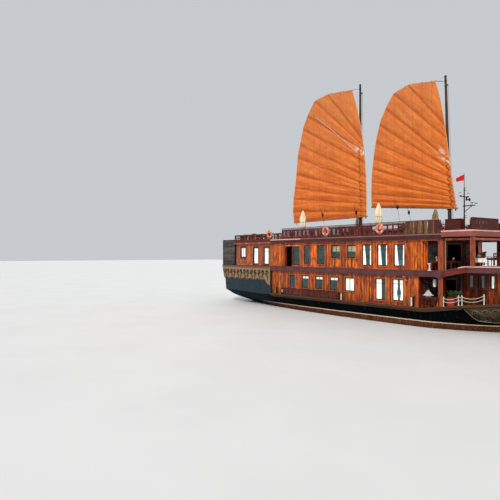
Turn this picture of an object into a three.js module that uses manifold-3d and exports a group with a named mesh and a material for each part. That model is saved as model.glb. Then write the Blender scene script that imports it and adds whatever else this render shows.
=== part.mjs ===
// Two-masted junk cruise ship, in millimetres: X towards the bow, Y to port, Z up.
// The origin lies on the waterline, on the centreline, amidships.
import * as THREE from 'three';
import { mergeVertices } from 'three/addons/utils/BufferGeometryUtils.js';
import Module from 'manifold-3d';

const wasm = await Module();
wasm.setup();

// Driving dimensions
const GAP = 0.3;               // clearance between solids that touch
const SIDE = 4250;             // half-breadth of deck edges and fascias
const WALL_FACE = 4000;        // outer face of the side walls
const WALL = 90;               // wall thickness
const MAIN_DECK = 1300;        // main deck between the cabins
const KEEL_Z = -1500;          // flat bottom amidships
const KEEL_DEPTH = 250;        // bar keel below the bottom
const KEEL_WIDTH = 260;
const MID_UNDER = 3850;        // underside of the middle deck
const MID_DECK = 4130;         // top of the middle deck
const FORE_RISE = 370;         // how far the deck steps up to the bow
const ROOF_UNDER = 6450;
const ROOF_TOP = 6780;
const FORE_ROOF_TOP = 6970;
const FORE_ROOF_UNDER = 6530;
const QUARTER_FORE = -10000;   // forward end of the raised stern
const CABIN_FORE_LOWER = 7300; // front of the lower cabin
const CABIN_FORE_UPPER = 7630; // front of the upper cabin
const CASTLE_AFT = -16350;     // aft wall of the stern cabin
const CASTLE_FORE = -9850;
const ROOF_AFT = -16550;
const ROOF_FORE = 11700;
const RISE_AFT = 9400;         // where the decks start to rise
const RISE_FORE = 11000;
const PARAPET_TOP = 7660;

const COLOURS = {
  hull: 0x14181c, bottom: 0x6e3a2c, quarter: 0x3f4f60, carving: 0x6b4a26, bowCarving: 0x57512f,
  wall: 0xa84b1c, darkWall: 0x5c2418, belt: 0x4a2a2e, roof: 0x59343a, parapet: 0x4a2420,
  mast: 0x2a211c, spar: 0x8a4a22, sail: 0xde7837, cream: 0xe6dcc4, rope: 0xe8e4da,
  metal: 0x8a7a55, iron: 0x2c2c2e, lifebuoy: 0xe07a50, white: 0xe8e8e6,
};

const ship = new THREE.Group();

function add(name, geometry, colour, parent = ship, roughness = 0.7, metalness = 0) {
  const material = new THREE.MeshStandardMaterial({ color: COLOURS[colour], roughness, metalness });
  const mesh = new THREE.Mesh(geometry, material);
  mesh.name = name;
  parent.add(mesh);
  return mesh;
}

// Solid helpers: joining and cutting
function toSolid(geometry) {
  const bare = geometry.clone();
  for (const name of Object.keys(bare.attributes)) {
    if (name !== 'position') bare.deleteAttribute(name);
  }
  const merged = mergeVertices(bare, 1e-3);
  return new wasm.Manifold(new wasm.Mesh({
    numProp: 3,
    vertProperties: Float32Array.from(merged.attributes.position.array),
    triVerts: Uint32Array.from(merged.index.array),
  }));
}

function toGeometry(solid) {
  const mesh = solid.getMesh();
  const geometry = new THREE.BufferGeometry();
  geometry.setAttribute('position', new THREE.BufferAttribute(Float32Array.from(mesh.vertProperties), 3));
  geometry.setIndex(Array.from(mesh.triVerts));
  return geometry;
}

function fuse(parts) {
  return toGeometry(parts.map(toSolid).reduce((whole, next) => whole.add(next)));
}

function cut(body, tools) {
  return toGeometry(tools.map(toSolid).reduce((rest, tool) => rest.subtract(tool), toSolid(body)));
}

function common(a, b) {
  return toGeometry(toSolid(a).intersect(toSolid(b)));
}

// The same solid on the other side of the centreline
function toPort(geometry) {
  const mirrored = geometry.index ? geometry.toNonIndexed() : geometry.clone();
  const position = mirrored.attributes.position;
  for (let i = 0; i < position.count; i += 3) {
    const points = [0, 2, 1].map((k) => new THREE.Vector3().fromBufferAttribute(position, i + k));
    points.forEach((p, k) => position.setXYZ(i + k, p.x, -p.y, p.z));
  }
  return mirrored;
}

// Basic forms: a block between limits, and outlines given thickness along one axis
function block([x0, x1], [y0, y1], [z0, z1]) {
  const geometry = new THREE.BoxGeometry(x1 - x0, y1 - y0, z1 - z0);
  return geometry.translate((x0 + x1) / 2, (y0 + y1) / 2, (z0 + z1) / 2);
}

function outline(points) {
  return new THREE.Shape(points.map(([a, b]) => new THREE.Vector2(a, b)));
}

function extrude(shape, depth, curveSegments = 8) {
  return new THREE.ExtrudeGeometry(shape, { depth, bevelEnabled: false, curveSegments });
}

const rectangle = ([a0, a1], [b0, b1]) => outline([[a0, b0], [a1, b0], [a1, b1], [a0, b1]]);

// Outline in X and Z, thick from y0 to y1, with rectangular holes [x, z] cut through
function sidePanel(shape, [y0, y1], holes = [], curveSegments = 8) {
  const panel = extrude(shape, y1 - y0, curveSegments).rotateX(Math.PI / 2).translate(0, y1, 0);
  return holes.length ? cut(panel, holes.map(([x, z]) => block(x, [y0 - 9, y1 + 9], z))) : panel;
}

// Outline in Y and Z, thick from x0 to x1, with rectangular holes [y, z] cut through
function crossPanel(shape, [x0, x1], holes = []) {
  const turn = new THREE.Matrix4().makeBasis(
    new THREE.Vector3(0, 1, 0), new THREE.Vector3(0, 0, 1), new THREE.Vector3(1, 0, 0));
  const panel = extrude(shape, x1 - x0).applyMatrix4(turn).translate(x0, 0, 0);
  return holes.length ? cut(panel, holes.map(([y, z]) => block([x0 - 9, x1 + 9], y, z))) : panel;
}

// Outline in X and Y, thick from z0 to z1
function deckPanel(shape, [z0, z1], curveSegments) {
  return extrude(shape, z1 - z0, curveSegments).translate(0, 0, z0);
}

function rod(radius, length, sides = 12, topRadius = radius) {
  return new THREE.CylinderGeometry(topRadius, radius, length, sides)
    .rotateX(Math.PI / 2).translate(0, 0, length / 2);
}

// Skin through rings of equal point count, closed by a fan at each end. The second half of a
// ring is split along the other diagonal, so that a symmetric ring gives a symmetric skin.
function loft(rings) {
  const count = rings[0].length;
  const positions = rings.flat(2);
  const index = [];
  for (let r = 0; r + 1 < rings.length; r += 1) {
    for (let i = 0; i < count; i += 1) {
      const a = r * count + i;
      const b = r * count + ((i + 1) % count);
      if (i < count / 2) index.push(a, b, a + count, b, b + count, a + count);
      else index.push(a, b, b + count, a, b + count, a + count);
    }
  }
  const last = (rings.length - 1) * count;
  for (let i = 1; i + 1 < count; i += 1) {
    index.push(0, i + 1, i, last, last + i, last + i + 1);
  }
  const geometry = new THREE.BufferGeometry();
  geometry.setAttribute('position', new THREE.Float32BufferAttribute(positions, 3));
  geometry.setIndex(index);
  return geometry;
}

// Smooth reading of [at, value] knots: a cubic between two of them, whose slopes are harmonic
// means of the neighbouring ones, so that it never overshoots
function smooth(knots, at) {
  const last = knots.length - 2;
  const k = Math.min(last, Math.max(0, knots.findIndex(([x]) => x >= at) - 1));
  const slope = (i) => (knots[i + 1][1] - knots[i][1]) / (knots[i + 1][0] - knots[i][0]);
  const tangent = (i) => {
    if (i === 0 || i > last) return slope(Math.min(i, last));
    const [before, after] = [slope(i - 1), slope(i)];
    return before * after > 0 ? (2 * before * after) / (before + after) : 0;
  };
  const [[x0, y0], [x1, y1]] = [knots[k], knots[k + 1]];
  const [span, t] = [x1 - x0, (at - x0) / (x1 - x0)];
  return (1 + 2 * t) * (1 - t) ** 2 * y0 + t * (1 - t) ** 2 * span * tangent(k)
    + t * t * (3 - 2 * t) * y1 + t * t * (t - 1) * span * tangent(k + 1);
}

// Hull sections: half-breadths at five heights, each a share of the depth from keel to deck
const SECTION_SHARES = [0, 0.18, 0.5, 0.75, 1];
const RISE_START = 7500;       // the main deck is flat up to here
const RING_SHARES = [0, 0.08, 0.18, 0.34, 0.5, 0.63, 0.75, 0.88, 1];
const HULL_SECTIONS = [
  // x, keel z, deck z, half-breadths from keel to deck
  [-18850, 1250, 1400, [3300, 3450, 3600, 3700, 3750]],
  [-18400, 780, 1400, [2600, 3200, 3600, 3750, 3850]],
  [-17600, 200, 1400, [1100, 2050, 3050, 3600, 3920]],
  [-16000, -400, 1400, [500, 1400, 2800, 3500, 4020]],
  [-14000, -850, 1340, [400, 1150, 2400, 3450, 4120]],
  [-12000, -1350, 1300, [500, 1400, 2600, 3650, 4180]],
  [-10000, KEEL_Z, 1300, [900, 2000, 3000, 3850, 4220]],
  [-6000, KEEL_Z, MAIN_DECK, [1600, 2800, 3600, 4080, SIDE]],
  [-1000, KEEL_Z, MAIN_DECK, [2400, 3500, 4000, 4180, SIDE]],
  [4000, KEEL_Z, MAIN_DECK, [2500, 3600, 4080, 4200, SIDE]],
  [RISE_START, KEEL_Z, MAIN_DECK, [2100, 3350, 4000, 4180, 4230]],
  [10000, KEEL_Z, 1620, [1300, 2400, 3350, 3850, 4150]],
  [12000, -1450, 1840, [600, 1350, 2400, 3300, 4000]],
  [14000, -1100, 2080, [160, 450, 1250, 2450, 3650]],
  [16000, -250, 2420, [150, 400, 1050, 2000, 3050]],
  [17800, 900, 2830, [160, 380, 850, 1500, 2150]],
  [19200, 2350, 3230, [200, 340, 560, 780, 980]],
];
const readSection = (x, column) => smooth(HULL_SECTIONS.map((row) => [row[0], column(row)]), x);

// The skin and all that lies along it are straight between stations
const HULL_AFT = HULL_SECTIONS[0][0];
const BOW_X = HULL_SECTIONS.at(-1)[0];
const METRES = Array.from({ length: 38 }, (_, k) => -18000 + 1000 * k);
const STATIONS = [HULL_AFT, ...METRES, RISE_START, BOW_X].sort((a, b) => a - b);

function betweenStations(column) {
  return (x) => {
    const k = Math.max(1, STATIONS.findIndex((station) => station >= x));
    const [a, b] = STATIONS.slice(k - 1, k + 1);
    const share = (x - a) / (b - a);
    return (1 - share) * readSection(a, column) + share * readSection(b, column);
  };
}
const keelZ = betweenStations((row) => row[1]);
const deckZ = betweenStations((row) => row[2]);
const deckHalf = betweenStations((row) => row[3][4]);

// Points of a line along the ship from one station to another, at a height that depends on X
function alongShip(from, to, heightAt) {
  return [from, ...STATIONS.filter((x) => x > from && x < to), to].map((x) => [x, heightAt(x)]);
}

// Ring of a body of two equal sides, from starboard top to port top
const wholeRing = (side) => [...side.map(([x, y, z]) => [x, -y, z]).reverse(), ...side];

function hullLoft(grow = 0) {
  return loft(STATIONS.map((x) => {
    const [keel, deck] = [keelZ(x), deckZ(x)];
    const knots = SECTION_SHARES.map((share, i) => [share, readSection(x, (row) => row[3][i])]);
    return wholeRing(RING_SHARES.map((share) => (
      [x, smooth(knots, share) + grow, keel + share * (deck - keel)])));
  }));
}

// Hull, keel and drive
const RUDDER_X = -15300;
const SHAFT_Z = -1180;
const SKEG_AFT = -14300;
const BOSS_AFT = -14400;
const SHOE_TOP = -1620;
const KEEL_BOTTOM = KEEL_Z - KEEL_DEPTH;
const STOCK = 70;
const RUDDER_TOP = keelZ(RUDDER_X + STOCK) - GAP; // the stock meets the sloping counter here

function keelAndSkeg() {
  const profile = outline([
    [RUDDER_X - 400, KEEL_BOTTOM], [11200, KEEL_BOTTOM],
    ...alongShip(SKEG_AFT, 12000, (x) => keelZ(x) - GAP).reverse(),
    [SKEG_AFT, SHOE_TOP], [RUDDER_X - 400, SHOE_TOP],
  ]);
  const boss = rod(170, 500).rotateY(Math.PI / 2).translate(BOSS_AFT, 0, SHAFT_Z);
  return fuse([sidePanel(profile, [-KEEL_WIDTH / 2, KEEL_WIDTH / 2]), boss]);
}

function rudderBlade() {
  const blade = outline([[0, -1560], [-1350, -1560], [-1500, -1300], [-1450, -330], [0, -660]]);
  const stock = rod(STOCK, RUDDER_TOP - SHOE_TOP - GAP).translate(0, 0, SHOE_TOP + GAP);
  return fuse([sidePanel(blade, [-45, 45]), stock]);
}

function propellerWheel() {
  const blades = [0, 1, 2, 3].map((k) => {
    const blade = block([-25, 25], [-150, 150], [60, 380]);
    const swept = common(blade, rod(380, 60, 20).rotateY(Math.PI / 2).translate(-30, 0, 0));
    return swept.rotateZ(0.55).rotateX((k * Math.PI) / 2);
  });
  const hub = rod(110, 420, 16, 70).rotateY(-Math.PI / 2).translate(210, 0, 0);
  return fuse([hub, ...blades]);
}

add('hull', hullLoft(), 'hull');
add('keel', keelAndSkeg(), 'bottom');
add('rudder', rudderBlade(), 'bottom').position.set(RUDDER_X, 0, 0);
add('propeller', propellerWheel(), 'metal', ship, 0.35, 1)
  .position.set(BOSS_AFT - GAP - 210, 0, SHAFT_Z);

// Raised stern quarter and the carved plates
const QUARTER_SECTIONS = [
  // x, half-breadths at bottom, middle and top
  [-19700, [3050, 3500, 3700]],
  [-19400, [3300, 3620, 3780]],
  [HULL_AFT, [3750, 3850, 3900]],
  [-17600, [3920, 4010, 4055]],
  [-16000, [4020, 4085, 4120]],
  [-14000, [4120, 4160, 4180]],
  [-12000, [4180, 4210, 4220]],
  [QUARTER_FORE, [4220, 4225, 4230]],
];
const COUNTER = [[-19700, 2450], [-19400, 1800]]; // its bottom aft of the hull
const CARVING_DEPTH = 60;

function quarterLoft(grow = 0) {
  const bottoms = [...COUNTER, ...alongShip(HULL_AFT, QUARTER_FORE, deckZ)];
  return loft(bottoms.map(([x, bottom]) => {
    const low = bottom + GAP;
    return wholeRing([0, 1, 2].map((i) => {
      const half = smooth(QUARTER_SECTIONS.map(([at, halves]) => [at, halves[i]]), x);
      return [x, half + grow, low + (i / 2) * (MID_DECK - low)];
    }));
  }));
}

// A relief plate lies on the starboard skin of a lofted body, inside a side outline
function reliefPlate(skin, shape) {
  const shell = cut(skin(CARVING_DEPTH), [skin(2 * GAP)]);
  return common(shell, sidePanel(shape, [-6000, -100], [], 4));
}

function sternOrnament() {
  const [aft, fore, high, low, drip] = [-19650, -10100, 4090, 2780, 130];
  const drips = 7;
  const pitch = (fore - 900 - aft) / drips;
  const shape = new THREE.Shape();
  shape.moveTo(aft, high);
  shape.lineTo(aft, low);
  for (let k = 1; k <= drips; k += 1) {
    shape.quadraticCurveTo(aft + (k - 0.5) * pitch, low - 2 * drip, aft + k * pitch, low);
  }
  shape.quadraticCurveTo(fore - 500, 2150, fore, 2200);
  shape.lineTo(fore, high);
  return reliefPlate(quarterLoft, shape);
}

function bowOrnament() {
  const shape = new THREE.Shape();
  shape.moveTo(10840, 3600);
  shape.lineTo(10840, 1700);
  shape.bezierCurveTo(11600, 1650, 12000, 850, 13100, 850);
  shape.bezierCurveTo(15000, 850, 17300, 1500, 18900, 2700);
  shape.lineTo(19100, 3600);
  return reliefPlate(hullLoft, shape);
}

add('stern_quarter', quarterLoft(), 'quarter');
add('stern_carving_stbd', sternOrnament(), 'carving');
add('stern_carving_port', toPort(sternOrnament()), 'carving');
add('bow_carving_stbd', bowOrnament(), 'bowCarving');
add('bow_carving_port', toPort(bowOrnament()), 'bowCarving');

// A row of equal gaps in a panel
function gapRow([from, to], count, width, [low, high]) {
  const pitch = (to - from) / count;
  return Array.from({ length: count }, (_, k) => {
    const middle = from + (k + 0.5) * pitch;
    return [[middle - width / 2, middle + width / 2], [low, high]];
  });
}

// Rubbing rail on the deck edge and bulwark at the bow, each one piece round the bow
const RAIL_HEIGHT = 130;
const BULWARK_AFT = 12900;
const onRail = (x) => deckZ(x) + RAIL_HEIGHT + GAP;

function edgeStrip(stations, [inner, outer], lowAt, highAt) {
  const strip = loft(stations.map((x) => {
    const half = deckHalf(x);
    const [low, high] = [lowAt(x), highAt(x)];
    return [[x, -half - outer, low], [x, -half + inner, low], [x, -half + inner, high], [x, -half - outer, high]];
  }));
  return [strip, toPort(strip)];
}

function rubbingRail() {
  const stations = [QUARTER_FORE + 1, ...STATIONS.filter((x) => x > QUARTER_FORE)];
  const low = (x) => deckZ(x) + GAP;
  const high = (x) => deckZ(x) + RAIL_HEIGHT;
  const bowPiece = block([BOW_X - 40, BOW_X + 80], [-1060, 1060], [low(BOW_X), high(BOW_X) - 12]);
  const panel = block([-7880, -920], [-4210, -4150], [high(0) - 20, 2050]);
  return fuse([...edgeStrip(stations, [150, 80], low, high), bowPiece, panel, toPort(panel)]);
}

function bowBulwark() {
  const stations = [BULWARK_AFT, ...STATIONS.filter((x) => x > BULWARK_AFT)];
  const height = (x) => 420 + 0.07 * (x - BULWARK_AFT);
  const high = (x) => onRail(x) + height(x);
  const front = block([BOW_X - 60, BOW_X], [-1000, 1000], [onRail(BOW_X), high(BOW_X)]);
  return fuse([...edgeStrip(stations, [70, 10], onRail, high), front]);
}

add('rubbing_rail', rubbingRail(), 'belt');
add('bow_bulwark', bowBulwark(), 'darkWall');

// Cabin walls: outlines with their windows and doorways cut
const LOWER_WINDOWS = [
  // [x from, x to], [z from, z to]
  [[-7300, -6500], [2200, 3350]], [[-5580, -4640], [2200, 3350]], [[-3730, -2780], [2200, 3350]],
  [[-1900, -910], [2200, 3350]], [[-100, 960], [2200, 3350]],
  [[3230, 4250], [1720, 3420]], [[4900, 5920], [1750, 3430]],
];
const UPPER_WINDOWS = [
  [[-6850, -5850], [4300, 6060]],
  [[-5290, -4420], [4430, 6150]], [[-3490, -2520], [4430, 6150]],
  [[-1690, -650], [5000, 6120]], [[130, 1170], [5000, 6120]],
  [[1830, 2800], [4400, 6120]], [[3420, 4430], [4400, 6120]], [[5040, 6050], [4400, 6120]],
];
const CASTLE_WINDOWS = [
  [[-15550, -14630], [4980, 6070]], [[-13200, -12370], [4300, 6020]], [[-11400, -10600], [4300, 6020]],
];
const FORE_CABIN_WINDOWS = [
  [[10490, 10840], [2950, 3900]], [[11340, 11680], [2950, 3900]], [[12070, 12430], [2950, 3900]],
];
const SIDE_DOORWAY = { from: -7930, to: -6950, top: 6100 };
const STARBOARD_WALL = [-WALL_FACE, -WALL_FACE + WALL];
const INNER_FACE = WALL_FACE - WALL;

// Wall outline from a to b with doorways as notches in its lower edge
function wallShape([a, b], [low, high], doorways = []) {
  const notches = doorways.flatMap(({ from, to, top }) => [[from, low], [from, top], [to, top], [to, low]]);
  return outline([[a, low], ...notches, [b, low], [b, high], [a, high]]);
}

function addPair(name, geometry, colour) {
  add(`${name}_stbd`, geometry, colour);
  add(`${name}_port`, toPort(geometry), colour);
}

const lowerHeight = [MAIN_DECK + GAP, MID_UNDER - GAP];
const upperHeight = [MID_DECK + GAP, ROOF_UNDER - GAP];
const lowerSide = wallShape([QUARTER_FORE + GAP, CABIN_FORE_LOWER], lowerHeight);
addPair('lower_wall', sidePanel(lowerSide, STARBOARD_WALL, LOWER_WINDOWS), 'wall');

const frontDoor = { from: -700, to: 700, top: 3350 };
const lowerFront = wallShape([-INNER_FACE + GAP, INNER_FACE - GAP], lowerHeight, [frontDoor]);
add('lower_front_wall', crossPanel(lowerFront, [CABIN_FORE_LOWER - WALL, CABIN_FORE_LOWER], [
  [[-3300, -1400], [2000, 3350]], [[1400, 3300], [2000, 3350]],
]), 'darkWall');

// Each sliding door hangs inside its wall and runs on a sill strip of that wall
const DOOR = { aft: -9020, width: 1080, thick: 45, clear: 8, sill: 40, travel: 1120 };
const doorInner = -INNER_FACE + DOOR.clear;
const upperSide = wallShape([CASTLE_FORE + GAP, CABIN_FORE_UPPER], upperHeight, [SIDE_DOORWAY]);
const sillStrip = block([DOOR.aft, DOOR.aft + DOOR.width + DOOR.travel],
  [-INNER_FACE - 20, doorInner + DOOR.thick], [MID_DECK + GAP, MID_DECK + DOOR.sill]);
addPair('upper_wall', fuse([sidePanel(upperSide, STARBOARD_WALL, UPPER_WINDOWS), sillStrip]), 'wall');

const doorHeight = [MID_DECK + DOOR.sill + GAP, SIDE_DOORWAY.top + 40];
const doorLeaf = block([DOOR.aft, DOOR.aft + DOOR.width], [doorInner, doorInner + DOOR.thick], doorHeight);
addPair('side_door', doorLeaf, 'darkWall');

const acrossWalls = [-INNER_FACE + GAP, INNER_FACE - GAP];
const upperFront = wallShape(acrossWalls, upperHeight, [{ from: -900, to: 900, top: 6100 }]);
add('upper_front_wall', crossPanel(upperFront, [CABIN_FORE_UPPER - WALL, CABIN_FORE_UPPER], [
  [[-3300, -1600], [4700, 6050]], [[1600, 3300], [4700, 6050]],
]), 'darkWall');

const castleSide = wallShape([CASTLE_AFT, CASTLE_FORE], upperHeight);
addPair('castle_wall', sidePanel(castleSide, STARBOARD_WALL, CASTLE_WINDOWS), 'wall');
const castleEnd = wallShape(acrossWalls, upperHeight, [{ from: -450, to: 450, top: 6050 }]);
add('castle_aft_wall', crossPanel(castleEnd, [CASTLE_AFT, CASTLE_AFT + WALL]), 'wall');

// Stern gallery: a weathered box, open towards the cabin
const GALLERY = { aft: -19600, fore: -17200, half: 3680, top: 6930 };
const galleryBox = block([GALLERY.aft, GALLERY.fore], [-GALLERY.half, GALLERY.half], [MID_DECK + GAP, GALLERY.top]);
const galleryRoom = block([GALLERY.aft + WALL, GALLERY.fore + 10],
  [-GALLERY.half + WALL, GALLERY.half - WALL], [MID_DECK + WALL, GALLERY.top - WALL]);
add('stern_gallery', cut(galleryBox, [galleryRoom]), 'iron');

// Middle deck and roof: a side profile limited by a plan outline, with a belt hanging on its edge
const FORE_FLOOR = MID_DECK + FORE_RISE;
const FORE_FLOOR_UNDER = MID_UNDER + FORE_RISE;
const DECK_FORE = 14200;
const LIP = 120;

function middlePlan(inset = 0) {
  const half = SIDE - inset;
  const fore = DECK_FORE - inset;
  const shape = new THREE.Shape();
  shape.moveTo(QUARTER_FORE + GAP, -half);
  shape.lineTo(10000, -half);
  shape.lineTo(12000, -half + 230);
  shape.quadraticCurveTo(fore - 200, -half + 560, fore, -1800);
  shape.lineTo(fore, 1800);
  shape.quadraticCurveTo(fore - 200, half - 560, 12000, half - 230);
  shape.lineTo(10000, half);
  shape.lineTo(QUARTER_FORE + GAP, half);
  return shape;
}

// Band between two insets of the plan outline
function planBand(outer, inner, height) {
  const core = deckPanel(middlePlan(inner), [height[0] - 9, height[1] + 9], 6);
  return cut(deckPanel(middlePlan(outer), height, 6), [core]);
}

// Side profile of a layer that rises with the decks towards the bow
function risingLayer(aft, fore, low, high, rise) {
  return outline([
    [aft, low], [RISE_AFT, low], [RISE_FORE, low + rise], [fore, low + rise],
    [fore, high + rise], [RISE_FORE, high + rise], [RISE_AFT, high], [aft, high],
  ]);
}

const wholeBeam = [-SIDE - 100, SIDE + 100];
const slab = common(
  sidePanel(risingLayer(QUARTER_FORE + GAP, DECK_FORE, MID_UNDER, MID_DECK, FORE_RISE), wholeBeam),
  deckPanel(middlePlan(), [3000, 5000], 6));
const lip = common(
  sidePanel(risingLayer(QUARTER_FORE + GAP, DECK_FORE, MID_UNDER - 150, MID_DECK - 100, FORE_RISE), wholeBeam),
  planBand(0, LIP, [3000, 5000]));
const aftLip = block([-13000, QUARTER_FORE + LIP + 50], [-SIDE + LIP + 5, SIDE - LIP - 5], [3000, MID_UNDER - 0.5]);
const bracket = block([8950, 9390], [-SIDE - 60, -SIDE + 55], [MID_UNDER - 210, MID_DECK + 50]);
add('middle_deck', fuse([slab, cut(lip, [aftLip]), bracket, toPort(bracket)]), 'belt');

const ROOF_STEP = 70;          // the forward roof edge stands prouder by this
function roofPlan() {
  const [half, proud, corner] = [SIDE, SIDE + ROOF_STEP, 350];
  const fore = ROOF_FORE;
  const shape = new THREE.Shape();
  shape.moveTo(ROOF_AFT, -half);
  shape.lineTo(RISE_AFT, -half);
  shape.lineTo(RISE_AFT, -proud);
  shape.lineTo(fore - corner, -proud);
  shape.absarc(fore - corner, -proud + corner, corner, -Math.PI / 2, 0);
  shape.absarc(fore - corner, proud - corner, corner, 0, Math.PI / 2);
  shape.lineTo(RISE_AFT, proud);
  shape.lineTo(RISE_AFT, half);
  shape.lineTo(ROOF_AFT, half);
  return shape;
}
const roofProfile = outline([
  [ROOF_AFT, ROOF_UNDER], [RISE_AFT, ROOF_UNDER], [RISE_AFT, FORE_ROOF_UNDER], [ROOF_FORE, FORE_ROOF_UNDER],
  [ROOF_FORE, FORE_ROOF_TOP], [RISE_AFT, FORE_ROOF_TOP], [RISE_AFT, ROOF_TOP], [ROOF_AFT, ROOF_TOP],
]);
const roofSlab = common(sidePanel(roofProfile, wholeBeam), deckPanel(roofPlan(), [6000, 7200], 6));
const roofLip = block([ROOF_AFT, RISE_AFT], [-SIDE, -SIDE + LIP], [ROOF_UNDER - 50, ROOF_UNDER + 50]);
add('roof', fuse([roofSlab, roofLip, toPort(roofLip)]), 'roof');

// Columns: corner columns of the verandahs, joined above by header beams
const COLUMN = { x: [9000, 9390], y: [-4125, -3745] };
const lowerColumn = outline([
  [COLUMN.x[0], onRail(COLUMN.x[0])], [COLUMN.x[1], onRail(COLUMN.x[1])],
  [COLUMN.x[1], MID_UNDER - GAP], [COLUMN.x[0], MID_UNDER - GAP],
]);
const verandahRail = outline([...alongShip(7560, 9050, onRail), [9050, 2200], [7560, 2200]]);
const verandahGaps = gapRow([7640, 8960], 4, 240, [1680, 2120]);
addPair('lower_verandah', fuse([
  sidePanel(lowerColumn, COLUMN.y),
  sidePanel(verandahRail, [-4170, -4110], verandahGaps),
]), 'wall');

const beamHeight = [6300, ROOF_UNDER - GAP];
const FRONT_POSTS = [11450, 11690];
const headerBeam = block([CABIN_FORE_UPPER + GAP, FRONT_POSTS[1]], [-4000, -3860], beamHeight);
const cornerColumn = block(COLUMN.x, COLUMN.y, [MID_DECK + GAP, ROOF_UNDER - GAP]);
const slimColumn = block(FRONT_POSTS, [-4120, -3880], [FORE_FLOOR + GAP, FORE_ROOF_UNDER - GAP]);
const sideFrame = [headerBeam, cornerColumn, slimColumn];
const frontBeam = block([11550, FRONT_POSTS[1]], [-3960, 3960], beamHeight);
const centreColumn = block(FRONT_POSTS, [-225, 225], [FORE_FLOOR + GAP, FORE_ROOF_UNDER - GAP]);
add('verandah_frame', fuse([...sideFrame, ...sideFrame.map(toPort), frontBeam, centreColumn]), 'wall');

// Parapets: panels pierced by rows of gaps
const PARAPET_FACE = 4200;
const parapetSpan = [-PARAPET_FACE, -PARAPET_FACE + 60];
const slotHeight = [ROOF_TOP + 120, PARAPET_TOP - 110];
const SLATTED = { aft: 6250, fore: 9060, top: 7790, foot: 9390 };
const parapetShape = outline([
  [-8300, ROOF_TOP + GAP], [SLATTED.foot, ROOF_TOP + GAP], [SLATTED.foot, FORE_ROOF_TOP],
  [SLATTED.fore, SLATTED.top], [SLATTED.aft, SLATTED.top], [SLATTED.aft, PARAPET_TOP], [-8300, PARAPET_TOP],
]);
addPair('parapet', sidePanel(parapetShape, parapetSpan, [
  ...gapRow([-8200, 2900], 20, 330, slotHeight),
  ...gapRow([3000, 6150], 6, 440, slotHeight),
  ...gapRow([6350, 8950], 5, 90, [ROOF_TOP + 120, SLATTED.top - 110]),
]), 'parapet');

const foreParapet = outline([
  [-4100, FORE_ROOF_TOP + GAP], [4100, FORE_ROOF_TOP + GAP], [4100, 7780], [600, 7780], [600, 7050],
  [-600, 7050], [-600, 7780], [-4100, 7780],
]);
add('fore_parapet', crossPanel(foreParapet, [11450, 11510], [
  ...gapRow([-4000, -700], 8, 120, [7110, 7660]), ...gapRow([700, 4000], 8, 120, [7110, 7660]),
]), 'parapet');

const STERN_RAIL = { aft: -16450, fore: -8400, top: 7350 };
const railHeights = [[ROOF_TOP + 90, 7020], [7080, STERN_RAIL.top - 60]];
const railSpan = (count, from, to, gap) => railHeights.flatMap((h) => gapRow([from, to], count, gap, h));
const railZ = [ROOF_TOP + GAP, STERN_RAIL.top];
const sternSide = sidePanel(rectangle([STERN_RAIL.aft, STERN_RAIL.fore], railZ), parapetSpan,
  railSpan(8, STERN_RAIL.aft + 60, STERN_RAIL.fore - 60, 880));
const sternEnd = crossPanel(rectangle([-PARAPET_FACE + 10, PARAPET_FACE - 10], railZ),
  [STERN_RAIL.aft, STERN_RAIL.aft + 60], railSpan(8, -4100, 4100, 930));
add('stern_rail', fuse([sternSide, toPort(sternSide), sternEnd]), 'parapet');

// Rope rails: stanchions on the rail with slack ropes between them
const STANCHIONS = { x: [9440, 10550, 10800, 12300], radius: 38 };
const ROPE_LEVELS = [620, 380];
const stanchionY = (x) => -deckHalf(x) + 40;

function slackRope(from, to, level) {
  const sag = 0.11 * (to - from);
  const ends = [from, to].map((x) => new THREE.Vector3(x, stanchionY(x), onRail(x) + level));
  const middle = ends[0].clone().lerp(ends[1], 0.5);
  const path = new THREE.QuadraticBezierCurve3(ends[0], middle.setZ(middle.z - 2 * sag), ends[1]);
  const section = new THREE.Shape(new THREE.EllipseCurve(0, 0, 24, 24).getPoints(6).slice(0, 6));
  return new THREE.ExtrudeGeometry(section, { extrudePath: path, steps: 6, bevelEnabled: false });
}

// The deck edge slopes under a stanchion, which touches it with the forward side of its foot
const stanchions = STANCHIONS.x.map((x) => rod(STANCHIONS.radius, 700, 8)
  .translate(x, stanchionY(x), onRail(x + STANCHIONS.radius)));
const ropes = STANCHIONS.x.slice(1).flatMap((x, k) => (
  ROPE_LEVELS.map((level) => slackRope(STANCHIONS.x[k], x, level))));
addPair('rope_rail', fuse([...stanchions, ...ropes]), 'rope');

// Fore cabin on the main deck, below the front of the middle deck
const FORE_CABIN = { aft: 9900, fore: 13500, half: 2700 };
const FORE_DOOR = { half: 400, low: 2150, high: 3900, thick: 50, clear: 8, pin: 15 };
const foreCabinSide = outline([
  ...alongShip(FORE_CABIN.aft, FORE_CABIN.fore, (x) => deckZ(x) + GAP),
  [FORE_CABIN.fore, FORE_FLOOR_UNDER - GAP], [RISE_FORE, FORE_FLOOR_UNDER - GAP],
  [FORE_CABIN.aft, MID_UNDER + FORE_RISE * (FORE_CABIN.aft - RISE_AFT) / (RISE_FORE - RISE_AFT) - GAP],
]);
const foreCabinSpan = [-FORE_CABIN.half, -FORE_CABIN.half + WALL];
const cabinSide = sidePanel(foreCabinSide, foreCabinSpan, FORE_CABIN_WINDOWS);
const cabinInner = FORE_CABIN.half - 10;
const frontFoot = deckZ(FORE_CABIN.fore) + GAP;
const doorHole = [[-FORE_DOOR.half, FORE_DOOR.half], [FORE_DOOR.low, FORE_DOOR.high + FORE_DOOR.clear]];
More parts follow.
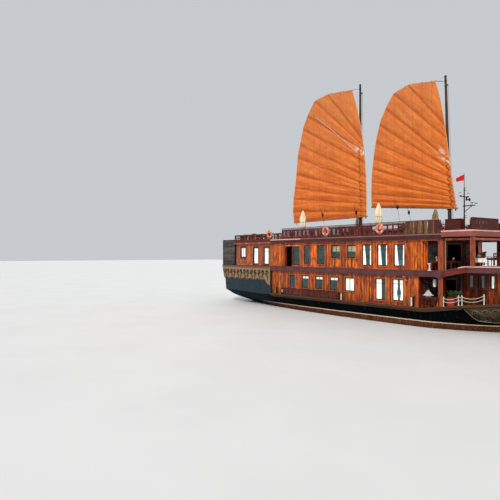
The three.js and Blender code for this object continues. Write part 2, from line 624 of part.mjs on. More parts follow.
const cabinFront = crossPanel(
  rectangle([-cabinInner, cabinInner], [frontFoot, FORE_FLOOR_UNDER - GAP]),
  [FORE_CABIN.fore - WALL, FORE_CABIN.fore],
  [doorHole, [[-2000, -1000], [2700, 3700]], [[1000, 2000], [2700, 3700]]]);
const aftFoot = deckZ(FORE_CABIN.aft + WALL) + GAP;
const cabinBack = block([FORE_CABIN.aft, FORE_CABIN.aft + WALL], [-cabinInner, cabinInner],
  [aftFoot, MID_UNDER + 110]);
const hinge = { x: FORE_CABIN.fore + 8, y: -FORE_DOOR.half + 14 };
const lug = block([FORE_CABIN.fore - 5, hinge.x + FORE_DOOR.pin], [hinge.y - 25, hinge.y + FORE_DOOR.pin],
  [FORE_DOOR.low - 50, FORE_DOOR.low - GAP]);
add('fore_cabin', fuse([cabinSide, toPort(cabinSide), cabinFront, cabinBack, lug]), 'darkWall');

const leaf = block([FORE_CABIN.fore - FORE_DOOR.thick, FORE_CABIN.fore],
  [-FORE_DOOR.half + 2 * FORE_DOOR.clear, FORE_DOOR.half - FORE_DOOR.clear],
  [FORE_DOOR.low + FORE_DOOR.clear, FORE_DOOR.high]);
const pin = rod(FORE_DOOR.pin, FORE_DOOR.high - FORE_DOOR.low, 10).translate(hinge.x, hinge.y, FORE_DOOR.low);
add('fore_cabin_door', fuse([leaf, pin]), 'wall');

// Balustrade round the front of the middle deck
const balusterHeight = [FORE_FLOOR + 130, FORE_FLOOR + 820];
const balusterWindows = [
  ...gapRow([-1900, 1900], 5, 640, balusterHeight).map(([y, z]) => block([13600, 14300], y, z)),
  block([13250, 13700], [-5000, 5000], balusterHeight),
];
const railRing = common(
  planBand(50, 110, [FORE_FLOOR + GAP, FORE_FLOOR + 900]),
  block([13150, 14300], [-4400, 4400], [4000, 6000]));
add('fore_balustrade', cut(railRing, balusterWindows), 'darkWall');

// Rigs: mast, cloth, and one frame of boom, battens, yard and edge ropes with parrels round the mast
const SPAR_Y = [-250, -190];
const CLOTH_Y = [-280.3, -250.3];
const MAST_FOOT = ROOF_TOP + GAP;
const MAST_RADIUS = 150;
const HOOP = { inner: 170, outer: 215, half: 30 };
const COLLAR = { radius: 184, depth: 90 };
const RIGS = [
  {
    name: 'main', x: -1950, top: 21100, lean: 0, hoops: [0, 2, 5, 8],
    tack: [950, 8770], luffBends: [[1000, 13200], [750, 16400]], throat: [-750, 20660],
    head: [-3970, 21100], peak: [-5870, 20870],
    leech: [
      [-6480, 20170], [-7020, 19450], [-7570, 18500], [-7970, 17200], [-8380, 15960], [-8630, 14050],
      [-8870, 12450], [-9120, 11280], [-9210, 9870],
    ],
    clew: [-9040, 8680],
    battens: [
      // height at the luff, height at the leech
      [8770, 8680], [9200, 9870], [9950, 11200], [10450, 12350], [11000, 13750], [11650, 15500],
      [12400, 16750], [13700, 18300], [14850, 19550], [15250, 20870], [15750, 21100],
    ],
  },
  {
    name: 'fore', x: 7300, top: 19450, lean: 0.03, hoops: [0, 3, 5, 7],
    tack: [720, 8870], luffBends: [[50, 12200], [-250, 17000]], throat: [-1150, 19150],
    head: [-3710, 19530], peak: [-5240, 19160],
    leech: [[-5920, 18320], [-6620, 17180], [-7100, 15680], [-7400, 14220], [-7650, 12460], [-7710, 10760]],
    clew: [-7660, 9570],
    battens: [
      [8870, 9570], [9120, 10090], [9410, 10750], [9700, 11880], [10070, 13000], [10570, 13890],
      [11240, 15260], [11910, 16730], [12600, 18070], [14440, 19160], [15460, 19530],
    ],
  },
];

function sailShape(rig) {
  const shape = new THREE.Shape();
  shape.moveTo(...rig.tack);
  shape.bezierCurveTo(...rig.luffBends.flat(), ...rig.throat);
  for (const corner of [rig.head, rig.peak, ...rig.leech, rig.clew]) shape.lineTo(...corner);
  return shape;
}

// Point of an edge curve at a height
function edgeAt(points, z) {
  const k = points.findIndex((p, i) => i + 1 < points.length && (p.y - z) * (points[i + 1].y - z) <= 0);
  const [a, b] = [points[k], points[k + 1]];
  return a.clone().lerp(b, (z - a.y) / (b.y - a.y));
}

function spar(a, b, width, [y0, y1] = SPAR_Y) {
  const along = b.clone().sub(a);
  const across = new THREE.Vector2(-along.y, along.x).setLength(width / 2);
  const corners = [a.clone().sub(across), b.clone().sub(across), b.clone().add(across), a.clone().add(across)];
  return sidePanel(new THREE.Shape(corners), [y0, y1]);
}

// Batten lines fan out from the luff to the leech, and the last two to the head
function battenLines(rig) {
  const flat = (points) => points.map((p) => new THREE.Vector2(...p));
  const luff = new THREE.CubicBezierCurve(...flat([rig.tack, ...rig.luffBends, rig.throat])).getPoints(12);
  const leech = flat([rig.head, rig.peak, ...rig.leech, rig.clew]);
  return rig.battens.map(([low, high]) => [edgeAt(luff, low), edgeAt(leech, high)]);
}

// Heights along the mast where batten lines cross it and hoops hold them
function hoopHeights(rig, lines) {
  const ahead = (p) => p.x + Math.tan(rig.lean) * (p.y - MAST_FOOT);
  return rig.hoops.map((k) => {
    const [luff, leech] = lines[k];
    const share = ahead(luff) / (ahead(luff) - ahead(leech));
    return (luff.y + share * (leech.y - luff.y) - MAST_FOOT) / Math.cos(rig.lean);
  });
}

function sparFrame(rig) {
  const centre = new THREE.Vector2((rig.tack[0] + rig.clew[0]) / 2, 14500);
  const inner = sailShape(rig).getPoints(8).map((p) => centre.clone().lerp(p, 0.987));
  const innerPanel = sidePanel(new THREE.Shape(inner), [SPAR_Y[0] - 9, SPAR_Y[1] + 9]);
  const edge = cut(sidePanel(sailShape(rig), SPAR_Y), [innerPanel]);
  const lines = battenLines(rig);
  const battens = lines.map(([luff, leech], k) => spar(luff, leech, k === 0 ? 150 : 75));
  const [throat, head, peak] = [rig.throat, rig.head, rig.peak].map((p) => new THREE.Vector2(...p));
  const yard = [spar(throat, head, 130), spar(head, peak, 130)];
  const hoops = hoopHeights(rig, lines).map((height) => {
    const [r, outer, half] = [HOOP.inner, HOOP.outer, HOOP.half];
    const profile = [[r, -half], [outer, -half], [outer, half], [r, half], [r, -half]];
    return new THREE.LatheGeometry(profile.map((p) => new THREE.Vector2(...p)), 14)
      .rotateX(Math.PI / 2).translate(0, 0, height)
      .rotateY(-rig.lean).translate(0, 0, MAST_FOOT);
  });
  return fuse([edge, ...battens, ...yard, ...hoops]);
}

// The mast carries a collar below the lowest hoop, on which boom and sail rest
function mastSolid(rig) {
  const heel = MAST_RADIUS * Math.tan(rig.lean);
  const pole = rod(MAST_RADIUS, (rig.top - MAST_FOOT) / Math.cos(rig.lean) - heel, 14, 85).translate(0, 0, heel);
  const collarTop = hoopHeights(rig, battenLines(rig))[0] - HOOP.half - GAP;
  const collar = rod(COLLAR.radius, COLLAR.depth, 14).translate(0, 0, collarTop - COLLAR.depth);
  return fuse([pole, collar]);
}

for (const rig of RIGS) {
  const group = new THREE.Group();
  group.position.x = rig.x;
  ship.add(group);
  const placed = add(`${rig.name}_mast`, mastSolid(rig), 'mast', group);
  placed.rotation.y = -rig.lean;
  placed.position.z = MAST_FOOT;
  add(`${rig.name}_sail`, sidePanel(sailShape(rig), CLOTH_Y), 'sail', group, 0.9);
  add(`${rig.name}_spars`, sparFrame(rig), 'spar', group);
}

// Signal mast with yard and platform, radar scanner, flag
const SIGNAL = { x: 8500, top: 10400, staffTop: 11520, staff: 22, arm: 9050, radarX: 9230 };
const signalPole = rod(60, SIGNAL.top - MAST_FOOT, 10, 40).translate(SIGNAL.x, 0, MAST_FOOT);
const staff = rod(SIGNAL.staff, SIGNAL.staffTop - SIGNAL.top + 50, 8).translate(SIGNAL.x, 0, SIGNAL.top - 50);
const platform = block([SIGNAL.x, SIGNAL.radarX + 130], [-90, 90], [SIGNAL.arm - 60, SIGNAL.arm]);
const lampArm = block([SIGNAL.x - 40, SIGNAL.x + 40], [-550, 550], [9700, 9760]);
add('signal_mast', fuse([signalPole, staff, platform, lampArm]), 'mast');
const scanner = fuse([
  rod(90, 110, 12).translate(0, 0, GAP),
  block([-55, 55], [-525, 525], [105, 205]),
]);
add('radar_scanner', scanner, 'white', ship, 0.4).position.set(SIGNAL.radarX, 0, SIGNAL.arm);
const hoist = SIGNAL.x - SIGNAL.staff - GAP;
add('flag', block([hoist - 660, hoist], [-10, 10], [10960, 11430]), 'lifebuoy');

// Deck gear at the bow
function windlassSolid() {
  const [aft, fore] = [15150, 15950];
  const foot = outline([[aft, deckZ(aft) + GAP], [fore, deckZ(fore) + GAP], [fore, 2560], [aft, 2560]]);
  const cheek = block([15350, 15750], [-620, -500], [2500, 3000]);
  const drum = rod(170, 1500, 16).rotateX(Math.PI / 2).translate(15550, 750, 2850);
  return fuse([sidePanel(foot, [-680, 680]), cheek, toPort(cheek), drum]);
}
add('windlass', windlassSolid(), 'iron', ship, 0.6, 0.6);

const BITT_X = [14500, 14700];
const bittPost = sidePanel(outline([
  [BITT_X[0], deckZ(BITT_X[0]) + GAP], [BITT_X[1], deckZ(BITT_X[1]) + GAP], [BITT_X[1], 2950], [BITT_X[0], 2950],
]), [-1500, -1300]);
const bittBar = block([14540, 14660], [-1800, 1800], [2600, 2720]);
add('bow_bitts', fuse([bittPost, toPort(bittPost), bittBar]), 'darkWall');

const anchorX = [BOW_X + 80 + GAP, BOW_X + 190];
const anchorShape = outline([
  [-70, 3300], [70, 3300], [70, 2500], [420, 2720], [480, 2640], [0, 2250], [-480, 2640], [-420, 2720], [-70, 2500],
]);
add('anchor', crossPanel(anchorShape, anchorX), 'iron', ship, 0.6, 0.6);

// Closed parasols on the roof, and lifebuoys on the rails
const PARASOL_PROFILE = [
  // radius, height above the roof
  [0, 0], [300, 0], [300, 70], [30, 90], [30, 950], [200, 970], [300, 1350], [270, 2100], [80, 2620], [0, 2770],
];
const PARASOLS = {
  aft_stbd: [-5650, -3800], aft_port: [-5650, 3800], mid_stbd: [3390, -3800], mid_port: [3390, 3800],
};
for (const [name, [x, y]] of Object.entries(PARASOLS)) {
  const profile = PARASOL_PROFILE.map(([r, z]) => new THREE.Vector2(r, z));
  const closed = new THREE.LatheGeometry(profile, 10).rotateX(Math.PI / 2);
  add(`parasol_${name}`, closed, 'cream').position.set(x, y, MAST_FOOT);
}

const BUOY = { radius: 310, tube: 85, z: 7350 };
const BUOYS = { aft: -10150, mid: -2150, fore: 3880 };
for (const [name, x] of Object.entries(BUOYS)) {
  const y = PARAPET_FACE + GAP + BUOY.tube * Math.sin(Math.PI / 3);
  const buoy = new THREE.TorusGeometry(BUOY.radius, BUOY.tube, 6, 16).rotateX(Math.PI / 2).translate(x, -y, BUOY.z);
  addPair(`lifebuoy_${name}`, buoy, 'lifebuoy');
}

export default ship;
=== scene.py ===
"""Dresses a two-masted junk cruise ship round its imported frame.

Units are metres. X runs to the bow, Y to port and Z up, and z = 0 is the waterline.
"""

import math

import bpy
from mathutils import Matrix, Vector, noise
from mathutils.bvhtree import BVHTree


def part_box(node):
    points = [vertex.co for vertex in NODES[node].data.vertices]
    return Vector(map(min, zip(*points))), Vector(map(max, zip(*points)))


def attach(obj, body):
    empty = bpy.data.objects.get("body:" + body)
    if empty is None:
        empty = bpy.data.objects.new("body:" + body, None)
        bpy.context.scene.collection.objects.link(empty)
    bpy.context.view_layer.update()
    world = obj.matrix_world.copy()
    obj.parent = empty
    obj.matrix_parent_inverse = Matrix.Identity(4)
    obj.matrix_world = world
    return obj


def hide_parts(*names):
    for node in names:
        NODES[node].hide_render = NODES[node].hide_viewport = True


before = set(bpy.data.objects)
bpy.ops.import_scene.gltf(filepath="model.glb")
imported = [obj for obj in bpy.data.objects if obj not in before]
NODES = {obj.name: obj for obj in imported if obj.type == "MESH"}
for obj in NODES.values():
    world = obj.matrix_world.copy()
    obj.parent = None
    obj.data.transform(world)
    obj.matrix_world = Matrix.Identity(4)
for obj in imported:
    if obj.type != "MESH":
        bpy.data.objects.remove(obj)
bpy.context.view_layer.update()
SIDES = {"stbd": -1, "port": 1}

# Driving heights and breadths of the frame that the pieces below stand on
MAIN_DECK = 1.3
MID_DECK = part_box("stern_quarter")[1].z
MID_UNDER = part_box("lower_wall_stbd")[1].z
ROOF_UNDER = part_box("upper_wall_stbd")[1].z
ROOF_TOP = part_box("parapet_stbd")[0].z
FORE_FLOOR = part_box("fore_balustrade")[0].z
FORE_ROOF_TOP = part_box("fore_parapet")[0].z
WALL_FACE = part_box("lower_wall_stbd")[0].y * -1
WALL = 0.09
PARAPET_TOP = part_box("parapet_stbd")[1].z
COLUMN_AFT = 9.0


# Camera at the photograph's place, before anything else is made
CAMERA_PLACE = (31.0, -36.6, 5.35)
CAMERA_LOOK = (-0.809, 0.588, 0.0077)
FOCAL_SHARE = 1.04             # focal length as a share of the picture's width
SENSOR = 36.0                  # width of the sensor in millimetres
FARTHEST = 500.0


def make_camera():
    """The camera, placed as the photograph was taken."""
    data = bpy.data.cameras.new("camera")
    data.sensor_width = SENSOR
    data.lens = SENSOR * FOCAL_SHARE
    data.clip_end = FARTHEST
    camera = bpy.data.objects.new("camera", data)
    camera.location = CAMERA_PLACE
    camera.rotation_euler = Vector(CAMERA_LOOK).to_track_quat("-Z", "Y").to_euler()
    bpy.context.scene.collection.objects.link(camera)
    bpy.context.scene.camera = camera


make_camera()


# Materials: each is a tree of nodes over the piece's own coordinates
def rgb(red, green, blue):
    """A colour given as 0 to 255 on screen, in linear light."""
    def linear(value):
        share = value / 255
        return share / 12.92 if share <= 0.04045 else ((share + 0.055) / 1.055) ** 2.4

    return (linear(red), linear(green), linear(blue), 1.0)


COAT_ROUGHNESS, GLOSS = 0.18, 0.3


class Look:
    """A procedural material under construction."""

    def __init__(self, name, roughness=0.6, metallic=0.0, coat=0.0, **inputs):
        self.material = bpy.data.materials.new(name)
        self.material.use_nodes = True
        self.tree = self.material.node_tree
        self.shader = self.tree.nodes["Principled BSDF"]
        self.shader.inputs["Roughness"].default_value = roughness
        self.shader.inputs["Metallic"].default_value = metallic
        self.shader.inputs["Coat Weight"].default_value = coat
        self.shader.inputs["Coat Roughness"].default_value = COAT_ROUGHNESS
        self.shader.inputs["Specular IOR Level"].default_value = GLOSS
        for key, value in inputs.items():
            self.shader.inputs[key.replace("_", " ").title().replace("Ior", "IOR")].default_value = value
        self.place = self.node("ShaderNodeTexCoord").outputs["Object"]

    def node(self, kind, settings=None, **links):
        """A node with its settings; links name its inputs, or number them as i0, i1 and so on."""
        made = self.tree.nodes.new(kind)
        for key, value in (settings or {}).items():
            setattr(made, key, value)
        for key, value in links.items():
            socket = made.inputs[int(key[1:])] if key[0] == "i" and key[1:].isdigit() else made.inputs[key]
            self.put(socket, value)
        return made

    def put(self, socket, value):
        """Links another node's output to an input, or sets its value."""
        if isinstance(value, bpy.types.NodeSocket):
            self.tree.links.new(value, socket)
        elif value is not None:
            socket.default_value = value

    def math(self, operation, a, b=None):
        """One step of arithmetic on one or two values."""
        return self.node("ShaderNodeMath", {"operation": operation}, i0=a, i1=b).outputs[0]

    def stretch(self, scale, turn=(0, 0, 0)):
        """The piece's coordinates, turned and then scaled."""
        made = self.node("ShaderNodeMapping", Vector=self.place)
        made.inputs["Scale"].default_value = scale
        made.inputs["Rotation"].default_value = turn
        return made.outputs[0]

    def noise(self, scale, detail=4.0, roughness=0.55, vector=None):
        """Cloudy noise over the piece's own coordinates, or over others."""
        return self.node("ShaderNodeTexNoise", Vector=vector or self.place, Scale=scale, Detail=detail,
                         Roughness=roughness).outputs["Fac"]

    def axis(self, letter):
        """One of the piece's own coordinates."""
        return self.node("ShaderNodeSeparateXYZ", Vector=self.place).outputs[letter]

    def ramp(self, share, stops):
        """Colours at shares of a value, blended between."""
        made = self.node("ShaderNodeValToRGB", Fac=share)
        points = made.color_ramp.elements
        while len(points) < len(stops):
            points.new(0.5)
        for point, (place, colour) in zip(points, stops):
            point.position = place
            point.color = colour if len(colour) == 4 else (*colour, 1)
        return made.outputs["Color"]

    def grey(self, share, low, high, start=0.0, end=1.0):
        """A value that goes from low at start to high at end, and stays there."""
        return self.node("ShaderNodeMapRange", {"clamp": True}, i0=share, i1=start, i2=end, i3=low,
                         i4=high).outputs[0]

    def mix(self, share, a, b, blend="MIX"):
        """Two colours blended by a share."""
        made = self.node("ShaderNodeMix", {"data_type": "RGBA", "blend_type": blend})
        self.put(made.inputs[0], share)
        self.put(made.inputs[6], a)
        self.put(made.inputs[7], b)
        return made.outputs[2]

    def bump(self, height, strength=0.5, distance=0.01):
        """Relief that is only shaded."""
        made = self.node("ShaderNodeBump", Height=height)
        made.inputs["Strength"].default_value = strength
        made.inputs["Distance"].default_value = distance
        self.put(self.shader.inputs["Normal"], made.outputs[0])

    def colour(self, value):
        """Sets the colour of the surface."""
        self.put(self.shader.inputs["Base Color"], value)
        return self

    def shine(self, value):
        """Sets the roughness of the surface."""
        self.put(self.shader.inputs["Roughness"], value)
        return self

    def upward(self):
        """1 on faces that look up, 0 on the others."""
        normal = self.node("ShaderNodeNewGeometry").outputs["Normal"]
        up = self.node("ShaderNodeSeparateXYZ", Vector=normal).outputs["Z"]
        return self.math("GREATER_THAN", up, 0.8)

    def board_tone(self, position, width):
        """A random value for each board of a width along a coordinate."""
        index = self.math("FLOOR", self.math("DIVIDE", position, width))
        return self.node("ShaderNodeTexWhiteNoise", {"noise_dimensions": "1D"}, W=index).outputs["Value"]

    def lines(self, position, pitch, width):
        """1 on narrow lines that repeat along a coordinate, 0 between them."""
        share = self.math("FRACT", self.math("DIVIDE", position, pitch))
        return self.math("LESS_THAN", share, width / pitch)


def shade(colour, factor):
    """A colour made darker or lighter."""
    return tuple(min(1.0, c * factor) for c in colour[:3]) + (1.0,)


def drawn_out(letter, along, across):
    """A scale with one value along an axis and another across it."""
    return tuple(along if axis == letter else across for axis in "XYZ")


BLACK = (0.0, 0.0, 0.0, 1.0)
BOARD_GROOVE = 0.008           # width of the groove between two boards
PAINTED_SHADE_HEIGHTS = (1.5, 5.8)      # boards with painted shade darken downwards between these heights


def wood(name, colour, along="Z", board=0.14, coat=0.0, roughness=0.5, wear=0.25, across="X", spread=0.3,
         figure=0.3, low=1.0, gloss=GLOSS):
    """Boards along one axis: each has its own tone, grain runs along it, stains darken it and a groove
    parts it from the next. spread says how far the boards' tones lie apart, figure how strong the broad
    grain is, and low how much of the colour is left at the waterline, where painted shade darkens them."""
    look = Look(name, roughness=roughness, coat=coat, specular_ior_level=gloss)
    position = look.axis(across)
    tone = look.board_tone(position, board)
    fibres = look.noise(3.0, 6, 0.6, look.stretch(drawn_out(along, 1.2, 14)))
    stain = look.noise(0.9, 5, 0.6, look.stretch(drawn_out(along, 0.4, 2)))
    broad = look.noise(0.55, 3, 0.5)
    body = look.ramp(fibres, [(0.25, shade(colour, 0.5)), (0.48, colour), (0.75, shade(colour, 1.5))])
    streaks = look.noise(1.0, 5, 0.7, look.stretch(drawn_out(along, 1.1, 5)))
    dark, bright = 1 - 1.9 * figure, 1 + 1.4 * figure
    figured = look.ramp(streaks, [(0.36, (dark, dark * 0.88, dark * 0.8)), (0.5, (1, 1, 1)),
                                  (0.64, (bright, bright * 1.1, bright * 1.12))])
    body = look.mix(1.0, body, figured, "MULTIPLY")
    least, most = 1 - 1.5 * spread, 1 + spread
    tones = look.ramp(tone, [(0, (least, least * 0.92, least * 0.9)), (1, (most, most, most))])
    toned = look.mix(1.0, body, tones, "MULTIPLY")
    # Painted shade: lower down, the boards darken towards black
    if low < 1:
        toned = look.mix(look.grey(look.axis("Z"), 1 - low, 0, *PAINTED_SHADE_HEIGHTS), toned, BLACK)
    reddened = look.mix(look.grey(broad, 0, spread * 1.6, 0.48, 0.7), toned,
                        (colour[0] * 0.42, colour[1] * 0.24, colour[2] * 0.5, 1.0))
    worn = look.mix(look.grey(stain, 0, wear, 0.5, 0.75), reddened, shade(colour, 0.3))
    groove = look.lines(position, board, BOARD_GROOVE)
    look.colour(look.mix(groove, worn, shade(colour, 0.12)))
    look.shine(look.grey(fibres, roughness - 0.08, roughness + 0.15, 0.3, 0.7))
    look.bump(look.math("SUBTRACT", fibres, look.math("MULTIPLY", groove, 2.0)), 0.35, 0.006)
    return look.material


def paint(name, colour, roughness=0.5, coat=0.0, wear=0.35, worn=None, chips=0.62):
    """Painted timber: brush marks, dirt in patches and chips worn back to the wood."""
    look = Look(name, roughness=roughness, coat=coat)
    patches = look.noise(1.3, 6, 0.65)
    brush = look.noise(5.0, 5, 0.6, look.stretch((1.0, 6, 9)))
    flakes = look.noise(14, 8, 0.75)
    tint = look.ramp(patches, [(0.3, shade(colour, 0.72)), (0.55, colour), (0.78, shade(colour, 1.25))])
    brushed = look.mix(look.grey(brush, 0, 0.35, 0.45, 0.8), tint, shade(colour, 0.6))
    chip = look.grey(flakes, 0, wear, chips, chips + 0.06)
    look.colour(look.mix(chip, brushed, worn or shade(colour, 2.2)))
    look.shine(look.grey(patches, roughness - 0.1, min(1, roughness + 0.2), 0.35, 0.7))
    look.bump(look.math("SUBTRACT", brush, chip), 0.3, 0.004)
    return look.material


ORANGE = rgb(216, 102, 22)
BELT = rgb(100, 62, 66)
CREAM = rgb(232, 222, 196)
WHITE = rgb(250, 250, 246)


# Hull paint: heights and stations over which one colour gives way to the next
BOOT_HEAD, PALE_HEAD = (0.435, 0.45), (0.5, 0.515)
SLATE_END, BOOT_END = (-11.2, -9.6), (-13.2, -8.5)
# Heights over which painted shade darkens the slate downwards, and over which slime gives way to paint
SLATE_SHADE_FOOT, SLIME_HEAD = (1.5, 0.3), (0.0, 0.2)
STRAKE, STRAKE_SEAM = 0.19, 0.011


def hull_look():
    """Black topsides, slate-blue at the stern with painted shade low on it, over a red-brown boot-top with a
    pale line; planked deck.
    """
    look = Look("hull_paint", roughness=0.6)
    look.shader.inputs["Specular IOR Level"].default_value = 0.02
    plank, gap = planks(look, rgb(140, 104, 74))
    height, along = look.axis("Z"), look.axis("X")
    patches = look.noise(0.8, 6, 0.6)
    streaks = look.noise(2.2, 5, 0.65, look.stretch((3.0, 3.0, 0.35)))
    black = look.ramp(patches, [(0.3, rgb(1, 3, 4)), (0.6, rgb(3, 7, 9)), (0.85, rgb(9, 16, 20))])
    slate = look.ramp(patches, [(0.3, rgb(8, 24, 32)), (0.6, rgb(16, 36, 46)), (0.85, rgb(34, 56, 66))])
    # Painted shade: the slate darkens towards the waterline, where the flared quarter's underside is in
    # shadow
    slate = look.mix(look.grey(height, 0, 1, *SLATE_SHADE_FOOT), slate, rgb(18, 26, 32))
    black = look.mix(look.grey(along, 1, 0, *SLATE_END), black, slate)
    boot = look.ramp(streaks, [(0.3, rgb(54, 28, 18)), (0.55, rgb(96, 56, 38)), (0.8, rgb(146, 100, 74))])
    ragged = look.math("MULTIPLY", look.math("SUBTRACT", look.noise(3.0), 0.5), 0.06)
    edge = look.math("ADD", height, ragged)
    base = look.mix(look.grey(edge, 0, 1, *BOOT_HEAD), boot, rgb(214, 192, 172))
    base = look.mix(look.grey(edge, 0, 1, *PALE_HEAD), base, black)
    base = look.mix(look.grey(along, 1, 0, *BOOT_END), base, black)
    stained = look.mix(look.grey(streaks, 0, 0.12, 0.55, 0.8), base, rgb(88, 84, 76))
    slime = look.mix(look.grey(height, 0.65, 0, *SLIME_HEAD), stained, rgb(48, 50, 34))
    seam = look.lines(look.math("ADD", height, 5.0), STRAKE, STRAKE_SEAM)
    skin_colour = look.mix(look.math("MULTIPLY", seam, 0.55), slime, rgb(6, 6, 8))
    look.colour(look.mix(look.upward(), skin_colour, plank))
    look.shine(look.grey(patches, 0.5, 0.75, 0.3, 0.7))
    look.bump(look.math("SUBTRACT", patches, look.math("MAXIMUM", seam, gap)), 0.45, 0.008)
    return look.material


PLANK, PLANK_SEAM = 0.11, 0.007
PLANK_LENGTH, BUTT = 3.1, 0.012


def planks(look, plank_colour):
    """Fore-and-aft deck planks with caulked seams: their colour, and 1 in the seams."""
    position = look.math("ADD", look.axis("Y"), 20.0)
    tone = look.board_tone(position, PLANK)
    fibres = look.noise(4.0, 6, 0.6, look.stretch((1.0, 14, 14)))
    plank = look.ramp(fibres, [(0.3, shade(plank_colour, 0.62)), (0.5, plank_colour),
                               (0.75, shade(plank_colour, 1.4))])
    tones = look.ramp(tone, [(0, (0.72, 0.7, 0.68)), (1, (1.2, 1.18, 1.14))])
    plank = look.mix(1.0, plank, tones, "MULTIPLY")
    seam = look.lines(position, PLANK, PLANK_SEAM)
    station = look.math("ADD", look.axis("X"), look.math("MULTIPLY", tone, PLANK_LENGTH))
    butt = look.lines(station, PLANK_LENGTH, BUTT)
    gap = look.math("MAXIMUM", seam, butt)
    return look.mix(gap, plank, rgb(22, 18, 15)), gap


def deck_look(name, edge_colour, plank_colour):
    """A painted layer whose upward faces are laid with fore-and-aft planks."""
    look = Look(name, roughness=0.6, specular_ior_level=0.12)
    plank, gap = planks(look, plank_colour)
    patches = look.noise(1.2, 6, 0.65)
    brush = look.noise(5.0, 5, 0.6, look.stretch((0.8, 3, 12)))
    side = look.ramp(patches,
                     [(0.3, shade(edge_colour, 0.6)), (0.55, edge_colour), (0.8, shade(edge_colour, 1.5))])
    side = look.mix(look.grey(brush, 0, 0.4, 0.5, 0.8), side, shade(edge_colour, 0.45))
    up = look.upward()
    look.colour(look.mix(up, side, plank))
    look.shine(look.grey(patches, 0.55, 0.75, 0.3, 0.7))
    look.bump(look.math("SUBTRACT", brush, look.math("MULTIPLY", gap, up)), 0.35, 0.006)
    return look.material


def carved_look(name, deep, body, highlight_tone):
    """Carved wood: dark in its hollows, with a painted highlight on what stands proud."""
    look = Look(name, roughness=0.5, coat=0.1)
    flakes = look.noise(9, 8, 0.7)
    chisel = look.noise(26, 5, 0.6)
    proud = look.node("ShaderNodeNewGeometry").outputs["Pointiness"]
    base = look.ramp(flakes, [(0.3, shade(body, 0.55)), (0.52, body), (0.75, highlight_tone)])
    # Painted highlight: what stands proud takes the lightest tone
    painted_light = look.mix(look.grey(proud, 0, 0.8, 0.5, 0.56), base, highlight_tone)
    look.colour(look.mix(look.grey(proud, 0.85, 0, 0.42, 0.495), painted_light, deep))
    look.shine(look.grey(flakes, 0.35, 0.7, 0.3, 0.7))
    look.bump(look.math("ADD", chisel, flakes), 0.5, 0.008)
    return look.material


CLOTH_WIDTH, CLOTH_SEAM = 0.92, 0.05
CHAFED_LEVEL = 7.9             # panel, from the foot, at which the luff chafes on the mast


def sail_look():
    """Orange canvas, duller towards its head: seams between cloths, water stains, and painted light and
    shade on its folds and creases.
    """
    look = Look("sail_canvas", roughness=0.9, sheen_weight=0.1)
    panels = look.node("ShaderNodeUVMap", {"uv_map": "panels"}).outputs[0]

    def on_panels(along, up):
        return look.node("ShaderNodeMapping", Vector=panels, Scale=(along, PANELS * up, 1.0)).outputs[0]

    parts = look.node("ShaderNodeSeparateXYZ", Vector=panels)
    across, level = parts.outputs["X"], look.math("MULTIPLY", parts.outputs["Y"], PANELS)
    stain = look.noise(0.55, 6, 0.6)
    folds = look.noise(1.0, 6, 0.62, on_panels(3.0, 3.2))
    creases = look.noise(1.0, 5, 0.7, on_panels(16.0, 5.0))
    height = look.axis("Z")
    # Painted light and shade: the cloth's tone rises and falls with its folds
    cloth = look.ramp(folds,
                      [(0.28, rgb(186, 88, 26)), (0.5, rgb(220, 112, 38)), (0.72, rgb(238, 142, 66))])
    cloth = look.mix(look.grey(height, 0.0, 0.75, 12.0, 20.0), cloth, rgb(202, 122, 66))
    cloth = look.mix(look.grey(stain, 0, 0.5, 0.52, 0.78), cloth, rgb(188, 90, 34))
    # Painted shade in the creases
    cloth = look.mix(look.grey(creases, 0.34, 0, 0.36, 0.5), cloth, rgb(158, 74, 26))
    # Shade gathers above each batten, in scallops, and a little below the next one
    scallops = look.math("SUBTRACT", look.noise(1.0, 3, 0.6, on_panels(9.0, 1.0)), 0.5)
    share = look.math("ADD", look.math("FRACT", level), look.math("MULTIPLY", scallops, 0.55))
    above, below = look.grey(share, 0.6, 0, 0.02, 0.22), look.grey(share, 0, 0.2, 0.88, 1.0)
    cloth = look.mix(look.math("MAXIMUM", above, below), cloth, rgb(146, 64, 18))
    seam = look.lines(look.math("ADD", look.axis("X"), 30.0), CLOTH_WIDTH, CLOTH_SEAM)
    cloth = look.mix(look.math("MULTIPLY", seam, 0.32), cloth, rgb(140, 62, 22))
    # Canvas worn pale at the luff, where it chafes on the mast
    off_level = look.math("ABSOLUTE", look.math("SUBTRACT", level, CHAFED_LEVEL))
    chafed = look.math("MULTIPLY", look.grey(across, 1, 0, 0.08, 0.2),
                       look.grey(off_level, 1, 0, 0.2, 0.55))
    chafed = look.math("MULTIPLY", chafed, look.grey(look.noise(2.6, 5, 0.65), 0, 0.9, 0.46, 0.58))
    look.colour(look.mix(chafed, cloth, rgb(232, 206, 186)))
    look.bump(look.math("ADD", folds, creases), 0.5, 0.03)
    return look.material


def cloth_look(name, colour, scale=220.0, stripes=None, painted_light=0.0):
    """Plain woven cloth with soft soiling. Its glow is painted light: daylight through it from behind."""
    look = Look(name, roughness=0.9, sheen_weight=0.1)
    # Painted light: an even glow in the cloth's own colour, as if daylight came through it
    look.shader.inputs["Emission Color"].default_value = colour
    look.shader.inputs["Emission Strength"].default_value = painted_light
    soil = look.noise(2.4, 5, 0.6)
    weave = look.noise(scale, 2, 0.5)
    tint = look.ramp(soil, [(0.3, shade(colour, 0.8)), (0.6, colour), (0.85, shade(colour, 1.08))])
    if stripes:
        band = look.lines(look.math("ADD", look.axis("Z"), 20.0), stripes, stripes * 0.12)
        tint = look.mix(band, tint, shade(colour, 0.7))
    look.colour(tint)
    look.bump(weave, 0.25, 0.003)
    return look.material


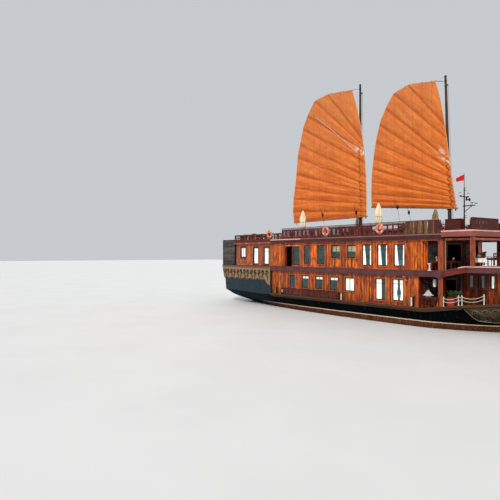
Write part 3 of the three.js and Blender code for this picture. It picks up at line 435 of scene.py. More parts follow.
def glass_look():
    """Window glass: dark, glossy, faintly green, and a little see-through."""
    look = Look("window_glass", roughness=0.08, coat=0.3)
    haze = look.noise(1.1, 4, 0.6)
    look.colour(look.ramp(haze, [(0.35, rgb(96, 140, 138)), (0.7, rgb(136, 176, 170))]))
    look.shader.inputs["Alpha"].default_value = 0.14
    look.shine(look.grey(haze, 0.04, 0.16, 0.4, 0.7))
    return look.material


def metal_look(name, colour, roughness=0.35, rust=0.2, metallic=1.0):
    """Metal or enamel with fine scratches and patches of rust."""
    look = Look(name, roughness=roughness, metallic=metallic)
    patches = look.noise(4.5, 7, 0.7)
    scratch = look.noise(40, 4, 0.6)
    tint = look.ramp(scratch, [(0.3, shade(colour, 0.75)), (0.7, shade(colour, 1.15))])
    look.colour(look.mix(look.grey(patches, 0, rust, 0.52, 0.72), tint, rgb(96, 52, 30)))
    look.shine(look.grey(patches, roughness, min(1, roughness + 0.35), 0.4, 0.7))
    look.bump(scratch, 0.15, 0.002)
    return look.material


def rope_look(name, colour):
    """Laid rope: short slanting strands."""
    look = Look(name, roughness=0.88)
    strand = look.node("ShaderNodeTexWave", {"wave_type": "BANDS", "bands_direction": "DIAGONAL"},
                       Vector=look.place, Scale=14.0, Distortion=0.6).outputs["Fac"]
    soil = look.noise(3.0, 4, 0.6)
    tint = look.ramp(strand, [(0.1, shade(colour, 0.6)), (0.6, colour), (1.0, shade(colour, 1.08))])
    look.colour(look.mix(look.grey(soil, 0, 0.4, 0.5, 0.8), tint, shade(colour, 0.55)))
    look.bump(strand, 0.5, 0.006)
    return look.material


def leaf_look(name, colour):
    """Leaves or petals with darker and lighter spots."""
    look = Look(name, roughness=0.55, sheen_weight=0.1)
    spots = look.noise(11, 4, 0.6)
    look.colour(look.ramp(spots, [(0.3, shade(colour, 0.45)), (0.55, colour), (0.8, shade(colour, 1.7))]))
    look.bump(spots, 0.3, 0.005)
    return look.material


PANELS = 11                    # panels of each sail, from the foot to the head
VARNISH = {"coat": 0.12, "roughness": 0.42}
# Aged varnish whose boards also darken towards the bottom, as painted shade
AGED_VARNISH_SHADED_LOW = {**VARNISH, "wear": 0.45, "spread": 0.5, "figure": 0.5, "low": 0.5}
UNEVEN = {"wear": 0.5, "spread": 0.45, "figure": 0.5}
LEVEL = {"along": "X", "across": "Z"}

LOOKS = {
    "hull": hull_look(),
    "bottom": paint("bottom_paint", rgb(110, 58, 44), 0.7, worn=rgb(70, 64, 44)),
    "quarter": paint("quarter_paint", rgb(24, 44, 54), 0.6, worn=rgb(62, 74, 74), wear=0.5),
    "carving": carved_look("stern_carving_wood", rgb(22, 14, 10), rgb(100, 72, 54), rgb(152, 120, 88)),
    "bow_carving": carved_look("bow_carving_wood", rgb(6, 5, 3), rgb(32, 24, 12), rgb(78, 62, 34)),
    "shell": carved_look("shell_carving_wood", rgb(70, 54, 34), rgb(158, 130, 90), rgb(214, 190, 148)),
    "boards": wood("varnished_boards", ORANGE, **AGED_VARNISH_SHADED_LOW),
    # A brighter, yellower copy of the varnished boards: painted sunlight on the upper wall's forward part
    "sunlit_boards": wood("painted_sunlit_boards", rgb(240, 118, 22), **AGED_VARNISH_SHADED_LOW),
    "cross_boards": wood("varnished_cross_boards", ORANGE, across="Y", spread=0.5, figure=0.4, **VARNISH),
    "sunny_boards": wood("sunny_boards", rgb(244, 112, 26), across="Y", **VARNISH),
    "castle_boards": wood("castle_boards", rgb(158, 84, 50), board=0.12, coat=0.05, wear=0.35, spread=0.22),
    "post": wood("varnished_posts", rgb(188, 90, 42), board=0.5, wear=0.4, **VARNISH),
    "trim": wood("dark_trim", rgb(84, 38, 22), board=0.9, coat=0.1, roughness=0.45),
    "dark": wood("dark_boards", rgb(88, 34, 14), roughness=0.55, gloss=0.1, **UNEVEN),
    "warm": wood("warm_dark_boards", rgb(150, 62, 20), gloss=0.15, **UNEVEN),
    "dark_cross": wood("dark_cross_boards", rgb(98, 30, 14), roughness=0.55, across="Y", spread=0.4,
                       gloss=0.1),
    "belt": deck_look("belt_paint", BELT, rgb(146, 112, 82)),
    "roof": deck_look("roof_paint", rgb(80, 44, 42), rgb(142, 112, 86)),
    "rub": paint("rubbing_rail_paint", rgb(82, 50, 32), 0.65, wear=0.6, worn=rgb(130, 100, 72), chips=0.58),
    "parapet": wood("parapet_boards", rgb(104, 44, 34), board=0.12, roughness=0.62, wear=0.6, **LEVEL),
    "weathered": wood("weathered_boards", rgb(78, 74, 72), board=0.16, roughness=0.8, wear=0.6, **LEVEL),
    "mast": wood("mast_wood", rgb(52, 40, 34), board=3.0, roughness=0.6, wear=0.5),
    "spar": wood("bamboo_spars", rgb(168, 98, 48), along="X", board=2.2, wear=0.4),
    "sail": sail_look(),
    "tape": cloth_look("batten_tape", rgb(196, 88, 30)),
    "blind_white": cloth_look("white_blind", WHITE, painted_light=0.75),
    "edge_rope": rope_look("leech_rope", rgb(226, 168, 118)),
    "dark_rope": rope_look("tarred_rope", rgb(84, 60, 40)),
    "curtain": cloth_look("white_curtain", WHITE, painted_light=0.6),
    "net": cloth_look("net_curtain", rgb(176, 166, 150), painted_light=0.05),
    "blind": cloth_look("cream_blind", rgb(226, 208, 168), stripes=0.09),
    "awning": cloth_look("parasol_canvas", CREAM),
    "linen": cloth_look("table_linen", WHITE, painted_light=0.25),
    "teal_cloth": cloth_look("teal_bedspread", rgb(64, 108, 120), painted_light=0.1),
    "cushion": cloth_look("lounger_canvas", rgb(232, 228, 216), 160),
    "flag": cloth_look("flag_cloth", rgb(206, 22, 20)),
    "glass": glass_look(),
    "bronze": metal_look("propeller_bronze", rgb(178, 136, 74), 0.3, rust=0.25),
    "brass": metal_look("brass_fittings", rgb(196, 156, 84), 0.25, rust=0.1),
    "iron": metal_look("painted_iron", rgb(40, 40, 42), 0.5, rust=0.55, metallic=0.55),
    "enamel": paint("white_enamel", rgb(226, 228, 226), 0.35, wear=0.15, worn=rgb(150, 140, 126), coat=0.3),
    "black": metal_look("lantern_black", rgb(26, 26, 28), 0.45, rust=0.15, metallic=0.4),
    "rope": rope_look("mooring_rope", rgb(222, 214, 196)),
    "tan_rope": rope_look("rigging_rope", rgb(166, 136, 98)),
    "buoy": paint("lifebuoy_orange", rgb(236, 110, 78), 0.6, wear=0.25, worn=rgb(240, 190, 160)),
    "buoy_band": paint("lifebuoy_band", rgb(244, 186, 160), 0.6, wear=0.2, worn=rgb(230, 150, 120)),
    "leaf": leaf_look("leaves", rgb(66, 84, 36)),
    "bush": leaf_look("reddish_leaves", rgb(122, 70, 46)),
    "bloom": leaf_look("blossom", rgb(206, 60, 52)),
    "pot": paint("terracotta", rgb(158, 84, 54), 0.8, wear=0.4),
    "pale_trim": paint("pale_moulding", rgb(222, 172, 160), 0.5, wear=0.35, worn=rgb(150, 96, 86)),
    "dull_trim": paint("dull_moulding", rgb(142, 104, 98), 0.55, wear=0.4, worn=rgb(196, 164, 150)),
    "pink_face": paint("rose_brown_face", rgb(146, 78, 72), 0.55, wear=0.4, worn=rgb(190, 136, 124)),
    "red_wood": wood("red_brown_wood", rgb(94, 28, 16), board=0.6, coat=0.1, roughness=0.45, **LEVEL),
    "panel": wood("dark_red_panels", rgb(84, 32, 22), board=0.2, roughness=0.55, wear=0.5),
    "lattice": wood("dark_red_lattice", rgb(96, 36, 34), board=0.4, roughness=0.6, wear=0.6),
    "slat": wood("bleached_slats", rgb(118, 84, 62), board=0.139, roughness=0.7, wear=0.85, spread=0.5),
    "wale": wood("brown_wale", rgb(66, 40, 22), along="X", board=2.7, roughness=0.65, wear=0.6),
    # Near-black: painted shade of the unlit cabins
    "lining": wood("dark_lining", rgb(52, 18, 12), board=0.5, roughness=0.7),
    "lamp_glass": paint("frosted_lamp_glass", rgb(240, 226, 190), 0.25, coat=0.5, wear=0.1,
                        worn=rgb(200, 180, 140)),
    "door_casing": wood("pale_door_casing", rgb(196, 116, 78), board=0.6, coat=0.1, wear=0.5),
    "cream_bloom": leaf_look("cream_blossom", rgb(236, 214, 140)),
    "red": paint("red_lacquer", rgb(178, 40, 26), 0.35, coat=0.3, wear=0.2),
}


# Geometry: a shape gathers faces of one piece, each with the number of its material
def around(count):
    """Angles in equal steps round a full turn."""
    return [2 * math.pi * k / count for k in range(count)]


def circle(centre, radius, count, plane="XY"):
    """Points of a circle round a centre, in the plane of two axes."""
    first, second = "XYZ".index(plane[0]), "XYZ".index(plane[1])
    points = [Vector(centre) for _ in range(count)]
    for point, turn in zip(points, around(count)):
        point[first] += radius * math.cos(turn)
        point[second] += radius * math.sin(turn)
    return points


class Shape:
    """Points and faces of one piece under construction."""

    def __init__(self):
        self.points, self.faces, self.slots, self.slot = [], [], [], 0

    def paint(self, number):
        """Chooses the material of the faces that follow."""
        self.slot = number
        return self

    def add(self, points, faces):
        """Points, and faces that count from the first of them."""
        start = len(self.points)
        self.points.extend(tuple(p) for p in points)
        self.faces.extend(tuple(start + i for i in face) for face in faces)
        self.slots.extend([self.slot] * len(faces))
        return self

    def box(self, x, y, z, bevel=0.006):
        """A block between limits on the three axes, with its edges bevelled."""
        limits = [sorted(x), sorted(y), sorted(z)]
        bevel = min([bevel] + [0.45 * (high - low) for low, high in limits])
        corners = []
        for ix in (0, 1):
            for iy in (0, 1):
                for iz in (0, 1):
                    signs = (1 - 2 * ix, 1 - 2 * iy, 1 - 2 * iz)
                    at = [limits[k][(ix, iy, iz)[k]] for k in range(3)]
                    for axis in range(3):
                        corners.append([at[k] + (0 if k == axis else bevel * signs[k]) for k in range(3)])
        number = lambda ix, iy, iz, axis: (ix * 4 + iy * 2 + iz) * 3 + axis
        faces = []
        for axis, (a, b) in ((0, (1, 2)), (1, (2, 0)), (2, (0, 1))):
            for end in (0, 1):
                ring = []
                for u, v in ((0, 0), (1, 0), (1, 1), (0, 1)):
                    index = [0, 0, 0]
                    index[axis], index[a], index[b] = end, u, v
                    ring.append(number(*index, axis))
                faces.append(ring if end else ring[::-1])
        for axis, (a, b) in ((0, (1, 2)), (1, (2, 0)), (2, (0, 1))):
            for u in (0, 1):
                for v in (0, 1):
                    low, high = [0, 0, 0], [0, 0, 0]
                    low[a] = high[a] = u
                    low[b] = high[b] = v
                    high[axis] = 1
                    ring = [number(*low, a), number(*high, a), number(*high, b), number(*low, b)]
                    faces.append(ring if u == v else ring[::-1])
        for ix in (0, 1):
            for iy in (0, 1):
                for iz in (0, 1):
                    ring = [number(ix, iy, iz, axis) for axis in range(3)]
                    faces.append(ring if (ix + iy + iz) % 2 else ring[::-1])
        return self.add(corners, faces)

    def plate(self, outline, place, thick):
        """An outline (a, b) given thickness: place(a, b, depth) says where a point lies."""
        count = len(outline)
        points = [place(a, b, d) for d in (0, thick) for a, b in outline]
        faces = [list(range(count))[::-1], list(range(count, 2 * count))]
        faces += [[i, (i + 1) % count, count + (i + 1) % count, count + i] for i in range(count)]
        return self.add(points, faces)

    def tube(self, path, radius, sides=8, closed=False):
        """A round bar along a path; radius is one number or one for each point."""
        path = [Vector(p) for p in path]
        radii = radius if hasattr(radius, "__len__") else [radius] * len(path)
        rings, up = [], None
        for i, point in enumerate(path):
            after = path[(i + 1) % len(path)] if closed or i + 1 < len(path) else point
            before = path[i - 1] if closed or i else point
            along = (after - before).normalized()
            if up is None or abs(up.dot(along)) > 0.999:
                up = Vector((0, 0, 1)) if abs(along.z) < 0.9 else Vector((1, 0, 0))
            across = along.cross(up).normalized()
            up = across.cross(along).normalized()
            rings.append([point + radii[i] * (math.cos(t) * across + math.sin(t) * up)
                          for t in around(sides)])
        return self.rings(rings, closed)

    def rings(self, rings, closed=False, caps=True):
        """Skin through rings of equal point count."""
        count, faces = len(rings[0]), []
        for r in range(len(rings) if closed else len(rings) - 1):
            a, b = r * count, ((r + 1) % len(rings)) * count
            faces += [[a + i, a + (i + 1) % count, b + (i + 1) % count, b + i] for i in range(count)]
        if caps and not closed:
            faces += [list(range(count))[::-1], list(range((len(rings) - 1) * count, len(rings) * count))]
        return self.add([p for ring in rings for p in ring], faces)

    def lathe(self, profile, centre, sides=24, axis="Z", start=0.0):
        """Profile of (radius, distance along the axis) turned round it."""
        rings = []
        for radius, along in profile:
            ring = []
            for turn in around(sides):
                a, b = radius * math.cos(start + turn), radius * math.sin(start + turn)
                offset = {"Z": (a, b, along), "Y": (b, along, a), "X": (along, a, b)}[axis]
                ring.append(Vector(centre) + Vector(offset))
            rings.append(ring)
        return self.rings(rings)

    def ball(self, centre, size, sides=10, rows=6):
        """A ball or an egg round a centre."""
        rings = []
        for r in range(rows + 1):
            turn = math.pi * r / rows
            wide = max(math.sin(turn), 0.02)
            rings.append([Vector(centre)
                          + Vector((size[0] * wide * math.cos(t), size[1] * wide * math.sin(t),
                                    -size[2] * math.cos(turn)))
                          for t in around(sides)])
        return self.rings(rings)

    def sheet(self, rows):
        """A surface with no thickness through rows of points."""
        count = len(rows[0])
        faces = [[r * count + i, r * count + i + 1, (r + 1) * count + i + 1, (r + 1) * count + i]
                 for r in range(len(rows) - 1) for i in range(count - 1)]
        return self.add([p for row in rows for p in row], faces)

    def mirrored(self):
        """The same shape on the other side of the centreline."""
        other = Shape()
        other.points = [(x, -y, z) for x, y, z in self.points]
        other.faces = [face[::-1] for face in self.faces]
        other.slots = list(self.slots)
        return other

    def moved(self, matrix):
        """Moves all points by a matrix."""
        self.points = [tuple(matrix @ Vector(p)) for p in self.points]
        return self

    def join(self, other):
        """Takes in another shape with its own materials."""
        start = len(self.points)
        self.points.extend(other.points)
        self.faces.extend(tuple(start + i for i in face) for face in other.faces)
        self.slots.extend(other.slots)
        return self

    def piece(self, name, looks, body="hull", slot=None, smooth=False):
        """The finished object, riding on its body; smooth is True, False or the angle of its sharp edges."""
        mesh = bpy.data.meshes.new(name)
        mesh.from_pydata(self.points, [], self.faces)
        for look in looks if isinstance(looks, (list, tuple)) else [looks]:
            mesh.materials.append(LOOKS[look])
        mesh.polygons.foreach_set("material_index", self.slots)
        mesh.polygons.foreach_set("use_smooth", [smooth is not False] * len(self.faces))
        mesh.update()
        made = bpy.data.objects.new(name, mesh)
        bpy.context.scene.collection.objects.link(made)
        if not isinstance(smooth, bool):
            mesh.set_sharp_from_angle(angle=math.radians(smooth))
        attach(made, body)
        return made


def both(shape, name, looks, body="hull", slot=None, smooth=False):
    """The starboard shape and its mirror image as two pieces."""
    bodies = body if isinstance(body, dict) else {side: body for side in SIDES}
    made = {"stbd": shape.piece(f"{name}_stbd", looks, bodies["stbd"], slot, smooth)}
    made["port"] = shape.mirrored().piece(f"{name}_port", looks, bodies["port"], slot, smooth)
    return made


def dress(node, *looks, smooth=None):
    """Gives a node of the frame its material, and smooth shading below an angle."""
    mesh = NODES[node].data
    mesh.materials.clear()
    for look in looks:
        mesh.materials.append(LOOKS[look])
    if smooth:
        mesh.polygons.foreach_set("use_smooth", [True] * len(mesh.polygons))
        mesh.set_sharp_from_angle(angle=math.radians(smooth))


def bezier(points, count=48):
    """Points along a Bezier curve of any degree."""
    found = []
    for k in range(count + 1):
        left = [Vector(p) for p in points]
        while len(left) > 1:
            left = [a.lerp(b, k / count) for a, b in zip(left, left[1:])]
        found.append(left[0])
    return found


def tree_of(*nodes, with_shape=None):
    """A search tree over the faces of some nodes of the frame, and of a shape laid on them."""
    points, faces = [], []
    if with_shape:
        points, faces = [Vector(p) for p in with_shape.points], [list(f) for f in with_shape.faces]
    for node in nodes:
        start = len(points)
        mesh = NODES[node].data
        points += [v.co.copy() for v in mesh.vertices]
        faces += [[start + i for i in p.vertices] for p in mesh.polygons]
    return BVHTree.FromPolygons(points, faces)


def skin(tree, x, z, side=-1):
    """The outermost point of a body's side at a station and height, and its outward normal."""
    for nudge in (0.0, 0.0015, -0.0015):         # a ray along the edge of two faces can slip between them
        hit, normal, _, _ = tree.ray_cast(Vector((x + nudge, side * 12, z + nudge)), Vector((0, -side, 0)))
        if hit is not None:
            return hit, normal if normal.y * side > 0 else -normal
    return None, None


def top_of(tree, x, y, start=20.0):
    """Height of the first face below a point."""
    hit = tree.ray_cast(Vector((x, y, start)), Vector((0, 0, -1)))[0]
    return hit.z if hit else None


HULL = tree_of("hull")
DECK_EDGE = tree_of("rubbing_rail")


def deck_z(x):
    """Height of the hull's top on the centreline."""
    return top_of(HULL, x, 0)


# Nodes of the frame that show as they are, with their materials
DRESSED = {
    "hull": ("hull", 35), "keel": ("bottom", None), "rudder": ("bottom", None),
    "stern_quarter": ("quarter", 35),
    "stern_carving_stbd": ("carving", 30), "stern_carving_port": ("carving", 30),
    "bow_carving_stbd": ("bow_carving", 30), "bow_carving_port": ("bow_carving", 30),
    "rubbing_rail": ("rub", 30), "bow_bulwark": ("dark", 30),
    "lower_wall_stbd": ("boards", None), "lower_wall_port": ("boards", None),
    "lower_front_wall": ("dark_cross", None),
    "upper_wall_stbd": ("boards", None), "upper_wall_port": ("boards", None),
    "upper_front_wall": ("dark_cross", None),
    "castle_wall_stbd": ("castle_boards", None), "castle_wall_port": ("castle_boards", None),
    "castle_aft_wall": ("cross_boards", None), "stern_gallery": ("weathered", None),
    "middle_deck": ("belt", None), "roof": ("roof", None),
    "lower_verandah_stbd": ("post", None), "lower_verandah_port": ("post", None),
    "verandah_frame": ("post", None),
    "parapet_stbd": ("parapet", None), "parapet_port": ("parapet", None), "fore_parapet": ("parapet", None),
    "stern_rail": ("parapet", None), "rope_rail_stbd": ("rope", 50), "rope_rail_port": ("rope", 50),
    "fore_cabin": ("dark", None), "fore_cabin_door": ("cross_boards", None),
    "fore_balustrade": ("dark", None),
    "side_door_stbd": ("dark", None), "side_door_port": ("dark", None),
    "main_mast": ("mast", 40), "fore_mast": ("mast", 40), "signal_mast": ("black", 40),
    "radar_scanner": ("enamel", 40),
    "windlass": ("iron", 30), "bow_bitts": ("dark", None), "anchor": ("iron", None),
    "propeller": ("bronze", 30),
    "main_spars": ("spar", 40), "fore_spars": ("spar", 40), "main_sail": ("sail", None),
    "fore_sail": ("sail", None),
    "flag": ("flag", None),
    "parasol_aft_stbd": ("awning", 40), "parasol_aft_port": ("awning", 40),
    "parasol_mid_stbd": ("awning", 40), "parasol_mid_port": ("awning", 40),
}


def split_verandah(node):
    """The column in varnished boards and the low rail aft of it in dark wood; the column's forward face takes
    the dark wood too, as painted shade.
    """
    mesh = NODES[node].data
    mesh.materials.append(LOOKS["dark"])
    for face in mesh.polygons:
        # The rail aft of the column is dark wood; the column's forward face is dark as painted shade
        if face.center.x < COLUMN_AFT - 0.02 or face.normal.x > 0.5:
            face.material_index = 1


def dress_frame():
    """Gives the frame's own nodes their materials."""
    for node, (look, smooth) in DRESSED.items():
        dress(node, look, smooth=smooth)
    for side in SIDES:
        split_verandah(f"lower_verandah_{side}")
    for place in ("aft", "mid", "fore"):
        for side in SIDES:
            dress(f"lifebuoy_{place}_{side}", "buoy", smooth=50)


# Carved reliefs: ridges and leaves laid on the skin of the carved plates
RIDGE_SECTION = [(-1, -0.35), (-0.72, 0.55), (-0.28, 0.95), (0.28, 0.95), (0.72, 0.55), (1, -0.35)]


def ridge(shape, tree, path, width, height, taper=0.0):
    """A raised moulding along points (x, z) of a side skin; its ends narrow by the taper."""
    placed = []
    for x, z in path:
        point, normal = skin(tree, x, z)
        if point is not None:
            placed.append((point, normal))
    if len(placed) < 2:
        return
    rings = []
    for i, (point, normal) in enumerate(placed):
        along = (placed[min(i + 1, len(placed) - 1)][0] - placed[max(i - 1, 0)][0]).normalized()
        across = normal.cross(along).normalized()
        share = i / (len(placed) - 1)
        size = 1 - taper * abs(2 * share - 1) ** 1.5
        rings.append([point + across * (a * width / 2 * size) + normal * (b * height * (0.35 + 0.65 * size))
                      for a, b in RIDGE_SECTION])
    shape.rings(rings)


def spiral(centre, radius, turns, start, hand=1, points=26, inner=0.12):
    """Points of a scroll that winds in to its centre."""
    found = []
    for k in range(points):
        share = k / (points - 1)
        reach = radius * ((1 - share) ** 0.8 * (1 - inner) + inner)
        turn = math.radians(start) + hand * share * turns * 2 * math.pi
        found.append((centre[0] + reach * math.cos(turn), centre[1] + reach * math.sin(turn)))
    return found


def leaf(shape, tree, root, heading, length, width, height, bend=0.35):
    """A pointed leaf: a broad ridge that swells and closes, with a vein."""
    path = []
    for k in range(8):
        share = k / 7
        turn = math.radians(heading) + bend * share
        path.append((root[0] + length * share * math.cos(turn), root[1] + length * share * math.sin(turn)))
    ridge(shape, tree, path, width, height, taper=0.92)
    ridge(shape, tree, path[1:-1], width * 0.16, height * 1.45, taper=0.8)


# Band of scrolls round the stern: the plate's span, how often its motif repeats, heights in the motif
STERN_BAND = {"aft": -19.55, "fore": -10.25, "high": 4.03, "motifs": 14, "beads": 76}
SCROLL_Z, CURL_Z, BUD_Z = 3.5, 3.02, 3.2
STERN_SEARCH = 1.9             # the band's lower edge is looked for from this height up


def stern_relief():
    """Scrolls, buds and beads of the band round the stern."""
    shape, tree = Shape(), tree_of("stern_carving_stbd")
    band = STERN_BAND
    span = band["fore"] - band["aft"]
    for z, width, height in ((band["high"], 0.075, 0.035), (band["high"] - 0.12, 0.03, 0.025)):
        ridge(shape, tree, [(band["aft"] + span * k / 60, z) for k in range(61)], width, height)
    pitch = span / band["motifs"]
    for k in range(band["motifs"]):
        x, hand = band["aft"] + (k + 0.5) * pitch, 1 if k % 2 else -1
        scroll = spiral((x, SCROLL_Z), 0.29, 1.6, 200 if hand > 0 else -20, hand)
        ridge(shape, tree, scroll, 0.075, 0.045, 0.35)
        curl = spiral((x + 0.1 * hand, CURL_Z), 0.17, 1.3, 60, -hand, 18)
        ridge(shape, tree, curl, 0.055, 0.036, 0.35)
        leaf(shape, tree, (x - 0.27 * hand, BUD_Z), 90 - 50 * hand, 0.42, 0.17, 0.05, -0.5 * hand)
        leaf(shape, tree, (x + 0.28 * hand, 3.36), 90 + 22 * hand, 0.44, 0.15, 0.045, 0.5 * hand)
        leaf(shape, tree, (x - 0.1, 3.3), -70, 0.4, 0.12, 0.045, 0.3)
        leaf(shape, tree, (x + 0.16 * hand, 2.98), -90 - 20 * hand, 0.34, 0.13, 0.04, 0.4 * hand)
        for turn in (-30, 25, 80):
            leaf(shape, tree, (x, SCROLL_Z), turn + 60 * k, 0.2, 0.085, 0.06, 0.2)
    for k in range(band["beads"]):
        point, normal = skin(tree, band["aft"] + span * (k + 0.5) / band["beads"], band["high"] - 0.06)
        if point is not None:
            shape.ball(point + normal * 0.008, (0.026, 0.022, 0.026), 8, 4)
    edge = []
    for k in range(121):
        x = band["aft"] + span * k / 120
        z = lowest_of(tree, x, STERN_SEARCH, band["high"])
        if z is not None:
            edge.append((x, z + 0.045))
    ridge(shape, tree, edge, 0.07, 0.04)
    both(shape, "stern_relief", "carving", slot="carving", smooth=45)


def lowest_of(tree, x, low, high, step=0.02):
    """Lowest height at which a side skin is met at a station."""
    z = low
    while z < high:
        if skin(tree, x, z)[0] is not None:
            return z
        z += step
    return None


BOW_PLATE = {"aft": 10.9, "fore": 18.9, "first": 11.66, "pitch": 0.64, "arcs": 12}
BOW_SEARCH = (0.6, 3.6)        # heights between which the plate's lower edge is looked for
SKIRT_TOP, SKIRT_PROUD = 1.7, 0.034
# Lower edge of the carving at its aft end, as (x, z); it sweeps down below the plate
SKIRT_EDGE = [(10.88, 1.6), (11.04, 1.46), (11.17, 1.28), (11.31, 1.04), (11.44, 0.88), (11.6, 0.79),
              (12.05, 0.74), (12.65, 0.71), (13.2, 0.77), (13.7, 0.86), (14.1, 0.93)]


def skirt_edge(x):
    """Height of the skirt's lower edge at a station."""
    for (x0, z0), (x1, z1) in zip(SKIRT_EDGE, SKIRT_EDGE[1:]):
        if x <= x1:
            return z0 + (z1 - z0) * (x - x0) / (x1 - x0)
    return SKIRT_EDGE[-1][1]


def bow_skirt():
    """The part of the carved board that hangs below the plate."""
    shape, plate = Shape(), tree_of("bow_carving_stbd")
    columns = []
    for k in range(65):
        x = SKIRT_EDGE[0][0] + (SKIRT_EDGE[-1][0] - SKIRT_EDGE[0][0]) * k / 64
        z = skirt_edge(x)
        top = lowest_of(plate, x, *BOW_SEARCH)
        top = max(z + 0.01, min((top if top is not None else z) + 0.04, SKIRT_TOP))
        column = []
        for i in range(9):
            point, normal = skin(HULL, x, z + (top - z) * i / 8)
            if i == 0:
                column.append(point - normal * 0.01)
            column.append(point + normal * SKIRT_PROUD)
        columns.append(column)
    return shape.sheet(columns)


def bow_relief():
    """Skirt, edge mouldings, shells and scrolls of the carved board at the bow."""
    skirt = bow_skirt()
    both(skirt, "bow_skirt", "bow_carving", slot="bow_carving", smooth=40)
    shape, tree = Shape(), tree_of("bow_carving_stbd", with_shape=skirt)
    span = BOW_PLATE["fore"] - BOW_PLATE["aft"]
    lower, upper = [], []
    for k in range(111):
        x = BOW_PLATE["aft"] + span * k / 110
        z = lowest_of(tree, x, *BOW_SEARCH)
        top = deck_z(x) - 0.08
        if z is not None and top > z + 0.1:
            lower.append((x, z + 0.05))
            upper.append((x, top))
    ridge(shape.paint(1), tree, lower, 0.07, 0.045)
    ridge(shape.paint(0), tree, upper, 0.07, 0.04)
    for share, width in ((0.13, 0.045), (0.24, 0.055)):
        bead = [(x, z + share * (top - z)) for (x, z), (_, top) in zip(lower, upper)][6:-6]
        ridge(shape, tree, bead, width, 0.035, 0.4)
    for k in range(BOW_PLATE["arcs"]):
        x = BOW_PLATE["first"] + k * BOW_PLATE["pitch"]
        top, low = deck_z(x) - 0.25, lowest_of(tree, x, *BOW_SEARCH)
        if low is None:
            continue
        tall = top - low
        reach = min(0.26, 0.36 * tall)
        centre = (x, top - 0.85 * reach)
        for ring, width in ((1.0, 0.1), (0.4, 0.07)):
            turns = [math.pi * (-0.06 + 1.12 * i / 16) for i in range(17)]
            arc = [(x + reach * ring * math.cos(t), centre[1] + 0.85 * reach * ring * math.sin(t))
                   for t in turns]
            ridge(shape.paint(1), tree, arc, width, 0.06, 0.3)
        shape.paint(0)
        for turn in (40, 90, 140):
            leaf(shape, tree, centre, turn, 0.8 * reach, 0.07, 0.035, 0.0)
        hand = 1 if k % 2 else -1
        middle = low + 0.42 * tall
        ridge(shape, tree, spiral((x, middle), 0.6 * reach, 1.5, 150, hand, 22), 0.055, 0.045, 0.35)
        root = (x + 0.1 * hand, middle)
        for turn in (-155, -110, -65, -20):
            leaf(shape, tree, root, turn, min(0.46, 0.5 * tall), 0.12, 0.045, 0.3 * hand)
    both(shape, "bow_relief", ["bow_carving", "shell"], slot="bow_carving", smooth=45)


TRANSOM = {"half": 3.2, "low": 2.62, "high": 3.98, "centre": 3.3, "petal": 0.46, "petals": 12}


def transom_relief():
    """Carved frame and three flowers across the flat stern."""
    shape, half = Shape(), TRANSOM["half"]
    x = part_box("stern_quarter")[0].x - 0.004
    deep = (x - 0.03, x + 0.012)
    for z in (TRANSOM["low"], TRANSOM["high"]):
        shape.box(deep, (-half, half), (z - 0.03, z + 0.03), 0.01)
    for y in (-half, -half / 3, half / 3, half):
        shape.box(deep, (y - 0.03, y + 0.03), (TRANSOM["low"], TRANSOM["high"]), 0.01)
    for middle in (-2 * half / 3, 0.0, 2 * half / 3):
        at = lambda along, aside, turn: (middle + along * math.cos(turn) + aside * math.sin(turn),
                                         TRANSOM["centre"] + along * math.sin(turn) - aside * math.cos(turn))
        for turn in around(TRANSOM["petals"]):
            petal = [at(0.0, 0.0, turn), at(0.28, 0.09, turn), at(TRANSOM["petal"], 0.0, turn),
                     at(0.28, -0.09, turn)]
            shape.plate(petal, lambda a, b, d: Vector((x - d, a, b)), 0.03)
        shape.lathe([(0.02, -0.05), (0.1, -0.045), (0.12, 0.0)], (x, middle, TRANSOM["centre"]), 16, "X")
    shape.piece("transom_relief", "carving", slot="carving", smooth=40)


# Overflow pipes as (x, z, radius), and the place of the port
PIPES = [(-12.4, 1.02, 0.05), (-3.0, 0.98, 0.04), (2.4, 0.96, 0.05), (6.6, 1.0, 0.04)]
PORT_PLACE, PORT_RADIUS = (-18.2, 2.05), 0.11


def hull_fittings():
    """Overflow pipes and a round port low on each side."""
    shape, tree = Shape(), tree_of("hull", "stern_quarter")
    for x, z, radius in PIPES:
        point, normal = skin(tree, x, z)
        shape.tube([point - normal * 0.05, point + normal * 0.09,
                    point + normal * 0.12 - Vector((0, 0, 0.03))], radius, 12)
    point, normal = skin(tree, *PORT_PLACE)
    shape.tube(circle(point + normal * 0.012, PORT_RADIUS, 20, "XZ"), 0.022, 8, closed=True)
    shape.lathe([(0.02, -0.012), (0.1, -0.012), (0.1, 0.02)], point, 20, "Y")
    both(shape, "hull_fitting", "black", slot="iron", smooth=40)


# Walls: windows as (x from, x to, z from, z to, how they are dressed), for the starboard side
LOWER_WINDOWS = [
    (-7.3, -6.5, 2.2, 3.35, "bare"), (-5.58, -4.64, 2.2, 3.35, "blind"), (-3.73, -2.78, 2.2, 3.35, "blind"),
    (-1.9, -0.91, 2.2, 3.35, "blind"), (-0.1, 0.96, 2.2, 3.35, "screen"),
    (3.23, 4.25, 1.72, 3.42, "one curtain"), (4.9, 5.92, 1.75, 3.43, "two curtains"),
]
UPPER_WINDOWS = [
    (-6.85, -5.85, 4.3, 6.06, "bare"), (-5.29, -4.42, 4.43, 6.15, "bare"),
    (-3.49, -2.52, 4.43, 6.15, "bare"),
    (-1.69, -0.65, 5.0, 6.12, "half blind"), (0.13, 1.17, 5.0, 6.12, "half blind"),
    (1.83, 2.8, 4.4, 6.12, "drawn back"), (3.42, 4.43, 4.4, 6.12, "drawn back"),
    (5.04, 6.05, 4.4, 6.12, "drawn back"),
]
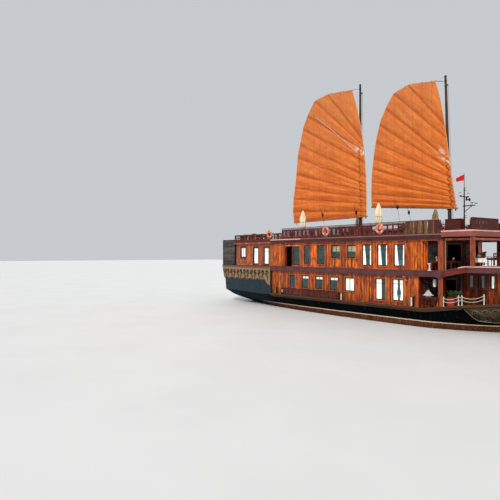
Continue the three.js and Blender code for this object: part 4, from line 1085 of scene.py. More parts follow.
CASTLE_WINDOWS = [
    (-15.55, -14.63, 4.98, 6.07, "screen"), (-13.2, -12.37, 4.3, 6.02, "sheer"),
    (-11.4, -10.6, 4.3, 6.02, "sheer"),
]
FORE_CABIN_WINDOWS = [
    (10.49, 10.84, 2.95, 3.9, "net"), (11.34, 11.68, 2.95, 3.9, "net"),
    (12.07, 12.43, 2.95, 3.9, "one curtain"),
]
DOORWAY = (-7.93, -6.95, 4.13, 6.1)
SUNLIT_FROM = 6.36             # from this station on the upper wall's boards are yellower: painted sunlight
WARM_FROM = 11.94              # from this station on the fore cabin's boards are lighter
SPLIT = ("blind", "half blind", "screen")     # windows so dressed have a middle stile
TALL = 1.5                     # windows over this height have a rail
BOARD, CASTLE_BOARD, BOARD_THICK = 0.14, 0.12, 0.014
NARROWEST = 0.035              # a board's edge this near a window gives way to the window's edge
CASING, PROUD = 0.075, 0.05    # width of a window's casing, and how far it stands out
REVEAL, SASH_EDGE = 0.02, 0.07
SASH_DEPTH, PANE_DEPTH = (0.022, 0.058), (0.036, 0.043)


def boards(shape, span, low, high, holes, face, width=BOARD):
    """Upright boards over a wall face, cut round holes (x0, x1, z0, z1). low and high are heights or
    functions of the station."""
    low_at = low if callable(low) else lambda x: low
    high_at = high if callable(high) else lambda x: high
    edges = {span[0], span[1]}
    count = math.ceil((span[1] - span[0]) / width)
    edges |= {span[0] + (span[1] - span[0]) * k / count for k in range(count)}
    for x0, x1, _, _ in holes:
        edges = {e for e in edges if min(abs(e - x0), abs(e - x1)) > NARROWEST} | {x0, x1}
    edges = sorted(e for e in edges if span[0] <= e <= span[1])
    for a, b in zip(edges, edges[1:]):
        middle = (a + b) / 2
        cuts = sorted((z0, z1) for x0, x1, z0, z1 in holes if x0 <= middle <= x1)
        z = low_at(middle)
        for z0, z1 in cuts + [(high_at(middle), None)]:
            if z0 - z > 0.03:
                shape.box((a + 0.002, b - 0.002), (face - BOARD_THICK, face - 0.001), (z, z0), 0.005)
            z = z1 if z1 is not None else z


def window(frames, glass, hole, face, rails=(), stiles=(), casing=0):
    """Casing, reveal, sash and pane of one window in a side wall whose outer face lies at y = face."""
    x0, x1, z0, z1 = hole[:4]
    out, back = face - PROUD, face + WALL + 0.012
    across = (x0 - CASING - 0.02, x1 + CASING + 0.02)
    frames.paint(casing)
    for a, b in ((x0 - CASING, x0 + 0.008), (x1 - 0.008, x1 + CASING)):
        frames.box((a, b), (out, face), (z0 - 0.02, z1 + 0.02), 0.01)
    frames.box(across, (out - 0.012, face), (z1 + 0.018, z1 + 0.1), 0.012)
    frames.box(across, (out - 0.035, face + 0.02), (z0 - 0.085, z0 - 0.018), 0.012)
    frames.paint(1)
    for a, b in ((x0, x0 + REVEAL), (x1 - REVEAL, x1)):
        frames.box((a, b), (face - 0.005, back), (z0, z1), 0.003)
    for a, b in ((z0, z0 + REVEAL), (z1 - REVEAL, z1)):
        frames.box((x0, x1), (face - 0.005, back), (a, b), 0.003)
    sash = (face + SASH_DEPTH[0], face + SASH_DEPTH[1])
    for a, b in ((x0 + REVEAL, x0 + SASH_EDGE), (x1 - SASH_EDGE, x1 - REVEAL)):
        frames.box((a, b), sash, (z0 + REVEAL, z1 - REVEAL), 0.006)
    for a, b in ((z0 + REVEAL, z0 + SASH_EDGE + 0.005), (z1 - SASH_EDGE, z1 - REVEAL)):
        frames.box((x0 + REVEAL, x1 - REVEAL), sash, (a, b), 0.006)
    for share in stiles:
        x = x0 + share * (x1 - x0)
        frames.box((x - 0.018, x + 0.018), sash, (z0 + 0.05, z1 - 0.05), 0.005)
    for share in rails:
        z = z0 + share * (z1 - z0)
        frames.box((x0 + 0.05, x1 - 0.05), sash, (z - 0.016, z + 0.016), 0.005)
    pane = (face + PANE_DEPTH[0], face + PANE_DEPTH[1])
    glass.box((x0 + 0.06, x1 - 0.06), pane, (z0 + 0.06, z1 - 0.06), 0.001)


# Curtains hang this far behind the wall's inner face, with pleats this deep and long
CURTAIN_GAP, PLEAT_DEPTH, PLEAT = 0.055, 0.028, 0.085
CURTAIN_ROWS, TIE_LEVEL = 14, 0.62


def curtain(name, across, heights, plane, side, rails, tied=0.0, top=1.0, look="curtain"):
    """A pleated curtain between two stations; tied draws it together towards its outer edge below mid height,
    and top is the share of its width that it has at its head."""
    a, b = across
    count = max(24, int(abs(b - a) / PLEAT * 10))
    rows = []
    for r in range(CURTAIN_ROWS + 1):
        share = r / CURTAIN_ROWS
        z = heights[1] + share * (heights[0] - heights[1])
        pinch = 1 - tied * math.exp(-((share - TIE_LEVEL) / 0.2) ** 2)
        row = []
        for i in range(count + 1):
            t = i / count
            x = a + (b - a) * t * pinch * (top + (1 - top) * share)
            wave = math.sin(2 * math.pi * t * abs(b - a) / PLEAT + 0.8 * math.sin(3.1 * share + i * 0.05))
            depth = PLEAT_DEPTH * (0.55 + 0.45 * share) * wave
            row.append((x, side * (plane + depth), z))
        rows.append(row)
    made = Shape().sheet(rows).piece(name, look, smooth=True)


def blind(name, across, heights, plane, side, rails, look="blind"):
    """A flat roller blind with a slight belly."""
    rows, wide = [], across[1] - across[0]
    for r in range(9):
        share = r / 8
        z = heights[1] + share * (heights[0] - heights[1])
        belly = 0.006 * math.sin(math.pi * share)
        rows.append([(across[0] + wide * i / 6, side * (plane + belly * math.sin(math.pi * i / 6)), z)
                     for i in range(7)])
    made = Shape().sheet(rows).piece(name, look, smooth=True)


def dress_window(name, hole, plane, rails, rails_name):
    """Curtains or blinds behind one window, on both sides of the ship."""
    x0, x1, z0, z1, kind = hole
    if kind == "bare":
        return
    wide, high, rail_z = x1 - x0, z1 - z0, z1 - 0.015
    heights = (z0 - 0.04, z1 - 0.03)
    for label, side in SIDES.items():
        rails.tube([(x0 - 0.05, side * plane, rail_z), (x1 + 0.05, side * plane, rail_z)], 0.012, 8)
        for x in (x0 - 0.03, x1 + 0.03):
            rails.box((x - 0.012, x + 0.012), (side * plane, side * (plane + CURTAIN_GAP + 0.002)),
                      (rail_z - 0.012, rail_z + 0.012), 0.002)
        tag, aft, fore = f"{name}_{label}", x0 - 0.03, x1 + 0.03
        hung = (plane, side, rails_name)
        if kind == "one curtain":
            curtain(f"curtain_{tag}_aft", (aft, x0 + 0.5 * wide), heights, *hung)
        elif kind == "drawn back":
            curtain(f"curtain_{tag}_aft", (aft, x0 + 0.36 * wide), heights, *hung, top=0.5)
            curtain(f"curtain_{tag}_fore", (fore, x1 - 0.25 * wide), heights, *hung)
        elif kind == "two curtains":
            curtain(f"curtain_{tag}_aft", (aft, x0 + 0.4 * wide), heights, *hung, tied=0.2)
            curtain(f"curtain_{tag}_fore", (fore, x1 - 0.4 * wide), heights, *hung, tied=0.2)
        elif kind in ("sheer", "net"):
            curtain(f"curtain_{tag}", (aft, fore), heights, *hung,
                    look="net" if kind == "net" else "curtain")
        else:
            foot, look = {"blind": (z1 - 0.24 * high, "blind_white"),
                          "half blind": (z1 - 0.5 * high, "blind"),
                          "screen": (z0 + 0.02, "blind_white")}[kind]
            blind(f"blind_{tag}", (x0 - 0.02, x1 + 0.02), (foot, z1 - 0.02), *hung, look)


# Ends of the walls, and stations of the posts between their windows
LOW_AFT, LOW_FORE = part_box("lower_wall_stbd")[0].x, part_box("lower_wall_stbd")[1].x
UP_AFT, UP_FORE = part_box("upper_wall_stbd")[0].x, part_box("upper_wall_stbd")[1].x
CASTLE_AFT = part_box("castle_wall_stbd")[0].x
LOWER_POSTS = [LOW_AFT + 0.1, -8.1, -6.04, -4.18, -2.34, -0.5, 2.1, 4.57, 6.5, LOW_FORE - 0.09]
UPPER_POSTS = [UP_AFT + 0.12, -8.2, -5.57, -3.95, -2.1, -0.26, 1.5, 3.11, 4.73, 6.36, UP_FORE - 0.09]
CASTLE_POSTS = [CASTLE_AFT + 0.07, -13.9, -11.88, -10.1, UP_AFT - 0.06]
SKIRTING, CORNICE = 0.13, 0.09
# What shows of the rooms, as (x from, x to, top, tone): pillows and bedspreads at the foot of three windows
BEDS = [(2.38, 2.86, 4.98, 0), (5.3, 6.0, 4.86, 1), (5.1, 5.8, 2.2, 1)]


def clearance(rows):
    """The holes that windows need in the boards round them."""
    return [(x0 - 0.02, x1 + 0.02, z0 - 0.02, z1 + 0.02) for x0, x1, z0, z1, *_ in rows]


def side_boards(face):
    """Boards of the two cabin decks and the stern cabin."""
    shape, castle = Shape(), Shape()
    boards(shape, (LOW_AFT + 0.02, LOW_FORE - 0.01), MAIN_DECK + 0.03, MID_UNDER - 0.005,
           clearance(LOWER_WINDOWS), face)
    openings = clearance(UPPER_WINDOWS) + [DOORWAY]
    # Aft boards in the plain copy, forward ones in the brighter copy that paints sunlight on them
    for tone, a, b in ((0, UP_AFT + 0.06, SUNLIT_FROM), (1, SUNLIT_FROM, UP_FORE - 0.01)):
        boards(shape.paint(tone), (a, b), MID_DECK + 0.03, ROOF_UNDER - 0.1,
               [hole for hole in openings if hole[0] < b and hole[1] > a], face)
    boards(castle, (CASTLE_AFT + 0.01, UP_AFT - 0.02), MID_DECK + 0.02, ROOF_UNDER - 0.005,
           clearance(CASTLE_WINDOWS), face, CASTLE_BOARD)
    return shape, castle


def side_posts(face):
    """Posts, skirtings and cornices along the side walls."""
    posts = Shape()
    for x in LOWER_POSTS:
        posts.box((x - 0.07, x + 0.07), (face - 0.045, face), (MAIN_DECK + 0.02, MID_UNDER - 0.005), 0.012)
    for stations, head in ((UPPER_POSTS, ROOF_UNDER - 0.1), (CASTLE_POSTS, ROOF_UNDER - 0.005)):
        for x in stations:
            posts.box((x - 0.06, x + 0.06), (face - 0.04, face), (MID_DECK + 0.02, head), 0.012)
    for a, b, z in ((LOW_AFT + 0.02, LOW_FORE, MAIN_DECK + 0.02),
                    (UP_AFT + 0.02, DOORWAY[0], MID_DECK + 0.01),
                    (DOORWAY[1], UP_FORE, MID_DECK + 0.01), (CASTLE_AFT, UP_AFT - 0.02, MID_DECK + 0.01)):
        posts.box((a, b), (face - 0.032, face), (z, z + SKIRTING), 0.01)
    for a, b, z in ((LOW_AFT + 0.02, LOW_FORE, MID_UNDER - 0.1), (CASTLE_AFT, UP_FORE, ROOF_UNDER - 0.1)):
        posts.box((a, b), (face - 0.055, face), (z, z + CORNICE), 0.015)
    return posts


def doorway_casing(frames, face):
    """The casing round the side doorway and the window beside it."""
    x0, x1, z0, z1 = DOORWAY
    aft, fore, sill = UPPER_WINDOWS[0][:3]
    frames.paint(1)
    frames.box((x0 - 0.09, x0 + 0.005), (face - 0.06, face), (z0, z1 + 0.02), 0.012)
    frames.box((x1 - 0.005, aft + 0.01), (face - 0.065, face), (z0, z1 + 0.02), 0.012)
    frames.box((aft - 0.09, fore + 0.02), (face - 0.062, face), (z0 + 0.13, sill - 0.02), 0.012)
    frames.box((x0, x1), (face - 0.03, face + WALL), (z0 + 0.002, z0 + 0.028), 0.006)
    frames.paint(2)
    frames.box((x0 - 0.12, fore + 0.16), (face - 0.085, face), (z1 - 0.005, z1 + 0.11), 0.014)
    frames.box((fore + 0.02, fore + 0.14), (face - 0.08, face), (z0 + 0.01, z1), 0.014)


def cabin_sides():
    """Side walls of the two cabin decks and the stern cabin, with their windows and the side doorway."""
    face = -WALL_FACE
    frames, glass, rails, beds = Shape(), Shape(), Shape(), Shape()
    for rows, tag in ((LOWER_WINDOWS, "lower"), (UPPER_WINDOWS, "upper"), (CASTLE_WINDOWS, "castle")):
        for k, hole in enumerate(rows):
            crossed = (0.78,) if hole[3] - hole[2] > TALL else ()
            parted = (0.5,) if hole[4] in SPLIT else ()
            window(frames, glass, hole, face, crossed, parted, casing=1 if tag == "castle" else 0)
            dress_window(f"{tag}_{k}", hole, WALL_FACE - WALL - CURTAIN_GAP, rails, "curtain_rails")
    doorway_casing(frames, face)
    for x0, x1, top, tone in BEDS:
        floor = MID_DECK if top > MID_DECK else MAIN_DECK
        beds.paint(tone).box((x0, x1), (face + 0.24, face + 0.6), (floor + 0.02, top), 0.06)
    panelling, castle = side_boards(face)
    both(beds, "bed_ends", ["cushion", "teal_cloth"], slot="awning_cloth", smooth=40)
    both(panelling, "wall_boards", ["boards", "sunlit_boards"], slot="varnished_wall")
    both(castle, "castle_boards", "castle_boards", slot="varnished_wall")
    both(side_posts(face), "wall_posts", "post", slot="varnished_wall")
    both(frames, "window_frames", ["post", "trim", "door_casing"], slot="varnished_wall")
    both(glass, "window_panes", "glass", slot="dark_wall")
    rails.piece("curtain_rails", "brass", slot="bronze", smooth=40)


def cross_window(frames, glass, hole, face, outward):
    """A window in a wall across the ship: hole is (y0, y1, z0, z1), outward is 1 towards the bow."""
    y0, y1, z0, z1 = hole
    out = face + outward * 0.045
    for a, b in ((y0 - 0.07, y0 + 0.006), (y1 - 0.006, y1 + 0.07)):
        frames.box((face, out), (a, b), (z0 - 0.07, z1 + 0.07), 0.01)
    for a, b in ((z0 - 0.07, z0 + 0.006), (z1 - 0.006, z1 + 0.07)):
        frames.box((face, out + outward * 0.012), (y0 - 0.085, y1 + 0.085), (a, b), 0.01)
    sash = (face - outward * 0.02, face - outward * 0.055)
    for a, b in ((y0 + 0.001, y0 + 0.055), (y1 - 0.055, y1 - 0.001)):
        frames.box(sash, (a, b), (z0 + 0.001, z1 - 0.001), 0.006)
    for a, b in ((z0 + 0.001, z0 + 0.055), (z1 - 0.055, z1 - 0.001)):
        frames.box(sash, (y0 + 0.05, y1 - 0.05), (a, b), 0.006)
    panes = max(1, round((y1 - y0) / 0.65))
    for k in range(1, panes):
        y = y0 + (y1 - y0) * k / panes
        frames.box(sash, (y - 0.018, y + 0.018), (z0 + 0.05, z1 - 0.05), 0.005)
    glass.box((face - outward * 0.034, face - outward * 0.041), (y0 + 0.05, y1 - 0.05),
              (z0 + 0.05, z1 - 0.05), 0.001)


def cross_boards(shape, span, low, high, holes, face, outward, width=BOARD):
    """Upright boards on a wall across the ship, cut round holes (y0, y1, z0, z1)."""
    flat = Shape()
    boards(flat, span, low, high, holes, 0.0, width)
    shape.join(flat.moved(Matrix(((0, -outward, 0, face), (1, 0, 0, 0), (0, 0, 1, 0), (0, 0, 0, 1)))))


# Walls across the ship: face, outward, foot, head, windows and doorway as (y from, y to, z from, z to)
FRONT_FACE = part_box("upper_front_wall")[1].x
CROSS_WALLS = [
    (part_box("lower_front_wall")[1].x, 1, MAIN_DECK + 0.02, MID_UNDER - 0.01,
     [(-3.3, -1.4, 2.0, 3.35), (1.4, 3.3, 2.0, 3.35)], (-0.7, 0.7, MAIN_DECK, 3.35)),
    (FRONT_FACE, 1, MID_DECK + 0.02, ROOF_UNDER - 0.01,
     [(-3.3, -1.6, 4.7, 6.05), (1.6, 3.3, 4.7, 6.05)], (-0.9, 0.9, MID_DECK, 6.1)),
    (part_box("castle_aft_wall")[0].x, -1, MID_DECK + 0.02, ROOF_UNDER - 0.01,
     [], (-0.45, 0.45, MID_DECK, 6.05)),
]
LOUNGE_PANEL = (3.38, 3.84)    # from the centreline, on both sides
CABIN_FRONT = {"half": 2.68, "door": (-0.47, 0.44, 2.06, 3.96),
               "windows": [(-2.0, -1.0, 2.7, 3.7), (1.0, 2.0, 2.7, 3.7)]}


def cross_walls():
    """Boards, frames and glass of the walls that run across, and the lining of their doorways."""
    skin_shape, frames, glass = Shape(), Shape(), Shape()
    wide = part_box("lower_front_wall")[1].y
    for face, outward, low, high, windows, door in CROSS_WALLS:
        cross_boards(skin_shape, (-wide, wide), low, high, windows + [door], face, outward)
        for hole in windows:
            cross_window(frames, glass, hole, face, outward)
        for a, b in ((door[0] - 0.08, door[0] + 0.006), (door[1] - 0.006, door[1] + 0.08)):
            frames.box((face, face + outward * 0.055), (a, b), (low, door[3] + 0.01), 0.01)
        frames.box((face, face + outward * 0.07), (door[0] - 0.11, door[1] + 0.11),
                   (door[3] - 0.006, door[3] + 0.11), 0.012)
    panels = Shape()
    for side in (-1, 1):
        across = (side * LOUNGE_PANEL[0], side * LOUNGE_PANEL[1])
        panels.box((FRONT_FACE + 0.014, FRONT_FACE + 0.026), across, (MID_DECK + 0.03, ROOF_UNDER - 0.02),
                   0.004)
    panels.piece("lounge_panels", "sunny_boards", slot="varnished_wall")
    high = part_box("fore_cabin")[1]
    face, half, windows = high.x - 0.023, CABIN_FRONT["half"], CABIN_FRONT["windows"]
    cross_boards(skin_shape, (-half, half), deck_z(face) + 0.02, high.z - 0.012,
                 windows + [CABIN_FRONT["door"]], face, 1)
    for hole in windows:
        cross_window(frames, glass, hole, face, 1)
    skin_shape.piece("cross_wall_boards", "dark_cross", slot="dark_wall")
    frames.piece("cross_window_frames", "trim", slot="dark_wall")
    glass.piece("cross_window_panes", "glass", slot="dark_wall")


FORE_CABIN_FACE, FORE_CABIN_END = 2.7, 13.48
FORE_CABIN_POSTS = [11.09, 11.87, 12.8, 13.42]


def fore_cabin_sides():
    """Boards and windows along the cabin under the fore deck, whose foot and head slope."""
    aft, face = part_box("fore_cabin")[0].x, -FORE_CABIN_FACE
    skin_shape, frames, glass, rails = Shape(), Shape(), Shape(), Shape()
    wall, holes = tree_of("fore_cabin"), clearance(FORE_CABIN_WINDOWS)
    head = lambda x: top_of(wall, x, face + 0.04) - 0.01
    foot = lambda x: deck_z(x) + 0.03
    boards(skin_shape, (aft + 0.01, WARM_FROM), foot, head, [h for h in holes if h[1] < WARM_FROM], face)
    boards(skin_shape.paint(1), (WARM_FROM, FORE_CABIN_END), foot, head,
           [h for h in holes if h[0] > WARM_FROM], face)
    for k, hole in enumerate(FORE_CABIN_WINDOWS):
        window(frames, glass, hole, face, casing=1)
        dress_window(f"fore_{k}", hole, FORE_CABIN_FACE - WALL - CURTAIN_GAP, rails, "fore_curtain_rails")
    frames.paint(1)
    for x in [aft + 0.07] + FORE_CABIN_POSTS:
        frames.box((x - 0.055, x + 0.055), (face - 0.04, face), (deck_z(x) + 0.02, head(x)), 0.01)
    both(skin_shape, "fore_cabin_boards", ["dark", "warm"], slot="dark_wall")
    both(frames, "fore_cabin_frames", ["post", "trim"], slot="varnished_wall")
    both(glass, "fore_cabin_panes", "glass", slot="dark_wall")
    rails.piece("fore_curtain_rails", "brass", slot="bronze", smooth=40)


STILE, DOOR_RAIL, LOCK_RAIL = 0.06, 0.07, 0.8
PULL_HEIGHTS = (0.95, 0.98, 1.22, 1.25)


def sliding_doors():
    """Each sliding door: stiles and rails round two panes and two panels, with a pull handle."""
    low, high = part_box("side_door_stbd")
    frames, glass, brass = Shape(), Shape(), Shape()
    inner, half = high.y, (high.x - low.x) / 2
    face = (inner, inner + 0.018)
    for x in (low.x + STILE, low.x + half, high.x - STILE):
        frames.box((x - STILE, x + STILE), face, (low.z + 0.01, high.z - 0.005), 0.008)
    for z in (low.z + 0.09, low.z + LOCK_RAIL, high.z - 0.08):
        frames.box((low.x, high.x), face, (z - DOOR_RAIL, z + DOOR_RAIL), 0.008)
    for k in (0, 1):
        x0 = low.x + 2 * STILE + k * (half - 0.02)
        glass.box((x0, x0 + half - 0.16), (inner, inner + 0.006), (low.z + 0.88, high.z - 0.16), 0.001)
        frames.box((x0 + 0.03, x0 + half - 0.19), (inner, inner + 0.012), (low.z + 0.19, low.z + 0.7), 0.02)
    out = (inner + 0.018, inner + 0.06, inner + 0.06, inner + 0.018)
    brass.tube([(high.x - STILE, y, low.z + z) for y, z in zip(out, PULL_HEIGHTS)], 0.011, 8)
    doors = {"stbd": "door_stbd", "port": "door_port"}
    both(frames, "side_door_frame", "post", doors, "dark_wall")
    both(glass, "side_door_pane", "glass", doors, "dark_wall")
    both(brass, "side_door_pull", "brass", doors, "bronze", 40)


# Edges of the decks in plan, on the starboard side from aft to the centreline
RISE = (9.4, 11.0)
EDGE_Y, MID_AFT, MID_FORE = -4.25, -9.97, 14.2
MID_EDGE = [(MID_AFT, EDGE_Y), (RISE[0], EDGE_Y), (10.0, EDGE_Y), (11.0, -4.135), (12.0, -4.02)]
MID_BOW = [(12.0, -4.02), (14.0, -3.69), (MID_FORE, -1.8)]
PROUD_EDGE, ROOF_FORE, ROOF_CORNER = 4.32, 11.7, 0.35
PARAPET_FACE = 4.2
ROOF_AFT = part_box("roof")[0].x
# Stations where the finish of an edge changes
BELT_FORE, RISE_END = 10.6, 11.2
CASTLE_ROOF_END, DULL_FROM = -10.0, -5.5


def rise(x):
    """How far the decks have stepped up towards the bow at a station."""
    share = (x - RISE[0]) / (RISE[1] - RISE[0])
    return (FORE_FLOOR - MID_DECK) * min(1.0, max(0.0, share))


def middle_edge():
    """The middle deck's edge, round its bow."""
    return [Vector(p) for p in MID_EDGE] + bezier(MID_BOW, 8)[1:] + [Vector((MID_BOW[-1][0], 0.0))]


def fore_roof_edge():
    """The edge of the fore part of the roof, with its round corner."""
    corner = [Vector((ROOF_FORE - ROOF_CORNER * (1 - math.sin(t)),
                      -PROUD_EDGE + ROOF_CORNER * (1 - math.cos(t))))
              for t in (math.pi / 2 * k / 8 for k in range(9))]
    return [Vector((RISE[0], -PROUD_EDGE))] + corner + [Vector((ROOF_FORE, 0.0))]


def span_of(edge, aft, fore):
    """The part of an edge between two stations."""
    found = []
    for a, b in zip(edge, edge[1:]):
        for x in (aft, fore):
            if a.x < x < b.x:
                found.append(a.lerp(b, (x - a.x) / (b.x - a.x)))
        if aft <= b.x <= fore:
            found.append(b)
    if aft <= edge[0].x <= fore:
        found.insert(0, edge[0])
    return sorted(found, key=lambda p: (round(p.x, 5), p.y))


def moulding(shape, path, section):
    """Sweeps a section of (outwards, up) points along the starboard edge of a deck, mitred at its corners."""
    ways = [(b - a).to_2d().normalized() for a, b in zip(path, path[1:])]
    outward = [Vector((way.y, -way.x)) for way in ways]
    rings = []
    for i, point in enumerate(path):
        first, second = outward[max(i - 1, 0)], outward[min(i, len(outward) - 1)]
        mitre = (first + second) / (1 + first.dot(second))
        rings.append([point + Vector((mitre.x * out, mitre.y * out, up)) for out, up in reversed(section)])
    return shape.rings(rings)


def lip(out, low, high):
    """Section of an edge moulding: a half-round nose between two heights."""
    tall = high - low
    return [(-0.02, low), (out * 0.55, low), (out * 0.9, low + 0.22 * tall), (out, low + 0.5 * tall),
            (out * 0.85, low + 0.8 * tall), (out * 0.45, high), (-0.02, high)]


def flat(out, low, high):
    """Section of a flat facing between two heights."""
    return [(-0.01, low), (out, low), (out, high), (-0.01, high)]


def deck_mouldings():
    """Mouldings and facings on the edges of the middle deck and the roof."""
    shape, edge = Shape(), middle_edge()
    belt, pale, red, dull, pink, castle = range(6)
    # look, station from, station to, section
    for look, start, end, section in (
        (belt, MID_AFT, BELT_FORE, lip(0.04, -0.05, 0.015)),
        (belt, MID_AFT, RISE[0], lip(0.03, -0.43, -0.385)),
        (belt, MID_AFT, RISE[0], lip(0.018, -0.25, -0.225)),
        (pale, BELT_FORE, MID_FORE, lip(0.06, -0.065, 0.02)),
        (belt, RISE_END, MID_FORE, lip(0.03, -0.43, -0.385)),
        (red, RISE[0], RISE_END, flat(0.014, -0.425, -0.06)),
        (red, RISE[0], RISE_END, lip(0.04, -0.43, -0.38)),
    ):
        path = [Vector((p.x, p.y, MID_DECK + rise(p.x))) for p in span_of(edge, start, end)]
        moulding(shape.paint(look), path, section)
    for look, start, end, section in (
        (belt, ROOF_AFT, CASTLE_ROOF_END, lip(0.035, -0.06, 0.01)),
        (belt, ROOF_AFT, CASTLE_ROOF_END, lip(0.025, -0.22, -0.18)),
        (castle, ROOF_AFT, CASTLE_ROOF_END, flat(0.012, -0.375, -0.21)),
        (pale, CASTLE_ROOF_END, DULL_FROM, lip(0.055, -0.085, 0.02)),
        (dull, DULL_FROM, RISE[0], lip(0.055, -0.07, 0.02)),
        (belt, CASTLE_ROOF_END, RISE[0], lip(0.03, -0.37, -0.32)),
        (belt, CASTLE_ROOF_END, RISE[0], lip(0.02, -0.19, -0.165)),
    ):
        path = [Vector((x, EDGE_Y, ROOF_TOP)) for x in (start, end)]
        moulding(shape.paint(look), path, section)
    fore = [Vector((p.x, p.y, FORE_ROOF_TOP)) for p in fore_roof_edge()]
    moulding(shape.paint(pale), fore, lip(0.05, -0.085, 0.02))
    moulding(shape.paint(pink), fore, flat(0.012, -0.43, -0.08))
    moulding(shape.paint(belt), fore, lip(0.035, -0.44, -0.4))
    both(shape, "deck_moulding",
         ["belt", "pale_trim", "red_wood", "dull_trim", "pink_face", "castle_boards"],
         slot="roof_edge", smooth=40)


WALE_AFT, WALE_LENGTH, WALE_STEPS = -9.9, 20.7, 83


def wale():
    """A heavy plank along the top of the hull, below the rubbing rail."""
    shape, path = Shape(), []
    for k in range(WALE_STEPS + 1):
        x = WALE_AFT + WALE_LENGTH * k / WALE_STEPS
        top = deck_z(x)
        point = skin(HULL, x, top - 0.09)[0]
        if point is not None:
            path.append(Vector((x, point.y + 0.01, top)))
    moulding(shape, path, [(0, -0.17), (0.045, -0.165), (0.062, -0.1), (0.06, -0.01), (0.03, 0.0),
                           (0, 0.0)])
    both(shape, "hull_wale", "wale", slot="belt", smooth=40)


def lattice(shape, x, z, pitch, width, y):
    """Crossed slats that fill an opening of a side panel."""
    (x0, x1), (z0, z1) = x, z
    for hand, depth in ((1, 0.0), (-1, 0.012)):
        place = lambda a, b, d: Vector((a, y + depth + d, b))
        first = x0 - (z1 - z0) if hand > 0 else x0
        count = int(((x1 - x0) + (z1 - z0)) / pitch)
        for k in range(count + 1):
            start = first + (k + 0.4) * pitch
            # the slat runs at 45 degrees: x = start + hand * (z - z0), kept inside the opening
            low = max(z0, z0 + hand * ((x0 if hand > 0 else x1) - start))
            high = min(z1, z0 + hand * ((x1 if hand > 0 else x0) - start))
            if high - low < 0.05:
                continue
            a, b = start + hand * (low - z0), start + hand * (high - z0)
            half = width / 2
            ends = [(a - half, low), (a + half, low), (b + half, high), (b - half, high)]
            shape.plate(ends, place, 0.012)
    return shape


def turned(shape, centre, height, radius=0.022, sides=8):
    """A turned baluster."""
    profile = [(1.1, 0), (1.1, 0.08), (0.55, 0.1), (0.8, 0.2), (1.15, 0.34), (0.6, 0.52), (0.45, 0.74),
               (0.9, 0.78), (0.55, 0.82), (1.1, 0.92), (1.1, 1.0)]
    return shape.lathe([(radius * r, height * z) for r, z in profile], centre, sides)


# Roof parapet: its ends, the spans of its latticed and its turned part, their bays and openings
PARAPET_AFT, PARAPET_FORE = -8.3, 6.25
LATTICED, BALUSTERED = (-8.2, 2.9, 20, 0.33), (3.0, 6.15, 6, 0.44)
SLATS = {"aft": 6.28, "count": 20, "pitch": 0.139, "width": 0.105, "top": 7.76}
SLAT_CAP = ((6.22, 9.09), (7.775, 7.83))


def parapets():
    """Caps, pilasters and lattice of the roof parapet, and its slatted fore part."""
    shape, face = Shape(), -PARAPET_FACE
    aft, fore = PARAPET_AFT, PARAPET_FORE
    low, high = ROOF_TOP + 0.12, PARAPET_TOP - 0.11
    shape.paint(0)
    shape.box((aft - 0.02, fore), (face - 0.03, face + 0.09), (PARAPET_TOP - 0.02, PARAPET_TOP + 0.035),
              0.015)
    shape.box((aft - 0.01, fore), (face - 0.022, face), (high + 0.005, high + 0.05), 0.008)
    shape.box((aft - 0.01, fore), (face - 0.026, face), (ROOF_TOP + 0.015, ROOF_TOP + 0.1), 0.01)
    for part in (LATTICED, BALUSTERED):
        start, end, count, wide = part
        pitch = (end - start) / count
        for k in range(count + 1):
            x = start + k * pitch
            shape.paint(0).box((x - 0.045, x + 0.045), (face - 0.018, face), (ROOF_TOP + 0.09, high + 0.02),
                               0.008)
            shape.box((x - 0.02, x + 0.02), (face - 0.03, face), (ROOF_TOP + 0.2, high - 0.1), 0.008)
            if k == count:
                continue
            middle = x + pitch / 2
            span = (middle - wide / 2, middle + wide / 2)
            shape.paint(1)
            if part is LATTICED:
                lattice(shape, span, (low, high), 0.085, 0.03, face + 0.018)
            else:
                shape.box(span, (face + 0.01, face + 0.05), (low + 0.3, low + 0.35), 0.008)
                for i in range(4):
                    turned(shape, (span[0] + wide * (i + 0.5) / 4, face + 0.03, low), high - low, 0.02)
    # Upright slats, bleached unevenly, behind a pale cap
    shape.paint(2)
    for k in range(SLATS["count"]):
        x = SLATS["aft"] + k * SLATS["pitch"]
        uneven = 0.012 * math.sin(2.4 * k)
        shape.box((x, x + SLATS["width"]), (face - 0.02, face), (ROOF_TOP + 0.03, SLATS["top"] + uneven),
                  0.008)
    shape.paint(3).box(SLAT_CAP[0], (face - 0.05, face + 0.1), SLAT_CAP[1], 0.015)
    # The end of the cap turns down to the roof
    shape.paint(0).tube([(9.1, face + 0.02, 7.8), (9.3, face + 0.02, 7.2), (9.42, face + 0.02, 6.98)],
                        0.035, 8)
    for y in (face + 0.13, face + 0.2):
        shape.tube([(9.12, y, 7.78), (9.34, y, 6.98)], 0.022, 6)
    both(shape, "parapet_dressing", ["parapet", "lattice", "slat", "dull_trim"], slot="parapet")


SPINDLES, SPINDLE_INSET = 60, 0.12


